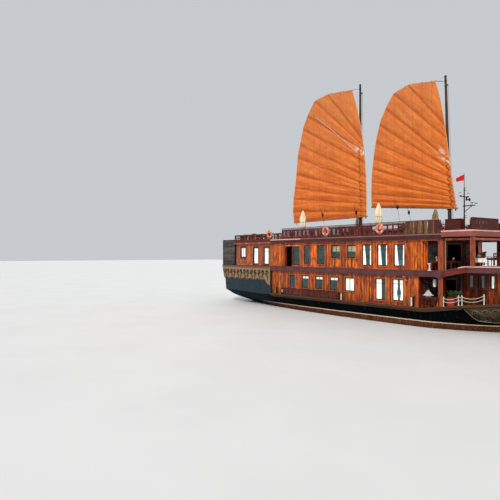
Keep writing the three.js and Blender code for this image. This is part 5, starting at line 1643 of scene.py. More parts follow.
def stern_rails():
    """A round cap and spindles on the rail round the after end of the roof."""
    shape = Shape()
    low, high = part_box("stern_rail")
    top, inner, aft = high.z, PARAPET_FACE - 0.03, low.x + 0.03
    corners = ((high.x - 0.02, -inner), (aft, -inner), (aft, inner), (high.x - 0.02, inner))
    shape.tube([(x, y, top + 0.01) for x, y in corners], 0.045, 10)
    places = []
    for k in range(SPINDLES + 1):
        x = low.x + SPINDLE_INSET + (high.x - low.x - 2 * SPINDLE_INSET) * k / SPINDLES
        places += [(x, -inner), (x, inner)]
    for k in range(SPINDLES):
        places.append((aft, -inner + SPINDLE_INSET + 2 * (inner - SPINDLE_INSET) * k / (SPINDLES - 1)))
    for x, y in places:
        shape.tube([(x, y, ROOF_TOP + 0.05), (x, y, top - 0.02)], 0.014, 6)
    shape.piece("stern_rail_spindles", "parapet", slot="parapet", smooth=40)


RAIL_CAP = [(-0.135, 0), (-0.025, 0), (-0.015, 0.02), (-0.03, 0.045), (-0.13, 0.045), (-0.145, 0.02)]
BALUSTRADE = {"cap": 0.9, "foot": 0.13, "tall": 0.69, "from": 13.15, "bay": 0.76, "pitch": 0.16}
SIDE_BALUSTERS = (13.3, 13.42, 13.54, 13.66)


def fore_rails():
    """Balusters and cap of the fore balustrade, slats and rounded cap of the parapet over the verandah."""
    shape, edge = Shape(), middle_edge()
    cap = [Vector((p.x, p.y, FORE_FLOOR + BALUSTRADE["cap"]))
           for p in span_of(edge, BALUSTRADE["from"], MID_FORE)]
    moulding(shape.paint(0), cap, RAIL_CAP)
    foot = FORE_FLOOR + BALUSTRADE["foot"]
    for k in range(3):
        for i in range(4):
            y = BALUSTRADE["bay"] * (k - 2) + BALUSTRADE["pitch"] * (i - 1.5)
            if y < 0.01:
                turned(shape.paint(1), (MID_FORE - 0.08, y, foot), BALUSTRADE["tall"])
    for x in SIDE_BALUSTERS:
        point = min(span_of(edge, x - 0.001, x + 0.001), key=lambda p: abs(p.x - x))
        turned(shape, (x, point.y + 0.08, foot), BALUSTRADE["tall"])
    low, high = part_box("fore_parapet")
    for k in range(26):
        y = -4.08 + k * 0.134
        shape.paint(2).box((high.x, high.x + 0.02), (y, y + 0.09), (low.z + 0.05, high.z - 0.04), 0.008)
    rounded = ((-4.11, low.z + 0.1), (-4.12, high.z - 0.15), (-4.02, high.z), (-3.85, high.z + 0.02),
               (-0.6, high.z + 0.02))
    shape.paint(0).tube([(high.x - 0.03, y, z) for y, z in rounded], 0.05, 10)
    both(shape, "fore_rail_dressing", ["dark", "trim", "red_wood"], slot="parapet", smooth=40)


# Rope rails: stations and profile of the posts, heights of the ropes and their sag for each metre
ROPE_POSTS = (9.44, 10.55, 10.8, 12.3)
ROPE_POST = [(0.032, 0.05), (0.028, 0.3), (0.036, 0.33), (0.028, 0.36), (0.026, 0.52), (0.036, 0.55),
             (0.026, 0.58), (0.024, 0.62), (0.034, 0.64), (0.028, 0.67), (0.012, 0.69)]
ROPE_LEVELS, ROPE_SAG = (0.57, 0.35), 0.11


def rope_rails():
    """Turned stanchions with slack ropes spliced round them, in place of the frame's plain rods."""
    for label, side in SIDES.items():
        shape, posts = Shape(), []
        for x in ROPE_POSTS:
            foot = top_of(DECK_EDGE, x, side * 4.1) or deck_z(x) + 0.13
            post = Vector((x, side * rope_post_y(x), foot))
            for profile in ([(0.062, 0.0), (0.062, 0.03)], [(0.045, 0.03), (0.045, 0.06)], ROPE_POST):
                shape.lathe(profile, post, 16)
            posts.append(post)
        shape.paint(1)
        for level in ROPE_LEVELS:
            for a, b in zip(posts, posts[1:]):
                sag = 4 * ROPE_SAG * (b.x - a.x)
                shares = [k / 16 for k in range(17)]
                rope = [a.lerp(b, t) + Vector((0, side * 0.012, level - sag * t * (1 - t))) for t in shares]
                shape.tube(rope, 0.018, 8)
            for post in posts:
                for k in (-1, 0, 1):
                    splice = circle(post + Vector((0, 0, level + 0.03 * k)), 0.05, 14)
                    shape.tube(splice, 0.015, 6, closed=True)
        made = shape.piece(f"rope_rail_set_{label}", ["enamel", "rope"], slot="rope", smooth=40)
        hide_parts(f"rope_rail_{label}")


def rope_post_y(x):
    """Distance of a rope rail's post from the centreline: just inside the edge of the deck."""
    return abs(skin(HULL, x, deck_z(x) - 0.01)[0].y) - 0.04


# Solid panel beside the lower deck: its face, its boards and the stations of its posts
PANEL_FACE, PANEL_AFT, PANEL_BOARDS, PANEL_PITCH = -4.21, -7.87, 34, 0.204
PANEL_POSTS = (-7.9, -5.6, -3.3, -1.4, -0.95)


def edge_panels():
    """Boards on the solid panel between belt and deck edge, and turned posts of the low verandah rail."""
    shape, face = Shape(), PANEL_FACE
    for k in range(PANEL_BOARDS):
        x = PANEL_AFT + k * PANEL_PITCH
        shape.paint(0).box((x, x + 0.19), (face - 0.014, face), (MAIN_DECK + 0.15, 2.03), 0.006)
    shape.paint(1).box((-7.92, -0.9), (face - 0.04, face + 0.07), (2.035, 2.085), 0.015)
    for x in PANEL_POSTS:
        shape.box((x - 0.04, x + 0.04), (face - 0.03, face + 0.03), (MAIN_DECK + 0.12, 2.1), 0.012)
    for k in range(4):
        for i in range(3):
            x = 7.64 + (k + 0.5) * 0.33 - 0.08 + 0.08 * i
            turned(shape.paint(0), (x, -4.14, 1.68), 0.44, 0.018)
    shape.paint(1).box((7.5, 9.0), (-4.2, -4.08), (2.195, 2.24), 0.015)
    both(shape, "edge_panel_boards", ["panel", "trim"], slot="dark_wall")


def ceilings():
    """Boards under the middle deck and the roof over the verandahs, and linings inside the cabins whose
    near-black colour is painted shade of the unlit rooms.
    """
    shape = Shape()
    for k in range(62):
        across = (-3.88 + k * 0.1255, -3.765 + k * 0.1255)
        shape.box((7.34, 9.32), across, (MID_UNDER - 0.03, MID_UNDER - 0.004), 0.005)
        shape.box((7.66, 11.4), across, (ROOF_UNDER - 0.03, ROOF_UNDER - 0.004), 0.005)
    # Painted shade: near-black linings stand in for the unlit rooms behind the windows
    shape.paint(1)
    for span, heights in (((-9.8, 7.15), (MAIN_DECK + 0.01, MID_UNDER - 0.01)),
                          ((-16.1, 7.5), (MID_DECK + 0.01, ROOF_UNDER - 0.01))):
        for side in (-1, 1):
            shape.box(span, (side * 1.1, side * 1.16), heights, 0.002)
    shape.piece("cabin_linings", ["dark_cross", "lining"], slot="dark_wall")


def gallery_dressing():
    """Frames and cap over the box at the stern."""
    shape = Shape()
    low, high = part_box("stern_gallery")
    tall = (low.z + 0.02, high.z - 0.02)
    rails = (low.z + 0.1, low.z + 1.4, high.z - 0.1)
    for side in (-1, 1):
        y = side * high.y
        for x in (low.x + 0.06, low.x + 0.9, low.x + 1.7, high.x - 0.06):
            shape.box((x - 0.05, x + 0.05), (y, y + side * 0.03), tall, 0.01)
        for z in rails:
            shape.box((low.x, high.x), (y, y + side * 0.024), (z - 0.05, z + 0.05), 0.01)
    for k in range(9):
        y = low.y + 0.05 + (high.y - low.y - 0.1) * k / 8
        shape.box((low.x - 0.03, low.x), (y - 0.05, y + 0.05), tall, 0.01)
    for z in rails:
        shape.box((low.x - 0.024, low.x), (low.y, high.y), (z - 0.05, z + 0.05), 0.01)
    shape.box((low.x - 0.04, high.x + 0.03), (low.y - 0.04, high.y + 0.04), (high.z - 0.01, high.z + 0.03),
              0.015)
    shape.piece("gallery_dressing", "weathered", slot="weathered")


# Furniture, plants and small fittings
def table(shape, x, y, floor, top):
    """A table between limits in X and Y: top, apron and four legs."""
    shape.box(x, y, (top - 0.045, top), 0.015)
    shape.box((x[0] + 0.07, x[1] - 0.07), (y[0] + 0.07, y[1] - 0.07), (top - 0.13, top - 0.045), 0.006)
    for a in (x[0] + 0.06, x[1] - 0.13):
        for b in (y[0] + 0.06, y[1] - 0.13):
            shape.box((a, a + 0.07), (b, b + 0.07), (floor, top - 0.05), 0.008)


def chair(shape, x, y, floor, turn):
    """A slatted armchair whose back stands at its -X side before it is turned."""
    made = Shape()
    for a in (-0.22, 0.2):
        for b in (-0.24, 0.24):
            made.box((a - 0.022, a + 0.022), (b - 0.022, b + 0.022), (0, 0.92 if a < 0 else 0.64), 0.006)
    made.box((-0.24, 0.24), (-0.25, 0.25), (0.41, 0.45), 0.01)
    for b in (-0.24, 0.24):
        made.box((-0.24, 0.24), (b - 0.03, b + 0.03), (0.63, 0.66), 0.01)
    for z in (0.58, 0.7, 0.82, 0.9):
        made.box((-0.235, -0.21), (-0.22, 0.22), (z - 0.03, z + 0.03), 0.006)
    made.moved(Matrix.Translation((x, y, floor)) @ Matrix.Rotation(math.radians(turn), 4, "Z"))
    return shape.join(made)


def blade(shape, root, tip, width):
    """A leaf: a thin closed blade from root to tip."""
    along = tip - root
    across = along.cross(Vector((0.3, 0.2, 1))).normalized() * width
    middle = root.lerp(tip, 0.55) + Vector((0, 0, 0.12 * along.length))
    lift = Vector((0, 0, 0.004))
    shape.add([root, middle - across, tip, middle + across, middle + lift, middle - lift],
              [(0, 1, 4), (1, 2, 4), (2, 3, 4), (3, 0, 4), (1, 0, 5), (2, 1, 5), (3, 2, 5), (0, 3, 5)])


def foliage(shape, centre, spread, tall, leaves, seed, blooms=0, tone=0):
    """Leaves round a centre, with blossoms among them."""
    at = lambda reach, turn, z: Vector(centre) + Vector((reach * math.cos(turn), reach * math.sin(turn), z))
    shape.paint(tone)
    for k in range(leaves):
        turn = 2.4 * k + seed
        lift = 0.5 + 0.5 * math.sin(1.7 * k + seed * 3)
        reach = spread * (0.55 + 0.45 * math.cos(2.9 * k + seed))
        blade(shape, at(0.1 * spread, turn, 0.2 * tall * lift), at(reach, turn, tall * (0.3 + 0.7 * lift)),
              0.16 * spread + 0.012)
    shape.paint(1)
    for k in range(blooms):
        height = tall * (0.6 + 0.3 * math.sin(k * 1.9 + seed))
        shape.ball(at(0.6 * spread, 2.1 * k + seed, height), (0.035, 0.035, 0.03), 7, 4)


POT_SOIL = 0.22                # height of the soil in a pot


def potted(shape, x, y, floor, spread, tall, seed, blooms=0, leaves=34, tone=0):
    """A plant in a tapered pot."""
    wide = 0.34 * spread + 0.05
    profile = [(0.68, 0), (1, POT_SOIL), (1.1, 0.23), (1.1, 0.26), (0.92, 0.26), (0.9, POT_SOIL)]
    shape.paint(2).lathe([(share * wide, z) for share, z in profile], (x, y, floor), 14)
    foliage(shape, (x, y, floor + POT_SOIL), spread, tall - POT_SOIL, leaves, seed, blooms, tone)


# Plants on the roof: station, distance inside the parapet, spread, height, blossoms
ROOF_PLANTS = [
    (-15.7, 0.4, 0.34, 0.62, 0), (-15.0, 0.34, 0.3, 0.74, 5), (-14.3, 0.42, 0.36, 0.66, 0),
    (-13.6, 0.35, 0.3, 0.78, 6),
    (-12.9, 0.4, 0.34, 0.6, 0), (-12.2, 0.36, 0.32, 0.72, 4), (-11.4, 0.4, 0.3, 0.66, 0),
    (-10.8, 0.4, 0.34, 0.8, 6),
    (-9.4, 0.4, 0.3, 0.7, 4), (-7.2, 0.4, 0.32, 0.84, 0), (-4.4, 0.4, 0.34, 0.86, 5),
    (-3.2, 0.42, 0.3, 0.8, 0),
    (-0.9, 0.42, 0.42, 1.0, 0), (0.3, 0.4, 0.42, 0.98, 6), (1.5, 0.4, 0.4, 1.04, 0),
    (2.3, 0.42, 0.4, 0.9, 5),
]


# Single plants: place, floor, spread, height, seed, blossoms, leaves
LONE_PLANTS = [
    (4.6, -2.5, ROOF_TOP, 0.5, 0.98, 2.0, 0, 60), (5.3, -1.6, ROOF_TOP, 0.45, 1.15, 4.0, 0, 50),
    (10.4, -0.6, FORE_FLOOR + 0.56, 0.28, 0.5, 1.0, 0, 30), (10.9, 2.6, FORE_FLOOR, 0.36, 1.0, 3.0, 5, 40),
]
BUSHY_TO = -10.0               # plants aft of this station spread wider


def roof_garden():
    """Potted plants inside the roof parapet and on the verandahs, and a planter on the fore deck."""
    shape, lone, box = Shape(), Shape(), Shape()
    for k, (x, inside, spread, tall, blooms) in enumerate(ROOF_PLANTS):
        wide = 1.3 * spread if x < BUSHY_TO else spread
        inset = max(inside, wide + 0.06)
        potted(shape, x, -PARAPET_FACE + inset, ROOF_TOP, wide, tall, 0.7 * k, blooms, 64,
               3 if k % 3 else 0)
    both(shape, "roof_plants", ["leaf", "bloom", "pot", "bush"], slot="bow_carving")
    for plant in LONE_PLANTS:
        potted(lone, *plant)
    lone.piece("verandah_plants", ["leaf", "bloom", "pot"], slot="bow_carving")
    box.paint(2).box((9.45, 10.4), (-3.75, -3.45), (deck_z(9.9) + 0.02, 2.35), 0.02)
    for k in range(4):
        foliage(box, (9.6 + 0.22 * k, -3.6, 2.3), 0.36, 0.52, 34, 1.3 * k)
    box.piece("planter", ["leaf", "bloom", "trim"], slot="bow_carving")


# Sun loungers: place of the foot, and how far the back is raised in degrees
LOUNGERS = [(3.75, -3.3, 18), (5.1, -2.75, 42)]
LOUNGER = {"length": 1.25, "half": 0.3, "bearer": 7.12, "seat": 7.17, "slats": 11, "back_slats": 5}


def loungers():
    """Two slatted sun loungers with canvas cushions on the roof."""
    half, bearer, level = LOUNGER["half"], LOUNGER["bearer"], LOUNGER["seat"]
    for k, (x, y, back) in enumerate(LOUNGERS):
        frame_shape, rest = Shape(), Shape()
        for b in (-half, half - 0.03):
            rail = (y + b, y + b + 0.03)
            frame_shape.box((x, x + LOUNGER["length"]), rail, (bearer, level), 0.008)
            for a in (x + 0.08, x + 1.12):
                frame_shape.box((a, a + 0.04), rail, (ROOF_TOP, bearer), 0.006)
            rest.box((0, 0.6), (b, b + 0.03), (-0.03, 0.0), 0.006)
        for i in range(LOUNGER["slats"]):
            a = x + 0.02 + 0.112 * i
            frame_shape.box((a, a + 0.08), (y - half, y + half), (level, level + 0.02), 0.005)
        for i in range(LOUNGER["back_slats"]):
            rest.box((0.02 + 0.115 * i, 0.1 + 0.115 * i), (-half, half), (0, 0.02), 0.005)
        hinge = Matrix.Translation((x + 1.27, y, level)) @ Matrix.Rotation(math.radians(-back), 4, "Y")
        frame_shape.join(rest.moved(hinge))
        frame_shape.piece(f"lounger_frame_{k}", "trim", slot="dark_wall")
        seat = cushion((x + 0.02, x + LOUNGER["length"]), (y - 0.28, y + 0.28),
                       (level + 0.022, level + 0.09))
        pad = seat.piece(f"lounger_cushion_{k}", "cushion", slot="awning_cloth", smooth=60)
        head = cushion((0.03, 0.6), (-0.28, 0.28), (0.022, 0.09)).moved(hinge)
        pad = head.piece(f"lounger_back_cushion_{k}", "cushion", slot="awning_cloth", smooth=60)


PAD_CELLS = 12


def cushion(x, y, z):
    """A soft pad: a grid of thickness that swells in its middle and thins to a seam at the edge."""
    count, points, faces, grid = PAD_CELLS, [], [], {}
    middle, half = (z[0] + z[1]) / 2, (z[1] - z[0]) / 2
    for face in (1, -1):
        for i in range(count + 1):
            for j in range(count + 1):
                u, v = i / count, j / count
                edge = min(1.0, 5 * min(u, 1 - u, v, 1 - v)) ** 0.5
                dimple = 1 - 0.25 * math.exp(-((u - 0.5) ** 2 + (v - 0.5) ** 2) / 0.03)
                # Both faces share the points of the seam
                key = (face, i, j) if edge else (i, j)
                if key not in grid:
                    grid[key] = len(points)
                    points.append((x[0] + u * (x[1] - x[0]), y[0] + v * (y[1] - y[0]),
                                   middle + face * half * edge * dimple))
    find = lambda face, i, j: grid.get((i, j), grid.get((face, i, j)))
    for face in (1, -1):
        for i in range(count):
            for j in range(count):
                quad = [find(face, i, j), find(face, i + 1, j), find(face, i + 1, j + 1),
                        find(face, i, j + 1)]
                faces.append(quad if face > 0 else quad[::-1])
    return Shape().add(points, faces)


CLOTH_CELLS = 28


def tablecloth(name, x, y, top, drop):
    """A cloth over a table: flat on its top, falling in soft folds at the edges."""
    rows = []
    wide, deep = x[1] - x[0], y[1] - y[0]
    for i in range(CLOTH_CELLS + 1):
        row = []
        for j in range(CLOTH_CELLS + 1):
            u = (i / CLOTH_CELLS - 0.5) * (wide + 2 * drop)
            v = (j / CLOTH_CELLS - 0.5) * (deep + 2 * drop)
            over_x, over_y = max(0.0, abs(u) - wide / 2), max(0.0, abs(v) - deep / 2)
            over = max(over_x, over_y)
            fold = 0.016 * math.sin(14 * (u if over_y > over_x else v)) * min(1.0, over / 0.12)
            out_x = min(abs(u), wide / 2) + (0.008 + fold if over_x > 0 else 0)
            out_y = min(abs(v), deep / 2) + (0.008 + fold if over_y > 0 else 0)
            row.append(((x[0] + x[1]) / 2 + math.copysign(out_x, u),
                        (y[0] + y[1]) / 2 + math.copysign(out_y, v),
                        top + 0.004 - over))
        rows.append(row)
    made = Shape().sheet(rows).piece(name, "linen", slot="awning_cloth", smooth=60)


MID_TABLE, LOW_TABLE, FORE_TABLE = 4.85, 2.12, 5.05
# Tables as (x, y, floor, top), and chairs as (x, y, floor, turn in degrees)
TABLES = [
    ((8.1, 8.85), (-3.8, -3.1), MID_DECK, MID_TABLE), ((8.7, 9.35), (-3.0, -1.6), MID_DECK, MID_TABLE),
    ((7.65, 8.7), (-3.85, -3.2), MAIN_DECK, LOW_TABLE), ((10.0, 10.8), (-1.5, 1.5), FORE_FLOOR, FORE_TABLE),
]
CHAIRS = [
    (8.2, -2.0, MID_DECK, 0), (8.15, -0.6, MID_DECK, 20), (9.15, -1.2, MID_DECK, 180),
    (9.15, -0.5, MID_DECK, 190),
    (10.4, -2.1, FORE_FLOOR, 90), (9.75, -0.8, FORE_FLOOR, 0), (9.75, 0.5, FORE_FLOOR, 0),
    (11.1, -0.7, FORE_FLOOR, 180), (11.1, 0.7, FORE_FLOOR, 180), (10.4, 2.1, FORE_FLOOR, -90),
    (8.2, -2.7, MAIN_DECK, 90), (9.0, 2.4, MAIN_DECK, 200), (8.3, 1.9, MID_DECK, 10),
    (8.3, 3.1, MID_DECK, -10),
]
# Turned white things: a stool, two table lamps and a paper lantern, as (radius, height)
STOOL = [(0.16, 0), (0.15, 0.03), (0.07, 0.1), (0.06, 0.4), (0.15, 0.5), (0.16, 0.55), (0.02, 0.56)]
BIG_LAMP = [(0.05, 0), (0.05, 0.01), (0.012, 0.02), (0.012, 0.1), (0.14, 0.1), (0.05, 0.27), (0.01, 0.28)]
SMALL_LAMP = [(0.045, 0), (0.01, 0.02), (0.01, 0.12), (0.09, 0.12), (0.05, 0.24), (0.01, 0.25)]
LANTERN = [(0.02, 0.0), (0.12, 0.03), (0.125, 0.28), (0.12, 0.55), (0.02, 0.58)]
LANTERN_PLACE, POSY_PLACE, SHADE_PLACE = Vector((8.3, -3.5, 2.95)), (8.45, -3.45), (7.75, -3.5)


def furniture():
    """Tables and chairs of the verandahs, and one table's cloth."""
    shape = Shape()
    for place in TABLES:
        table(shape, *place)
    for place in CHAIRS:
        chair(shape, *place)
    shape.piece("verandah_furniture", "red_wood", slot="dark_wall")
    tablecloth("fore_tablecloth", (10.0, 10.8), (-1.5, -0.95), FORE_TABLE, 0.3)


def table_things():
    """Stool, lamps, lantern, pole and trays in white, and a vase of flowers."""
    pale, posy = Shape(), Shape()
    pale.lathe(STOOL, (7.95, -3.62, MID_DECK), 20)
    pale.lathe(BIG_LAMP, (10.4, -1.25, FORE_TABLE + 0.006), 20)
    pale.lathe(SMALL_LAMP, (9.0, -2.2, MID_TABLE), 18)
    pale.lathe(LANTERN, LANTERN_PLACE, 18)
    for level in range(5):
        hoop = LANTERN_PLACE + Vector((0, 0, 0.08 + 0.1 * level))
        pale.lathe([(0.122, -0.006), (0.134, 0), (0.122, 0.006)], hoop, 18)
    pale.tube([(9.5, -3.95, MID_DECK), (9.5, -3.95, 6.42)], 0.009, 10)
    # A low lamp with a four-sided shade, between two trays
    pale.lathe([(0.4, 0.0), (0.39, 0.015), (0.27, 0.09), (0.07, 0.36), (0.01, 0.42)],
               (*SHADE_PLACE, LOW_TABLE + 0.18), 4, start=0.5)
    pale.box((7.5, 8.0), (-3.62, -3.38), (LOW_TABLE, LOW_TABLE + 0.04), 0.01)
    pale.box((7.55, 7.95), (-3.6, -3.4), (LOW_TABLE + 0.08, LOW_TABLE + 0.12), 0.01)
    pale.lathe([(0.08, 0.0), (0.05, 0.02), (0.04, 0.2)], (*SHADE_PLACE, LOW_TABLE), 16)
    pale.piece("white_fittings", "enamel", slot="white_enamel", smooth=35)
    foliage(posy, (*POSY_PLACE, MID_TABLE + 0.1), 0.14, 0.24, 26, 0.4, 14)
    posy.paint(2).lathe([(0.04, 0), (0.06, 0.06), (0.045, 0.11), (0.05, 0.12)], (*POSY_PLACE, MID_TABLE), 14)
    posy.piece("table_flowers", ["leaf", "cream_bloom", "enamel"], slot="bow_carving")


BOLLARD = [(0.075, 0), (0.075, 0.52), (0.1, 0.54), (0.1, 0.6), (0.02, 0.64)]
DECK_LINE, EDGE_TOP = -4.12, 1.43          # line of the bollards, and top of the deck's edge under them
WALL_LAMPS = [(6.29, -4.06, 3.42), (6.16, -4.3, 3.7), (1.5, -4.06, 3.42), (-8.3, -4.08, 3.4),
              (1.5, -4.06, 6.1)]
DECK_LANTERN = {"x": -8.32, "across": (-4.2, -4.02), "foot": 1.56, "head": 1.97}
LOCKER_TOP, CHEST_FOOT, CHEST_TOP = 7.72, 1.7, 2.26


def deck_lantern(dark, pale):
    """A four-posted lantern on a plinth."""
    x, across = DECK_LANTERN["x"], DECK_LANTERN["across"]
    foot, head = DECK_LANTERN["foot"], DECK_LANTERN["head"]
    for a, b, bevel in ((EDGE_TOP, foot, 0.02), (foot - 0.01, foot + 0.02, 0.01),
                        (head - 0.02, head + 0.01, 0.01)):
        dark.box((x - 0.1, x + 0.1), across, (a, b), bevel)
    for dx in (-0.09, 0.08):
        for y in (across[0] + 0.01, across[1] - 0.02):
            dark.box((x + dx, x + dx + 0.015), (y, y + 0.015), (foot, head), 0.003)
    middle = (across[0] + across[1]) / 2
    dark.lathe([(0.12, 0.0), (0.05, 0.1), (0.02, 0.13)], (x, middle, head), 4, start=0.785)
    pale.lathe([(0.045, 0), (0.055, 0.1), (0.045, 0.3), (0.01, 0.32)], (x, middle, foot + 0.04), 12)


def deck_fittings():
    """Bollards, vents, lamps and a lantern along the side."""
    dark, pale = Shape(), Shape()
    dark.box((6.86, 6.95), (-4.17, -4.05), (EDGE_TOP, 2.2), 0.015)
    for x in (-0.72, -9.2):
        dark.lathe(BOLLARD, (x, DECK_LINE, EDGE_TOP), 16)
    pale.lathe([(0.06, 0), (0.06, 0.52), (0.08, 0.55), (0.08, 0.6), (0.02, 0.62)], (6.76, -4.15, 1.5), 16)
    pale.lathe([(0.06, 0), (0.06, 0.5), (0.07, 0.52), (0.02, 0.55)], (-0.42, DECK_LINE, EDGE_TOP), 16)
    for x, y, z in WALL_LAMPS:
        dark.box((x - 0.03, x + 0.03), (y - 0.01, y + 0.06), (z - 0.03, z + 0.03), 0.006)
        pale.ball((x, y - 0.035, z - 0.04), (0.032, 0.032, 0.04), 12, 8)
        dark.lathe([(0.02, -0.03), (0.04, -0.02), (0.03, 0.0)], (x, y - 0.035, z + 0.02), 12)
    deck_lantern(dark, pale)
    both(dark, "deck_irons", "black", slot="iron", smooth=40)
    both(pale, "deck_lamps", "enamel", slot="white_enamel", smooth=40)


def deck_boxes():
    """A red chest on two bearers beside the cabin, and a slatted locker on the fore part of the roof."""
    red = Shape()
    for x in (9.66, 10.06):
        red.paint(1).box((x - 0.03, x + 0.03), (-3.98, -3.82), (deck_z(9.8) + 0.01, CHEST_FOOT + 0.02), 0.01)
    red.paint(0).box((9.6, 10.13), (-4.0, -3.8), (CHEST_FOOT, CHEST_TOP), 0.02)
    red.paint(1).box((9.55, 10.7), (-4.1, -3.5), (FORE_ROOF_TOP, LOCKER_TOP), 0.02)
    red.box((9.52, 10.73), (-4.13, -3.47), (LOCKER_TOP, LOCKER_TOP + 0.07), 0.02)
    for k in range(8):
        slat = (9.56 + 0.144 * k, 9.66 + 0.144 * k)
        red.box(slat, (-4.12, -4.1), (FORE_ROOF_TOP + 0.03, LOCKER_TOP - 0.02), 0.005)
    red.piece("deck_boxes", ["red", "red_wood"], slot="lifebuoy")


def decks():
    """Everything on the decks and on the roof."""
    deck_mouldings()
    wale()
    parapets()
    stern_rails()
    fore_rails()
    rope_rails()
    edge_panels()
    ceilings()
    gallery_dressing()
    roof_garden()
    loungers()
    furniture()
    table_things()
    deck_fittings()
    deck_boxes()


# Rigs: edges as points (x, z) from the mast's station, the same as the frame's solids
RIGS = {
    "main": {
        "mast": -1.95, "top": 21.1, "lean": 0.0, "hoops": (0, 2, 5, 8), "lace": (0.32, 0.12),
        "rope": [(-0.04, 14.72), (-3.06, 17.24), (-5.57, 19.17)], "blocks": [(-4.53, 9.24), (-0.1, 9.2)],
        "tack": (0.95, 8.77), "luff_bends": [(1.0, 13.2), (0.75, 16.4)], "throat": (-0.75, 20.66),
        "head": (-3.97, 21.1), "peak": (-5.87, 20.87),
        "leech": [(-6.48, 20.17), (-7.02, 19.45), (-7.57, 18.5), (-7.97, 17.2), (-8.38, 15.96),
                  (-8.63, 14.05), (-8.87, 12.45), (-9.12, 11.28), (-9.21, 9.87)],
        "clew": (-9.04, 8.68),
        "battens": [(8.77, 8.68), (9.2, 9.87), (9.95, 11.2), (10.45, 12.35), (11.0, 13.75), (11.65, 15.5),
                    (12.4, 16.75), (13.7, 18.3), (14.85, 19.55), (15.25, 20.87), (15.75, 21.1)],
    },
    "fore": {
        "mast": 7.3, "top": 19.45, "lean": 0.03, "hoops": (0, 3, 5, 7), "lace": (0.42, 0.04),
        "blocks": [(-4.68, 9.31), (-3.52, 8.8)],
        "tack": (0.72, 8.87), "luff_bends": [(0.05, 12.2), (-0.25, 17.0)], "throat": (-1.15, 19.15),
        "head": (-3.71, 19.53), "peak": (-5.24, 19.16),
        "leech": [(-5.92, 18.32), (-6.62, 17.18), (-7.1, 15.68), (-7.4, 14.22), (-7.65, 12.46),
                  (-7.71, 10.76)],
        "clew": (-7.66, 9.57),
        "battens": [(8.87, 9.57), (9.12, 10.09), (9.41, 10.75), (9.7, 11.88), (10.07, 13.0), (10.57, 13.89),
                    (11.24, 15.26), (11.91, 16.73), (12.6, 18.07), (14.44, 19.16), (15.46, 19.53)],
    },
}
MAST_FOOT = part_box("main_mast")[0].z
MAST_RADII = (0.15, 0.085)     # at the foot and at the head
CLOTH_Y, SPAR_Y = -0.2653, -0.22
SAIL_COLUMNS, PANEL_HEIGHT = 84, 0.13
SWELL, FULLNESS = 0.12, 0.9    # how far the cloth swells between its battens, and the share of it that shows


def at_height(curve, z):
    """The point of a rising or falling curve at a height."""
    for a, b in zip(curve, curve[1:]):
        if (a.y - z) * (b.y - z) <= 0 and a.y != b.y:
            return a.lerp(b, (z - a.y) / (b.y - a.y))
    return curve[-1] if abs(curve[-1].y - z) < abs(curve[0].y - z) else curve[0]


class Sail:
    """Edges and batten lines of one sail, in the plane of its cloth."""

    def __init__(self, rig):
        self.rig = rig
        self.luff = bezier([rig["tack"], *rig["luff_bends"], rig["throat"]])
        self.head = [Vector(rig[corner]) for corner in ("throat", "head", "peak")]
        self.leech = [Vector(p) for p in (rig["clew"], *rig["leech"][::-1], rig["peak"], rig["head"])]
        self.lines = [(at_height(self.luff, low), at_height(self.leech, high))
                      for low, high in rig["battens"]]

    def outline(self):
        """The cloth's edge, once round."""
        return self.luff + self.head[1:] + self.leech[-3::-1]

    def row(self, panel, share):
        """Points along a line of the cloth: panel is the batten below it, share the way to the next one."""
        (l0, e0), (l1, e1) = (self.lines + [(self.luff[-1], self.leech[-1])])[panel:panel + 2]
        luff = at_height(self.luff, l0.y + share * (l1.y - l0.y))
        leech = at_height(self.leech, e0.y + share * (e1.y - e0.y))
        return [luff.lerp(leech, k / SAIL_COLUMNS) for k in range(SAIL_COLUMNS + 1)]

    def on_mast(self, line):
        """Where a batten line crosses the mast's axis."""
        ahead = lambda p: p.x + math.tan(self.rig["lean"]) * (p.y - MAST_FOOT)
        luff, leech = self.lines[line]
        return luff.lerp(leech, ahead(luff) / (ahead(luff) - ahead(leech)))

    def laced(self, share):
        """Where the lacing lies at a share of its height."""
        low, high = self.on_mast(0), self.on_mast(len(self.lines) - 3)
        return low.lerp(high, share) + Vector((self.rig["lace"][0] * (1 - share)
                                               + self.rig["lace"][1] * share, 0))

    def place(self, point, depth=0.0):
        """Where a point (x, z) of the sail lies in the ship."""
        return Vector((self.rig["mast"] + point.x, depth, point.y))


def slack(point, panel, share, u, fullness, lace):
    """How far the cloth swells to starboard of its batten plane; lace is the station of its lacing there."""
    belly = math.sin(math.pi * share) ** 0.7 * (0.8 + 0.35 * share)
    edges = min(1.0, 9 * u, 9 * (1 - u)) ** 0.6
    off = abs(point.x - lace)
    laced = 1 - 0.8 * math.exp(-(off / 0.22) ** 2)
    folds = noise.noise(Vector((u * 2.2, share * 2.6 + panel * 5.3, 1.0))) * 0.06
    fine = noise.noise(Vector((u * 5.0, share * 7.0 + panel * 2.1, 4.0))) * 0.018
    pucker = math.sin(14 * point.y + 4 * off) * 0.05 * math.exp(-off / 0.5) * (point.y < 16)
    crease = noise.noise(Vector((point.x * 0.8 + point.y * 0.9, point.y * 3.1 - point.x, 2.0))) * 0.012
    swell = SWELL * fullness * belly * edges * laced
    return swell + (folds + fine + crease) * (0.3 + 0.7 * belly) * edges + pucker * edges * (0.4
                                                                                             + 0.6 * belly)


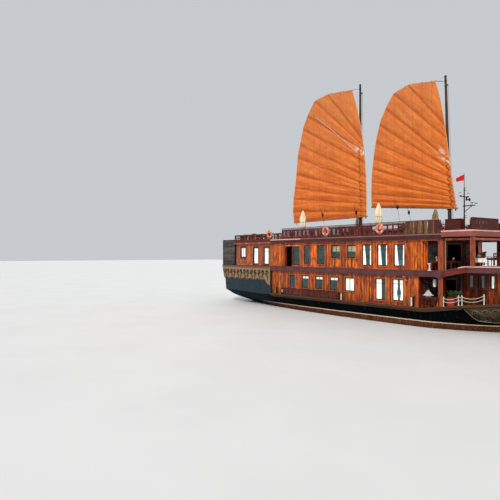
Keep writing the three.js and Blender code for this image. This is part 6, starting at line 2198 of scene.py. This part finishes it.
def sail_cloth(name, sail):
    """The cloth, swelling between its battens, creased where it is laced to the mast."""
    rows, levels = [], []
    low, high = sail.laced(0), sail.laced(1)
    for panel, (_, leech) in enumerate(sail.lines):
        above = sail.lines[panel + 1] if panel + 1 < len(sail.lines) else (sail.luff[-1], sail.leech[-1])
        height = max(above[0].y - sail.lines[panel][0].y, above[1].y - leech.y)
        count = max(5, round(height / PANEL_HEIGHT))
        for r in range(count + (panel + 1 == len(sail.lines))):
            share = r / count
            levels.append(min(panel + share, PANELS) / PANELS)
            row = []
            for k, point in enumerate(sail.row(panel, share)):
                lace = sail.laced((point.y - low.y) / (high.y - low.y)).x
                swell = slack(point, panel, share, k / SAIL_COLUMNS, FULLNESS, lace)
                row.append(sail.place(point, CLOTH_Y - max(-0.004, swell)))
            rows.append(row)
    made = Shape().sheet(rows).piece(f"{name}_sail_cloth", "sail", f"{name}_rig", "sailcloth", smooth=True)
    layer = made.data.uv_layers.new(name="panels")
    for loop in made.data.loops:
        row, column = divmod(loop.vertex_index, SAIL_COLUMNS + 1)
        layer.data[loop.index].uv = (column / SAIL_COLUMNS, levels[row])
    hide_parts(f"{name}_sail")
    return made


def pole(shape, start, end, tall, deep, joints=0.0, taper=0.0, sides=12, steps=16):
    """A bamboo pole from start to end: tall by deep in section, with a raised ring at each joint."""
    along = (end - start).normalized()
    up = Vector((0, 1, 0)).cross(along).normalized()
    length = (end - start).length
    stations = [(length * k / steps, 1.0) for k in range(steps + 1)]
    if joints:
        for k in range(1, int(length / joints)):
            stations += [(k * joints - 0.02, 1.0), (k * joints - 0.006, 1.13), (k * joints + 0.006, 1.13),
                         (k * joints + 0.02, 1.0)]
    rings = []
    for place, swell in sorted(stations):
        share = place / length
        size = swell * (1 - taper * (2 * share - 1) ** 2)
        centre = start + along * place
        rings.append([centre + up * (tall * size * math.sin(t)) + Vector((0, deep * size * math.cos(t), 0))
                      for t in around(sides)])
    return shape.rings(rings)


def lashing(shape, centre, along, radius, turns=3, wire=0.011, pitch=0.02):
    """A few turns of cord round a spar."""
    along = along.normalized()
    across = along.cross(Vector((0, 1, 0))).normalized()
    for k in range(turns):
        middle = centre + along * ((k - (turns - 1) / 2) * pitch)
        ring = [middle + across * (radius[0] * math.cos(t)) + Vector((0, radius[1] * math.sin(t), 0))
                for t in around(12)]
        shape.tube(ring, wire, 5, closed=True)
    return shape


# Bamboo spars: height and depth of the section, distance between joints and taper
BOOM, BATTEN, YARD = (0.072, 0.03, 0.62, 0.12), (0.036, 0.029, 0.42, 0.25), (0.062, 0.03, 0.7, 0.15)
BOOM_REACH, BATTEN_REACH = 0.088, 0.036          # how far each passes the cloth
HOOP_RADIUS, HOOP_WIRE = 0.1925, 0.021
LASHING_DEPTH = 0.045


def rig_spars(name, sail):
    """Boom, yard and battens of bamboo, bolt rope, parrels and lashings, for the frame's plain bars."""
    shape = Shape()
    at = lambda p: sail.place(p, SPAR_Y)
    for k, (luff, leech) in enumerate(sail.lines):
        reach, section = (BATTEN_REACH, BATTEN) if k else (BOOM_REACH, BOOM)
        out = (leech - luff).normalized() * reach
        pole(shape, at(luff - out), at(leech + out), *section)
    for a, b in zip(sail.head, sail.head[1:]):
        pole(shape, at(a), at(b), *YARD)
    shape.paint(2)
    edge = [sail.place(p, CLOTH_Y + 0.004) for p in sail.outline()]
    shape.tube(edge, 0.026, 6, closed=True)
    # Parrels: a wooden hoop round the mast, lashed to its batten
    for k in sail.rig["hoops"]:
        centre = sail.place(sail.on_mast(k))
        shape.paint(0).tube(circle(centre, HOOP_RADIUS, 28), HOOP_WIRE, 8, closed=True)
        shape.paint(1)
        for shift in (-0.14, 0.14):
            middle = centre + Vector((shift, SPAR_Y + 0.03, 0))
            lashing(shape, middle, Vector((1, 0, 0)), (0.055, LASHING_DEPTH), 4)
    for k, (luff, leech) in enumerate(sail.lines):
        count = max(4, int((leech - luff).length / 1.05))
        along = sail.place(leech) - sail.place(luff)
        tall = 0.088 if k == 0 else 0.052
        for i in range(count + 1):
            middle = sail.place(luff.lerp(leech, (i + 0.12) / (count + 0.24)), SPAR_Y - 0.022)
            lashing(shape, middle, along, (tall, LASHING_DEPTH), 2)
    for a, b in zip(sail.head, sail.head[1:]):
        count = round((b - a).length / 0.8)
        for i in range(count):
            middle = sail.place(a.lerp(b, (i + 0.4) / count), SPAR_Y - 0.015)
            lashing(shape, middle, sail.place(b) - sail.place(a), (0.08, LASHING_DEPTH), 3)
    made = shape.piece(f"{name}_spar_set", ["spar", "tan_rope", "edge_rope"], f"{name}_rig", "spar",
                       smooth=40)
    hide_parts(f"{name}_spars")


TAPE_SECTION = [(-0.042, 0.006), (-0.034, 0.017), (0.034, 0.017), (0.042, 0.006)]


def batten_tapes(name, sail):
    """Sewn tapes over the battens on the starboard face."""
    shape = Shape()
    for luff, leech in sail.lines[1:]:
        along = (leech - luff).normalized()
        up = Vector((-along.y, along.x))
        a, b = luff + along * 0.05, leech - along * 0.05
        shape.sheet([[sail.place(a.lerp(b, i / 24) + up * offset, CLOTH_Y - depth) for i in range(25)]
                     for offset, depth in TAPE_SECTION])
    return shape.piece(f"{name}_batten_tapes", "tape", f"{name}_rig", "sailcloth", smooth=False)


LACING_PITCH, REEF_POINTS = 0.24, 7


def sail_lines(name, sail):
    """Lacing down the mast line, a pale rope across the main sail, reef points, sheet on the boom."""
    rig, shape = sail.rig, Shape()
    count = int((sail.laced(1) - sail.laced(0)).length / LACING_PITCH)
    for k in range(count):
        place = sail.laced((k + 0.5) / count)
        swing = 0.13 if k % 2 else -0.13
        ends = [place + Vector((-swing, -0.12)), place + Vector((0.0, 0.02)), place + Vector((swing, 0.12))]
        shape.paint(1).tube([sail.place(p, CLOTH_Y - d) for p, d in zip(ends, (0.02, 0.055, 0.02))], 0.016, 5)
    shape.paint(0)
    if "rope" in rig:
        shape.tube([sail.place(Vector(p), CLOTH_Y - 0.12) for p in rig["rope"]], 0.022, 6)
    shape.paint(1)
    for k, (luff, leech) in enumerate(sail.lines[1:6], 1):
        for i in range(1, REEF_POINTS + 1):
            top = sail.place(luff.lerp(leech, i / (REEF_POINTS + 1)), CLOTH_Y - 0.022)
            end = Vector((0.02 * math.sin(i * 2 + k), -0.008, -0.17))
            shape.tube([top, top + Vector((0.012, -0.014, -0.05)), top + end], 0.006, 4)
    shape.paint(0)
    clew = Vector(rig["clew"])
    for i in range(4):
        centre = sail.place(clew + Vector((0.34 + 0.03 * i, -0.16)), SPAR_Y)
        ring = [centre + Vector((0.05 * math.cos(t), 0.02 * i - 0.03 + 0.03 * math.cos(t),
                                 0.17 * math.sin(t)))
                for t in around(16)]
        shape.tube(ring, 0.013, 6, closed=True)
    return shape.piece(f"{name}_sail_lines", ["rope", "dark_rope"], f"{name}_rig", "rope", smooth=45)


def mast_axis(rig):
    """Foot of a mast, and the direction in which it rises."""
    return Vector((rig["mast"], 0, MAST_FOOT)), Vector((-math.tan(rig["lean"]), 0, 1)).normalized()


def sling_and_blocks(name, sail):
    """Halyard sling at the masthead, blocks at the corners of the boom, and the sheet's blocks and falls."""
    rig, sling, blocks = sail.rig, Shape(), Shape()
    foot, lean = mast_axis(rig)
    head = foot + lean * (rig["top"] - MAST_FOOT - 0.42)
    sling.tube(circle(head, 0.115, 20), 0.014, 6, closed=True)
    for share in (0.02, 0.55):
        yard = sail.place(sail.head[0].lerp(sail.head[1], share), SPAR_Y) + Vector((0, 0, 0.07))
        sling.tube([head + Vector((-0.11, -0.04, 0)), yard], 0.012, 6)
    for corner, shift in (("clew", (0.3, -0.1)), ("tack", (-0.1, -0.12))):
        centre = sail.place(Vector(rig[corner]) + Vector(shift), SPAR_Y)
        block(blocks, centre, 0.05, 0.03, (-0.08, 0.06))
        blocks.lathe([(0.03, -0.036), (0.03, 0.036)], centre, 12, "Y")
    for x, z in rig["blocks"]:
        centre = sail.place(Vector((x, z)), CLOTH_Y - 0.2)
        sling.tube([sail.place(Vector((x - 0.45, z + 0.75)), CLOTH_Y - 0.1),
                    centre + Vector((-0.05, 0, 0.12))], 0.014, 6)
        sling.tube([centre + Vector((0, 0, 0.1)), Vector((centre.x + 0.15, -0.3, ROOF_TOP + 0.95))], 0.01, 6)
        blocks.lathe([(0.02, -0.05), (0.1, -0.04), (0.11, 0.0), (0.1, 0.04), (0.02, 0.05)], centre, 16, "Y")
        block(blocks, centre, 0.06, 0.05, (-0.17, 0.18))
    sling.piece(f"{name}_halyard_sling", "dark_rope", f"{name}_rig", "rope", smooth=45)
    blocks.piece(f"{name}_sheet_blocks", "black", f"{name}_rig", "spar", smooth=40)


def block(shape, centre, half_wide, half_deep, rise_and_fall):
    """The shell of a pulley block round its axle."""
    below, above = rise_and_fall
    shape.box((centre.x - half_wide, centre.x + half_wide), (centre.y - half_deep, centre.y + half_deep),
              (centre.z + below, centre.z + above), 0.02)


BANDS, MASTHEAD = (0.045, 0.93, 0.965), 0.945      # shares of the mast's length
TRUCK = [(0.05, -0.04), (0.1, -0.03), (0.11, 0.02), (0.07, 0.05), (0.02, 0.06)]
COLLAR = [(0.16, 0.0), (0.3, 0.0), (0.31, 0.03), (0.27, 0.1), (0.2, 0.13), (0.152, 0.15)]
PIN = [(0.012, -0.2), (0.015, -0.02), (0.024, 0.0), (0.02, 0.05), (0.026, 0.13), (0.012, 0.16)]
PIN_RAIL = {"y": 0.42, "half": 0.7, "post": 0.57, "tall": 0.95, "pins": 4, "pitch": 0.24}


def pin_rail(timber, ropes, mast, side):
    """A rail on two posts beside a mast, with coils of rope on its pins."""
    y, top = side * PIN_RAIL["y"], ROOF_TOP + PIN_RAIL["tall"]
    for x in (mast - PIN_RAIL["post"], mast + PIN_RAIL["post"]):
        timber.box((x - 0.05, x + 0.05), (y - 0.05, y + 0.05), (ROOF_TOP, top), 0.012)
    timber.box((mast - PIN_RAIL["half"], mast + PIN_RAIL["half"]), (y - 0.06, y + 0.06),
               (top - 0.09, top - 0.01), 0.02)
    for k in range(PIN_RAIL["pins"]):
        x = mast + (k - (PIN_RAIL["pins"] - 1) / 2) * PIN_RAIL["pitch"]
        timber.lathe(PIN, (x, y, top), 10)
        for i in range(3):
            out = y + side * (0.07 + 0.012 * i)
            coil = [Vector((x + 0.05 * math.cos(t), out, top - 0.25 + 0.2 * math.sin(t)))
                    for t in around(14)]
            ropes.tube(coil, 0.012, 6, closed=True)


def mast_fittings(name, sail):
    """Iron bands, truck, masthead block, halyard falls and the pin rails by each mast's foot."""
    rig, origin = sail.rig, (0, 0, 0)
    foot, lean = mast_axis(rig)
    length = (rig["top"] - MAST_FOOT) / lean.z
    turn = Matrix.Rotation(-rig["lean"], 4, "Y")
    iron, ropes, timber = Shape(), Shape(), Shape()
    for share in BANDS:
        radius = MAST_RADII[0] + share * (MAST_RADII[1] - MAST_RADII[0])
        band = [(radius, -0.05), (radius + 0.012, -0.04), (radius + 0.012, 0.04), (radius, 0.05)]
        iron.join(Shape().lathe(band, origin,
                                24).moved(Matrix.Translation(foot + lean * (length * share)) @ turn))
    truck = Matrix.Translation(foot + lean * (length - 0.05)) @ turn
    iron.join(Shape().lathe(TRUCK, origin, 20).moved(truck))
    timber.lathe(COLLAR, foot, 28)
    head = foot + lean * (length * MASTHEAD)
    iron.box((head.x - 0.04, head.x + 0.04), (0.1, 0.3), (head.z - 0.05, head.z + 0.05), 0.015)
    for shift in (-0.05, 0.05):
        end = Vector((rig["mast"] + shift, 0.3, MAST_FOOT + 0.95))
        ropes.tube([head + Vector((shift, 0.26, -0.05)), end], 0.012, 6)
    for side in (1, -1):
        pin_rail(timber, ropes, rig["mast"], side)
    iron.piece(f"{name}_mast_iron", "iron", slot="iron", smooth=40)
    ropes.piece(f"{name}_mast_ropes", "tan_rope", slot="rope", smooth=45)
    timber.piece(f"{name}_mast_timber", "trim", slot="dark_wall", smooth=40)


def rigs():
    """Sail, spars and lines of both masts."""
    for name, rig in RIGS.items():
        sail = Sail(rig)
        cloth = sail_cloth(name, sail)
        rig_spars(name, sail)
        tapes = batten_tapes(name, sail)
        lines = sail_lines(name, sail)
        sling_and_blocks(name, sail)
        mast_fittings(name, sail)


# Gear: parasols, flag, lifebuoys, signal mast, propeller and the fittings at the bow
PARASOLS = {"aft_stbd": (-5.65, -3.8), "aft_port": (-5.65, 3.8), "mid_stbd": (3.39, -3.8),
            "mid_port": (3.39, 3.8)}
# Closed canopy: height above the roof and mean radius, from hem to crown
CANOPY = [(0.95, 0.17), (1.05, 0.2), (1.2, 0.235), (1.38, 0.25), (1.55, 0.232), (1.8, 0.242), (2.05, 0.225),
          (2.25, 0.18), (2.45, 0.12), (2.6, 0.065), (2.68, 0.032)]
RIBS, CANOPY_ROWS = 8, 40
STRAP_Z, STRAP_RADIUS = 1.55, 0.246
PARASOL_FOOT = [(0.03, 0), (0.3, 0.005), (0.31, 0.03), (0.29, 0.07), (0.12, 0.1), (0.05, 0.2),
                (0.045, 0.24)]
FINIAL = [(0.03, 2.64), (0.05, 2.68), (0.03, 2.7), (0.026, 2.72), (0.04, 2.75), (0.012, 2.77)]


def canopy_rows(x, y):
    """Rows of points of a closed canopy, from its hem to its crown."""
    rows = []
    for step in range(CANOPY_ROWS + 1):
        place = step / CANOPY_ROWS * (len(CANOPY) - 1)
        k = min(int(place), len(CANOPY) - 2)
        z, radius = Vector(CANOPY[k]).lerp(Vector(CANOPY[k + 1]), place - k)
        drawn = 0.35 if abs(z - STRAP_Z) < 0.06 else 1.0
        deep = 0.3 * min(1.0, max(0.25, 1.4 - abs(z - 1.5))) * drawn
        row = []
        for i in range(RIBS * 8 + 1):
            turn = 2 * math.pi * i / (RIBS * 8)
            pleat = math.cos(RIBS * turn + 0.5 * math.sin(1.7 * z))
            loose = 0.06 * math.sin(3 * turn + 5 * z)
            reach = radius * (1 + deep * (pleat - 0.35) + loose)
            hem = 0.03 * pleat if z < 1.0 else 0.0
            row.append((x + reach * math.cos(turn), y + reach * math.sin(turn), ROOF_TOP + z + hem))
        rows.append(row)
    return rows


def parasol(name, x, y):
    """A closed parasol: pleated canvas gathered round its pole, with a strap, a foot and a finial."""
    canopy = Shape().sheet(canopy_rows(x, y))
    cloth = canopy.piece(f"parasol_canopy_{name}", "awning", slot="awning_cloth", smooth=True)
    shape = Shape().lathe(PARASOL_FOOT, (x, y, ROOF_TOP), 28)
    shape.paint(1).tube([(x, y, ROOF_TOP + 0.05), (x, y, ROOF_TOP + 2.68)], 0.026, 14)
    shape.lathe(FINIAL, (x, y, ROOF_TOP), 16)
    shape.paint(2).tube(circle((x, y, ROOF_TOP + STRAP_Z), STRAP_RADIUS, 28), 0.016, 6, closed=True)
    shape.paint(1)
    for k in range(RIBS):
        turn = 2 * math.pi * (k + 0.5) / RIBS
        way = Vector((math.cos(turn), math.sin(turn), 0))
        foot = Vector((x, y, ROOF_TOP + 1.02)) + way * 0.1
        shape.tube([foot, Vector((x, y, ROOF_TOP + 2.62)) + way * 0.02], 0.007, 5)
    stand = shape.piece(f"parasol_stand_{name}", ["iron", "spar", "tape"], slot="spar", smooth=40)
    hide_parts(f"parasol_{name}")


def flag():
    """The flag, rippling aft from its staff, with a hem and two toggles."""
    low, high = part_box("flag")
    rows = []
    for r in range(13):
        v = r / 12
        row = []
        for k in range(33):
            u = k / 32
            ripple = 0.05 * u ** 0.8 * math.sin(9.5 * u + 1.6 * v) + 0.012 * math.sin(23 * u - 3 * v)
            z = low.z + (high.z - low.z) * (v * (1 - 0.45 * u ** 1.2) + 0.02 * math.sin(7 * u) * (1 - v))
            row.append((high.x - 0.01 - (high.x - low.x - 0.02) * u, ripple, z))
        rows.append(row)
    cloth = Shape().sheet(rows).piece("flag_cloth", "flag", slot="flag_cloth", smooth=True)
    cords = Shape()
    for z in (low.z + 0.03, high.z - 0.03):
        cords.tube(circle((high.x + 0.022, 0, z), 0.034, 14), 0.007, 6, closed=True)
    cords.tube([(high.x - 0.008, 0.0, low.z - 0.01), (high.x - 0.008, 0.0, high.z + 0.01)], 0.008, 6)
    toggles = cords.piece("flag_toggles", "rope", slot="rope", smooth=40)
    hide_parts("flag")


LIFEBUOYS = {"aft": -10.15, "mid": -2.15, "fore": 3.88}
BUOY_Z, BUOY_RADIUS, BUOY_TUBE = 7.35, 0.31, 0.085
BAND_TUBE, GRAB_RADIUS = 0.089, 0.402


def lifebuoys():
    """White bands, grab rope and hanging hook of each lifebuoy."""
    bands, ropes = Shape(), Shape()
    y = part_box("lifebuoy_mid_stbd")[0].y + BUOY_TUBE * 0.87
    for x in LIFEBUOYS.values():
        at = lambda turn, reach, out=0.0: Vector((x + reach * math.cos(turn), y + out,
                                                  BUOY_Z + reach * math.sin(turn)))
        for quarter in range(4):
            middle = math.radians(45 + 90 * quarter)
            turns = [middle + math.radians(-9 + 3 * k) for k in range(7)]
            bands.rings([[at(turn, BUOY_RADIUS + BAND_TUBE * math.cos(s), BAND_TUBE * math.sin(s))
                          for s in around(18)] for turn in turns])
            shares = [k / 12 for k in range(13)]
            ropes.tube([at(middle + math.pi / 2 * share, GRAB_RADIUS + 0.035 * math.sin(math.pi * share))
                        for share in shares], 0.009, 6)
        ropes.tube([at(math.pi / 2, 0.225, 0.02), at(math.pi / 2, 0.2, 0.06), at(math.pi / 2, 0.24, 0.1)],
                   0.012, 6)
    both(bands, "lifebuoy_bands", "buoy_band", slot="lifebuoy", smooth=50)
    both(ropes, "lifebuoy_lines", "rope", slot="rope", smooth=50)


SIGNAL_MAST_X, YARDARM_Z, YARDARM_Y = 8.5, 9.76, 0.5
MAST_LIGHTS = (8.1, 10.2)
STEPS, STEP_START, STEP_RISE = 7, 7.3, 0.42
AERIALS = ((-0.3, 11.0), (0.28, 10.75))      # place across and level of the tip
HORN = [(0.03, -0.16), (0.035, 0.0), (0.06, 0.1), (0.13, 0.18), (0.12, 0.18), (0.03, 0.06)]
RADAR_FOOT = [(0.1, 0.0), (0.125, 0.01), (0.12, 0.07), (0.095, 0.1), (0.06, 0.104)]


def signal_gear():
    """Lamps, steps, aerials, horn and bracket of the signal mast."""
    x = SIGNAL_MAST_X
    iron, white, glow = Shape(), Shape(), Shape()
    for y in (-YARDARM_Y, YARDARM_Y):
        place = (x, y, YARDARM_Z)
        iron.lathe([(0.05, 0), (0.09, 0.01), (0.09, 0.04), (0.05, 0.05)], place, 16)
        glow.lathe([(0.065, 0.05), (0.072, 0.1), (0.065, 0.2)], place, 16)
        iron.lathe([(0.08, 0.2), (0.09, 0.215), (0.05, 0.25), (0.012, 0.26)], place, 16)
    for z in MAST_LIGHTS:
        iron.box((x - 0.02, x + 0.18), (-0.05, 0.05), (z, z + 0.03), 0.008)
        glow.lathe([(0.05, 0.03), (0.055, 0.06), (0.05, 0.16)], (x + 0.13, 0, z), 14)
        iron.lathe([(0.065, 0.16), (0.06, 0.19), (0.012, 0.2)], (x + 0.13, 0, z), 14)
    iron.tube([(x + 0.05, 0, 8.6), (x + 0.62, 0, 8.98)], 0.028, 8)
    for k in range(STEPS):
        z = STEP_START + STEP_RISE * k
        side = 1 if k % 2 else -1
        iron.tube([(x, side * 0.05, z), (x, side * 0.2, z), (x, side * 0.2, z + 0.03)], 0.011, 6)
    iron.lathe([(0.06, -0.03), (0.11, -0.02), (0.11, 0.03), (0.065, 0.05)], (x, 0, 9.0), 18)
    iron.lathe([(0.19, 0.0), (0.19, 0.02), (0.1, 0.05), (0.075, 0.08)], (x, 0, ROOF_TOP), 18)
    for y, top in AERIALS:
        white.tube([(x, y, YARDARM_Z), (x, y, YARDARM_Z + 0.09), (x - 0.01, y, top)], [0.018, 0.014, 0.006],
                   8)
    iron.lathe(HORN, (x + 0.12, 0.24, 9.5), 16, "X")
    iron.box((x, x + 0.1), (0.2, 0.26), (9.44, 9.7), 0.01)
    iron.piece("signal_mast_fittings", "black", slot="iron", smooth=40)
    white.piece("signal_mast_aerials", "enamel", slot="white_enamel", smooth=40)
    glow.piece("signal_mast_lamps", "lamp_glass", slot="white_enamel", smooth=40)


def radar_housing():
    """The radar's turning bar with round edges, on its foot."""
    radar = Shape()
    low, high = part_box("radar_scanner")
    middle = (low + high) / 2
    radar.lathe(RADAR_FOOT, (middle.x, middle.y, low.z + 0.002), 24)
    rings = []
    for k in range(17):
        y = middle.y + (k / 16 - 0.5) * (high.y - low.y)
        size = 1.0 if 0 < k < 16 else 0.72
        rings.append([Vector((middle.x + 0.062 * size * math.cos(t), y,
                              high.z - 0.05 + 0.052 * size * math.sin(t)))
                      for t in around(16)])
    radar.rings(rings)
    face = (middle.x + 0.055, middle.x + 0.066)
    radar.paint(1).box(face, (low.y + 0.06, high.y - 0.06), (high.z - 0.07, high.z - 0.03), 0.004)
    made = radar.piece("radar_housing", ["enamel", "black"], "radar", "white_enamel", smooth=40)
    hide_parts("radar_scanner")


BOSS = [(0.02, -0.215), (0.045, -0.2), (0.07, -0.17), (0.1, -0.1), (0.108, 0.0), (0.106, 0.12), (0.1, 0.21)]
BLADES, BLADE_ROWS = 4, 10
BLADE_ROOT, BLADE_REACH, BLADE_WIDTH, BLADE_THICK = 0.085, 0.29, 0.29, 0.024
SCREW_PITCH = 0.62             # how far the propeller would move on in one turn
BLADE_SKEW = 0.18


def propeller():
    """Four twisted blades with round tips on a tapered boss."""
    low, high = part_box("propeller")
    centre = (low + high) / 2
    shape = Shape().lathe(BOSS, centre, 24, "X")
    for blade_angle in around(BLADES):
        rings = []
        for row in range(BLADE_ROWS + 1):
            share = row / BLADE_ROWS
            reach = BLADE_ROOT + share * BLADE_REACH
            chord = BLADE_WIDTH * math.sin(math.pi * min(1.0, 0.26 + 0.72 * share)) ** 0.7 + 0.012
            pitch = math.atan2(SCREW_PITCH, 2 * math.pi * reach)
            thick = BLADE_THICK * (1 - 0.75 * share)
            ring = []
            for t in around(16):
                a, b = chord / 2 * math.cos(t), thick / 2 * math.sin(t)
                along = a * math.sin(pitch) + b * math.cos(pitch)
                swing = (a * math.cos(pitch) - b * math.sin(pitch)) / reach + BLADE_SKEW * share ** 2
                turn = blade_angle + swing
                ring.append(centre + Vector((along, reach * math.sin(turn), reach * math.cos(turn))))
            rings.append(ring)
        shape.rings(rings)
    made = shape.piece("propeller_wheel", "bronze", "propeller", "bronze", smooth=45)
    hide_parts("propeller")


BULWARK_FROM, BULWARK_LONG, BULWARK_POINTS = 12.95, 6.1, 24
BULWARK_CAP = [(-0.12, -0.005), (0.035, -0.005), (0.045, 0.02), (0.03, 0.05), (-0.115, 0.05), (-0.13, 0.02)]
WINDLASS_X, WINDLASS_Z, GYPSY_Y, CLUTCH_Y = 15.55, 2.85, 0.86, (-0.36, 0.0, 0.36)
GYPSY = [(0.19, -0.12), (0.2, -0.1), (0.13, -0.06), (0.12, 0.0), (0.13, 0.06), (0.2, 0.1), (0.19, 0.12)]
CLUTCH = [(0.18, -0.03), (0.26, -0.025), (0.26, 0.025), (0.18, 0.03)]
BITT_X, BITT_Y, BITT_TOP = 14.6, 1.4, 2.95
WHELPS = 8


def bulwark_caps():
    """Cap and frames of the bow bulwark."""
    timber = Shape()
    tree = tree_of("bow_bulwark")
    path = []
    for k in range(BULWARK_POINTS + 1):
        x = BULWARK_FROM + BULWARK_LONG * k / BULWARK_POINTS
        point = skin(tree, x, deck_z(x) + 0.3)[0]
        if point is not None:
            top = top_of(tree, x, point.y + 0.03)
            path.append(Vector((x, point.y, top if top else deck_z(x) + 0.8)))
    moulding(timber, path, BULWARK_CAP)
    for point in path[1::2]:
        across, up = (point.y + 0.07, point.y + 0.13), (deck_z(point.x) + 0.13, point.z)
        timber.box((point.x - 0.035, point.x + 0.035), across, up, 0.01)
    both(timber, "bow_caps", "trim", slot="dark_wall", smooth=40)


def bow_gear():
    """Gypsies, whelps, clutches and brake lever of the windlass, bitt caps and pins, anchor ring."""
    iron = Shape()
    for side in (-1, 1):
        y = side * GYPSY_Y
        iron.lathe(GYPSY, (WINDLASS_X, y, WINDLASS_Z), 24, "Y")
        for turn in around(WHELPS):
            x, z = WINDLASS_X + 0.135 * math.cos(turn), WINDLASS_Z + 0.135 * math.sin(turn)
            iron.tube([(x, y - 0.06, z), (x, y + 0.06, z)], 0.014, 6)
    for y in CLUTCH_Y:
        iron.lathe(CLUTCH, (WINDLASS_X, y, WINDLASS_Z), 28, "Y")
    iron.tube([(15.4, 0.44, 2.95), (15.3, 0.44, 3.3), (15.24, 0.44, 3.46)], 0.022, 8)
    iron.ball((15.23, 0.44, 3.48), (0.045, 0.045, 0.045), 12, 8)
    for y in (-BITT_Y, BITT_Y):
        iron.lathe([(0.15, 0), (0.165, 0.02), (0.15, 0.05), (0.02, 0.07)], (BITT_X, y, BITT_TOP), 20)
        iron.tube([(BITT_X - 0.16, y, BITT_TOP - 0.15), (BITT_X + 0.16, y, BITT_TOP - 0.15)], 0.03, 10)
    iron.piece("windlass_fittings", "iron", slot="iron", smooth=40)
    low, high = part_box("anchor")
    ring = Shape()
    middle = Vector(((low.x + high.x) / 2, 0, high.z + 0.03))
    ring.tube(circle(middle, 0.085, 20, "YZ"), 0.02, 8, closed=True)
    ring.tube([middle + Vector((0, -0.32, -0.16)), middle + Vector((0, 0.32, -0.16))], 0.024, 10)
    ring.piece("anchor_ring", "iron", slot="iron", smooth=40)


STRAPS, STRAP_LONG, STRAP_BOLTS, BOLT_PITCH = (-1.4, -1.05, -0.7), 1.1, 5, 0.2


def rudder_irons():
    """Bolted straps on both faces of the rudder."""
    shape = Shape()
    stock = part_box("rudder")[1].x - 0.07
    for z in STRAPS:
        shape.box((stock - STRAP_LONG, stock), (-0.058, -0.046), (z - 0.04, z + 0.04), 0.004)
        shape.box((stock - STRAP_LONG, stock), (0.046, 0.058), (z - 0.04, z + 0.04), 0.004)
        for k in range(STRAP_BOLTS):
            x = stock - 0.15 - BOLT_PITCH * k
            shape.lathe([(0.012, -0.012), (0.02, 0.006)], (x, -0.06, z), 8, "Y")
            shape.lathe([(0.02, -0.006), (0.012, 0.012)], (x, 0.06, z), 8, "Y")
    shape.piece("rudder_straps", "iron", "rudder", "iron", smooth=40)


def gear():
    """Parasols, flag, lifebuoys, signal mast, propeller, bow fittings and rudder straps."""
    for name, place in PARASOLS.items():
        parasol(name, *place)
    flag()
    lifebuoys()
    signal_gear()
    radar_housing()
    propeller()
    bulwark_caps()
    bow_gear()
    rudder_irons()


dress_frame()
stern_relief()
bow_relief()
transom_relief()
hull_fittings()
cabin_sides()
cross_walls()
fore_cabin_sides()
sliding_doors()
decks()
rigs()
gear()


# Studio: a pale floor, soft lights and an even sky
FLOOR_HALF, WATERLINE = 400.0, 0.0
SKY, SKY_STRENGTH = (0.92, 0.95, 1.0, 1.0), 0.62
LIGHTS = (
    # name, direction towards the light, strength, size as an angle, colour
    ("key", (0.55, -0.75, 0.62), 2.2, 9, (1.0, 0.93, 0.82)),
    ("fill", (-0.8, 0.55, 0.45), 0.6, 40, (0.95, 0.97, 1.0)),
)


def make_stage():
    """A wide pale floor at the waterline."""
    floor = Shape().sheet([[(x, y, WATERLINE) for x in (-FLOOR_HALF, FLOOR_HALF)]
                           for y in (-FLOOR_HALF, FLOOR_HALF)])
    mesh = bpy.data.meshes.new("floor")
    mesh.from_pydata(floor.points, [], floor.faces)
    look = Look("studio_floor", roughness=0.85)
    look.colour(look.ramp(look.noise(0.2, 3), [(0.4, rgb(226, 227, 228)), (0.6, rgb(229, 230, 231))]))
    mesh.materials.append(look.material)
    made = bpy.data.objects.new("floor", mesh)
    bpy.context.scene.collection.objects.link(made)


def make_lights():
    """An even sky, a warm light and a soft cool one against it."""
    world = bpy.data.worlds.new("studio")
    world.use_nodes = True
    background = world.node_tree.nodes["Background"]
    background.inputs["Color"].default_value = SKY
    background.inputs["Strength"].default_value = SKY_STRENGTH
    bpy.context.scene.world = world
    for name, towards, strength, angle, colour in LIGHTS:
        data = bpy.data.lights.new(name, "SUN")
        data.energy, data.angle, data.color = strength, math.radians(angle), colour
        light = bpy.data.objects.new(name, data)
        light.rotation_euler = Vector(towards).to_track_quat("Z", "Y").to_euler()
        bpy.context.scene.collection.objects.link(light)
    bpy.context.scene.view_settings.view_transform = "Standard"


make_stage()
make_lights()
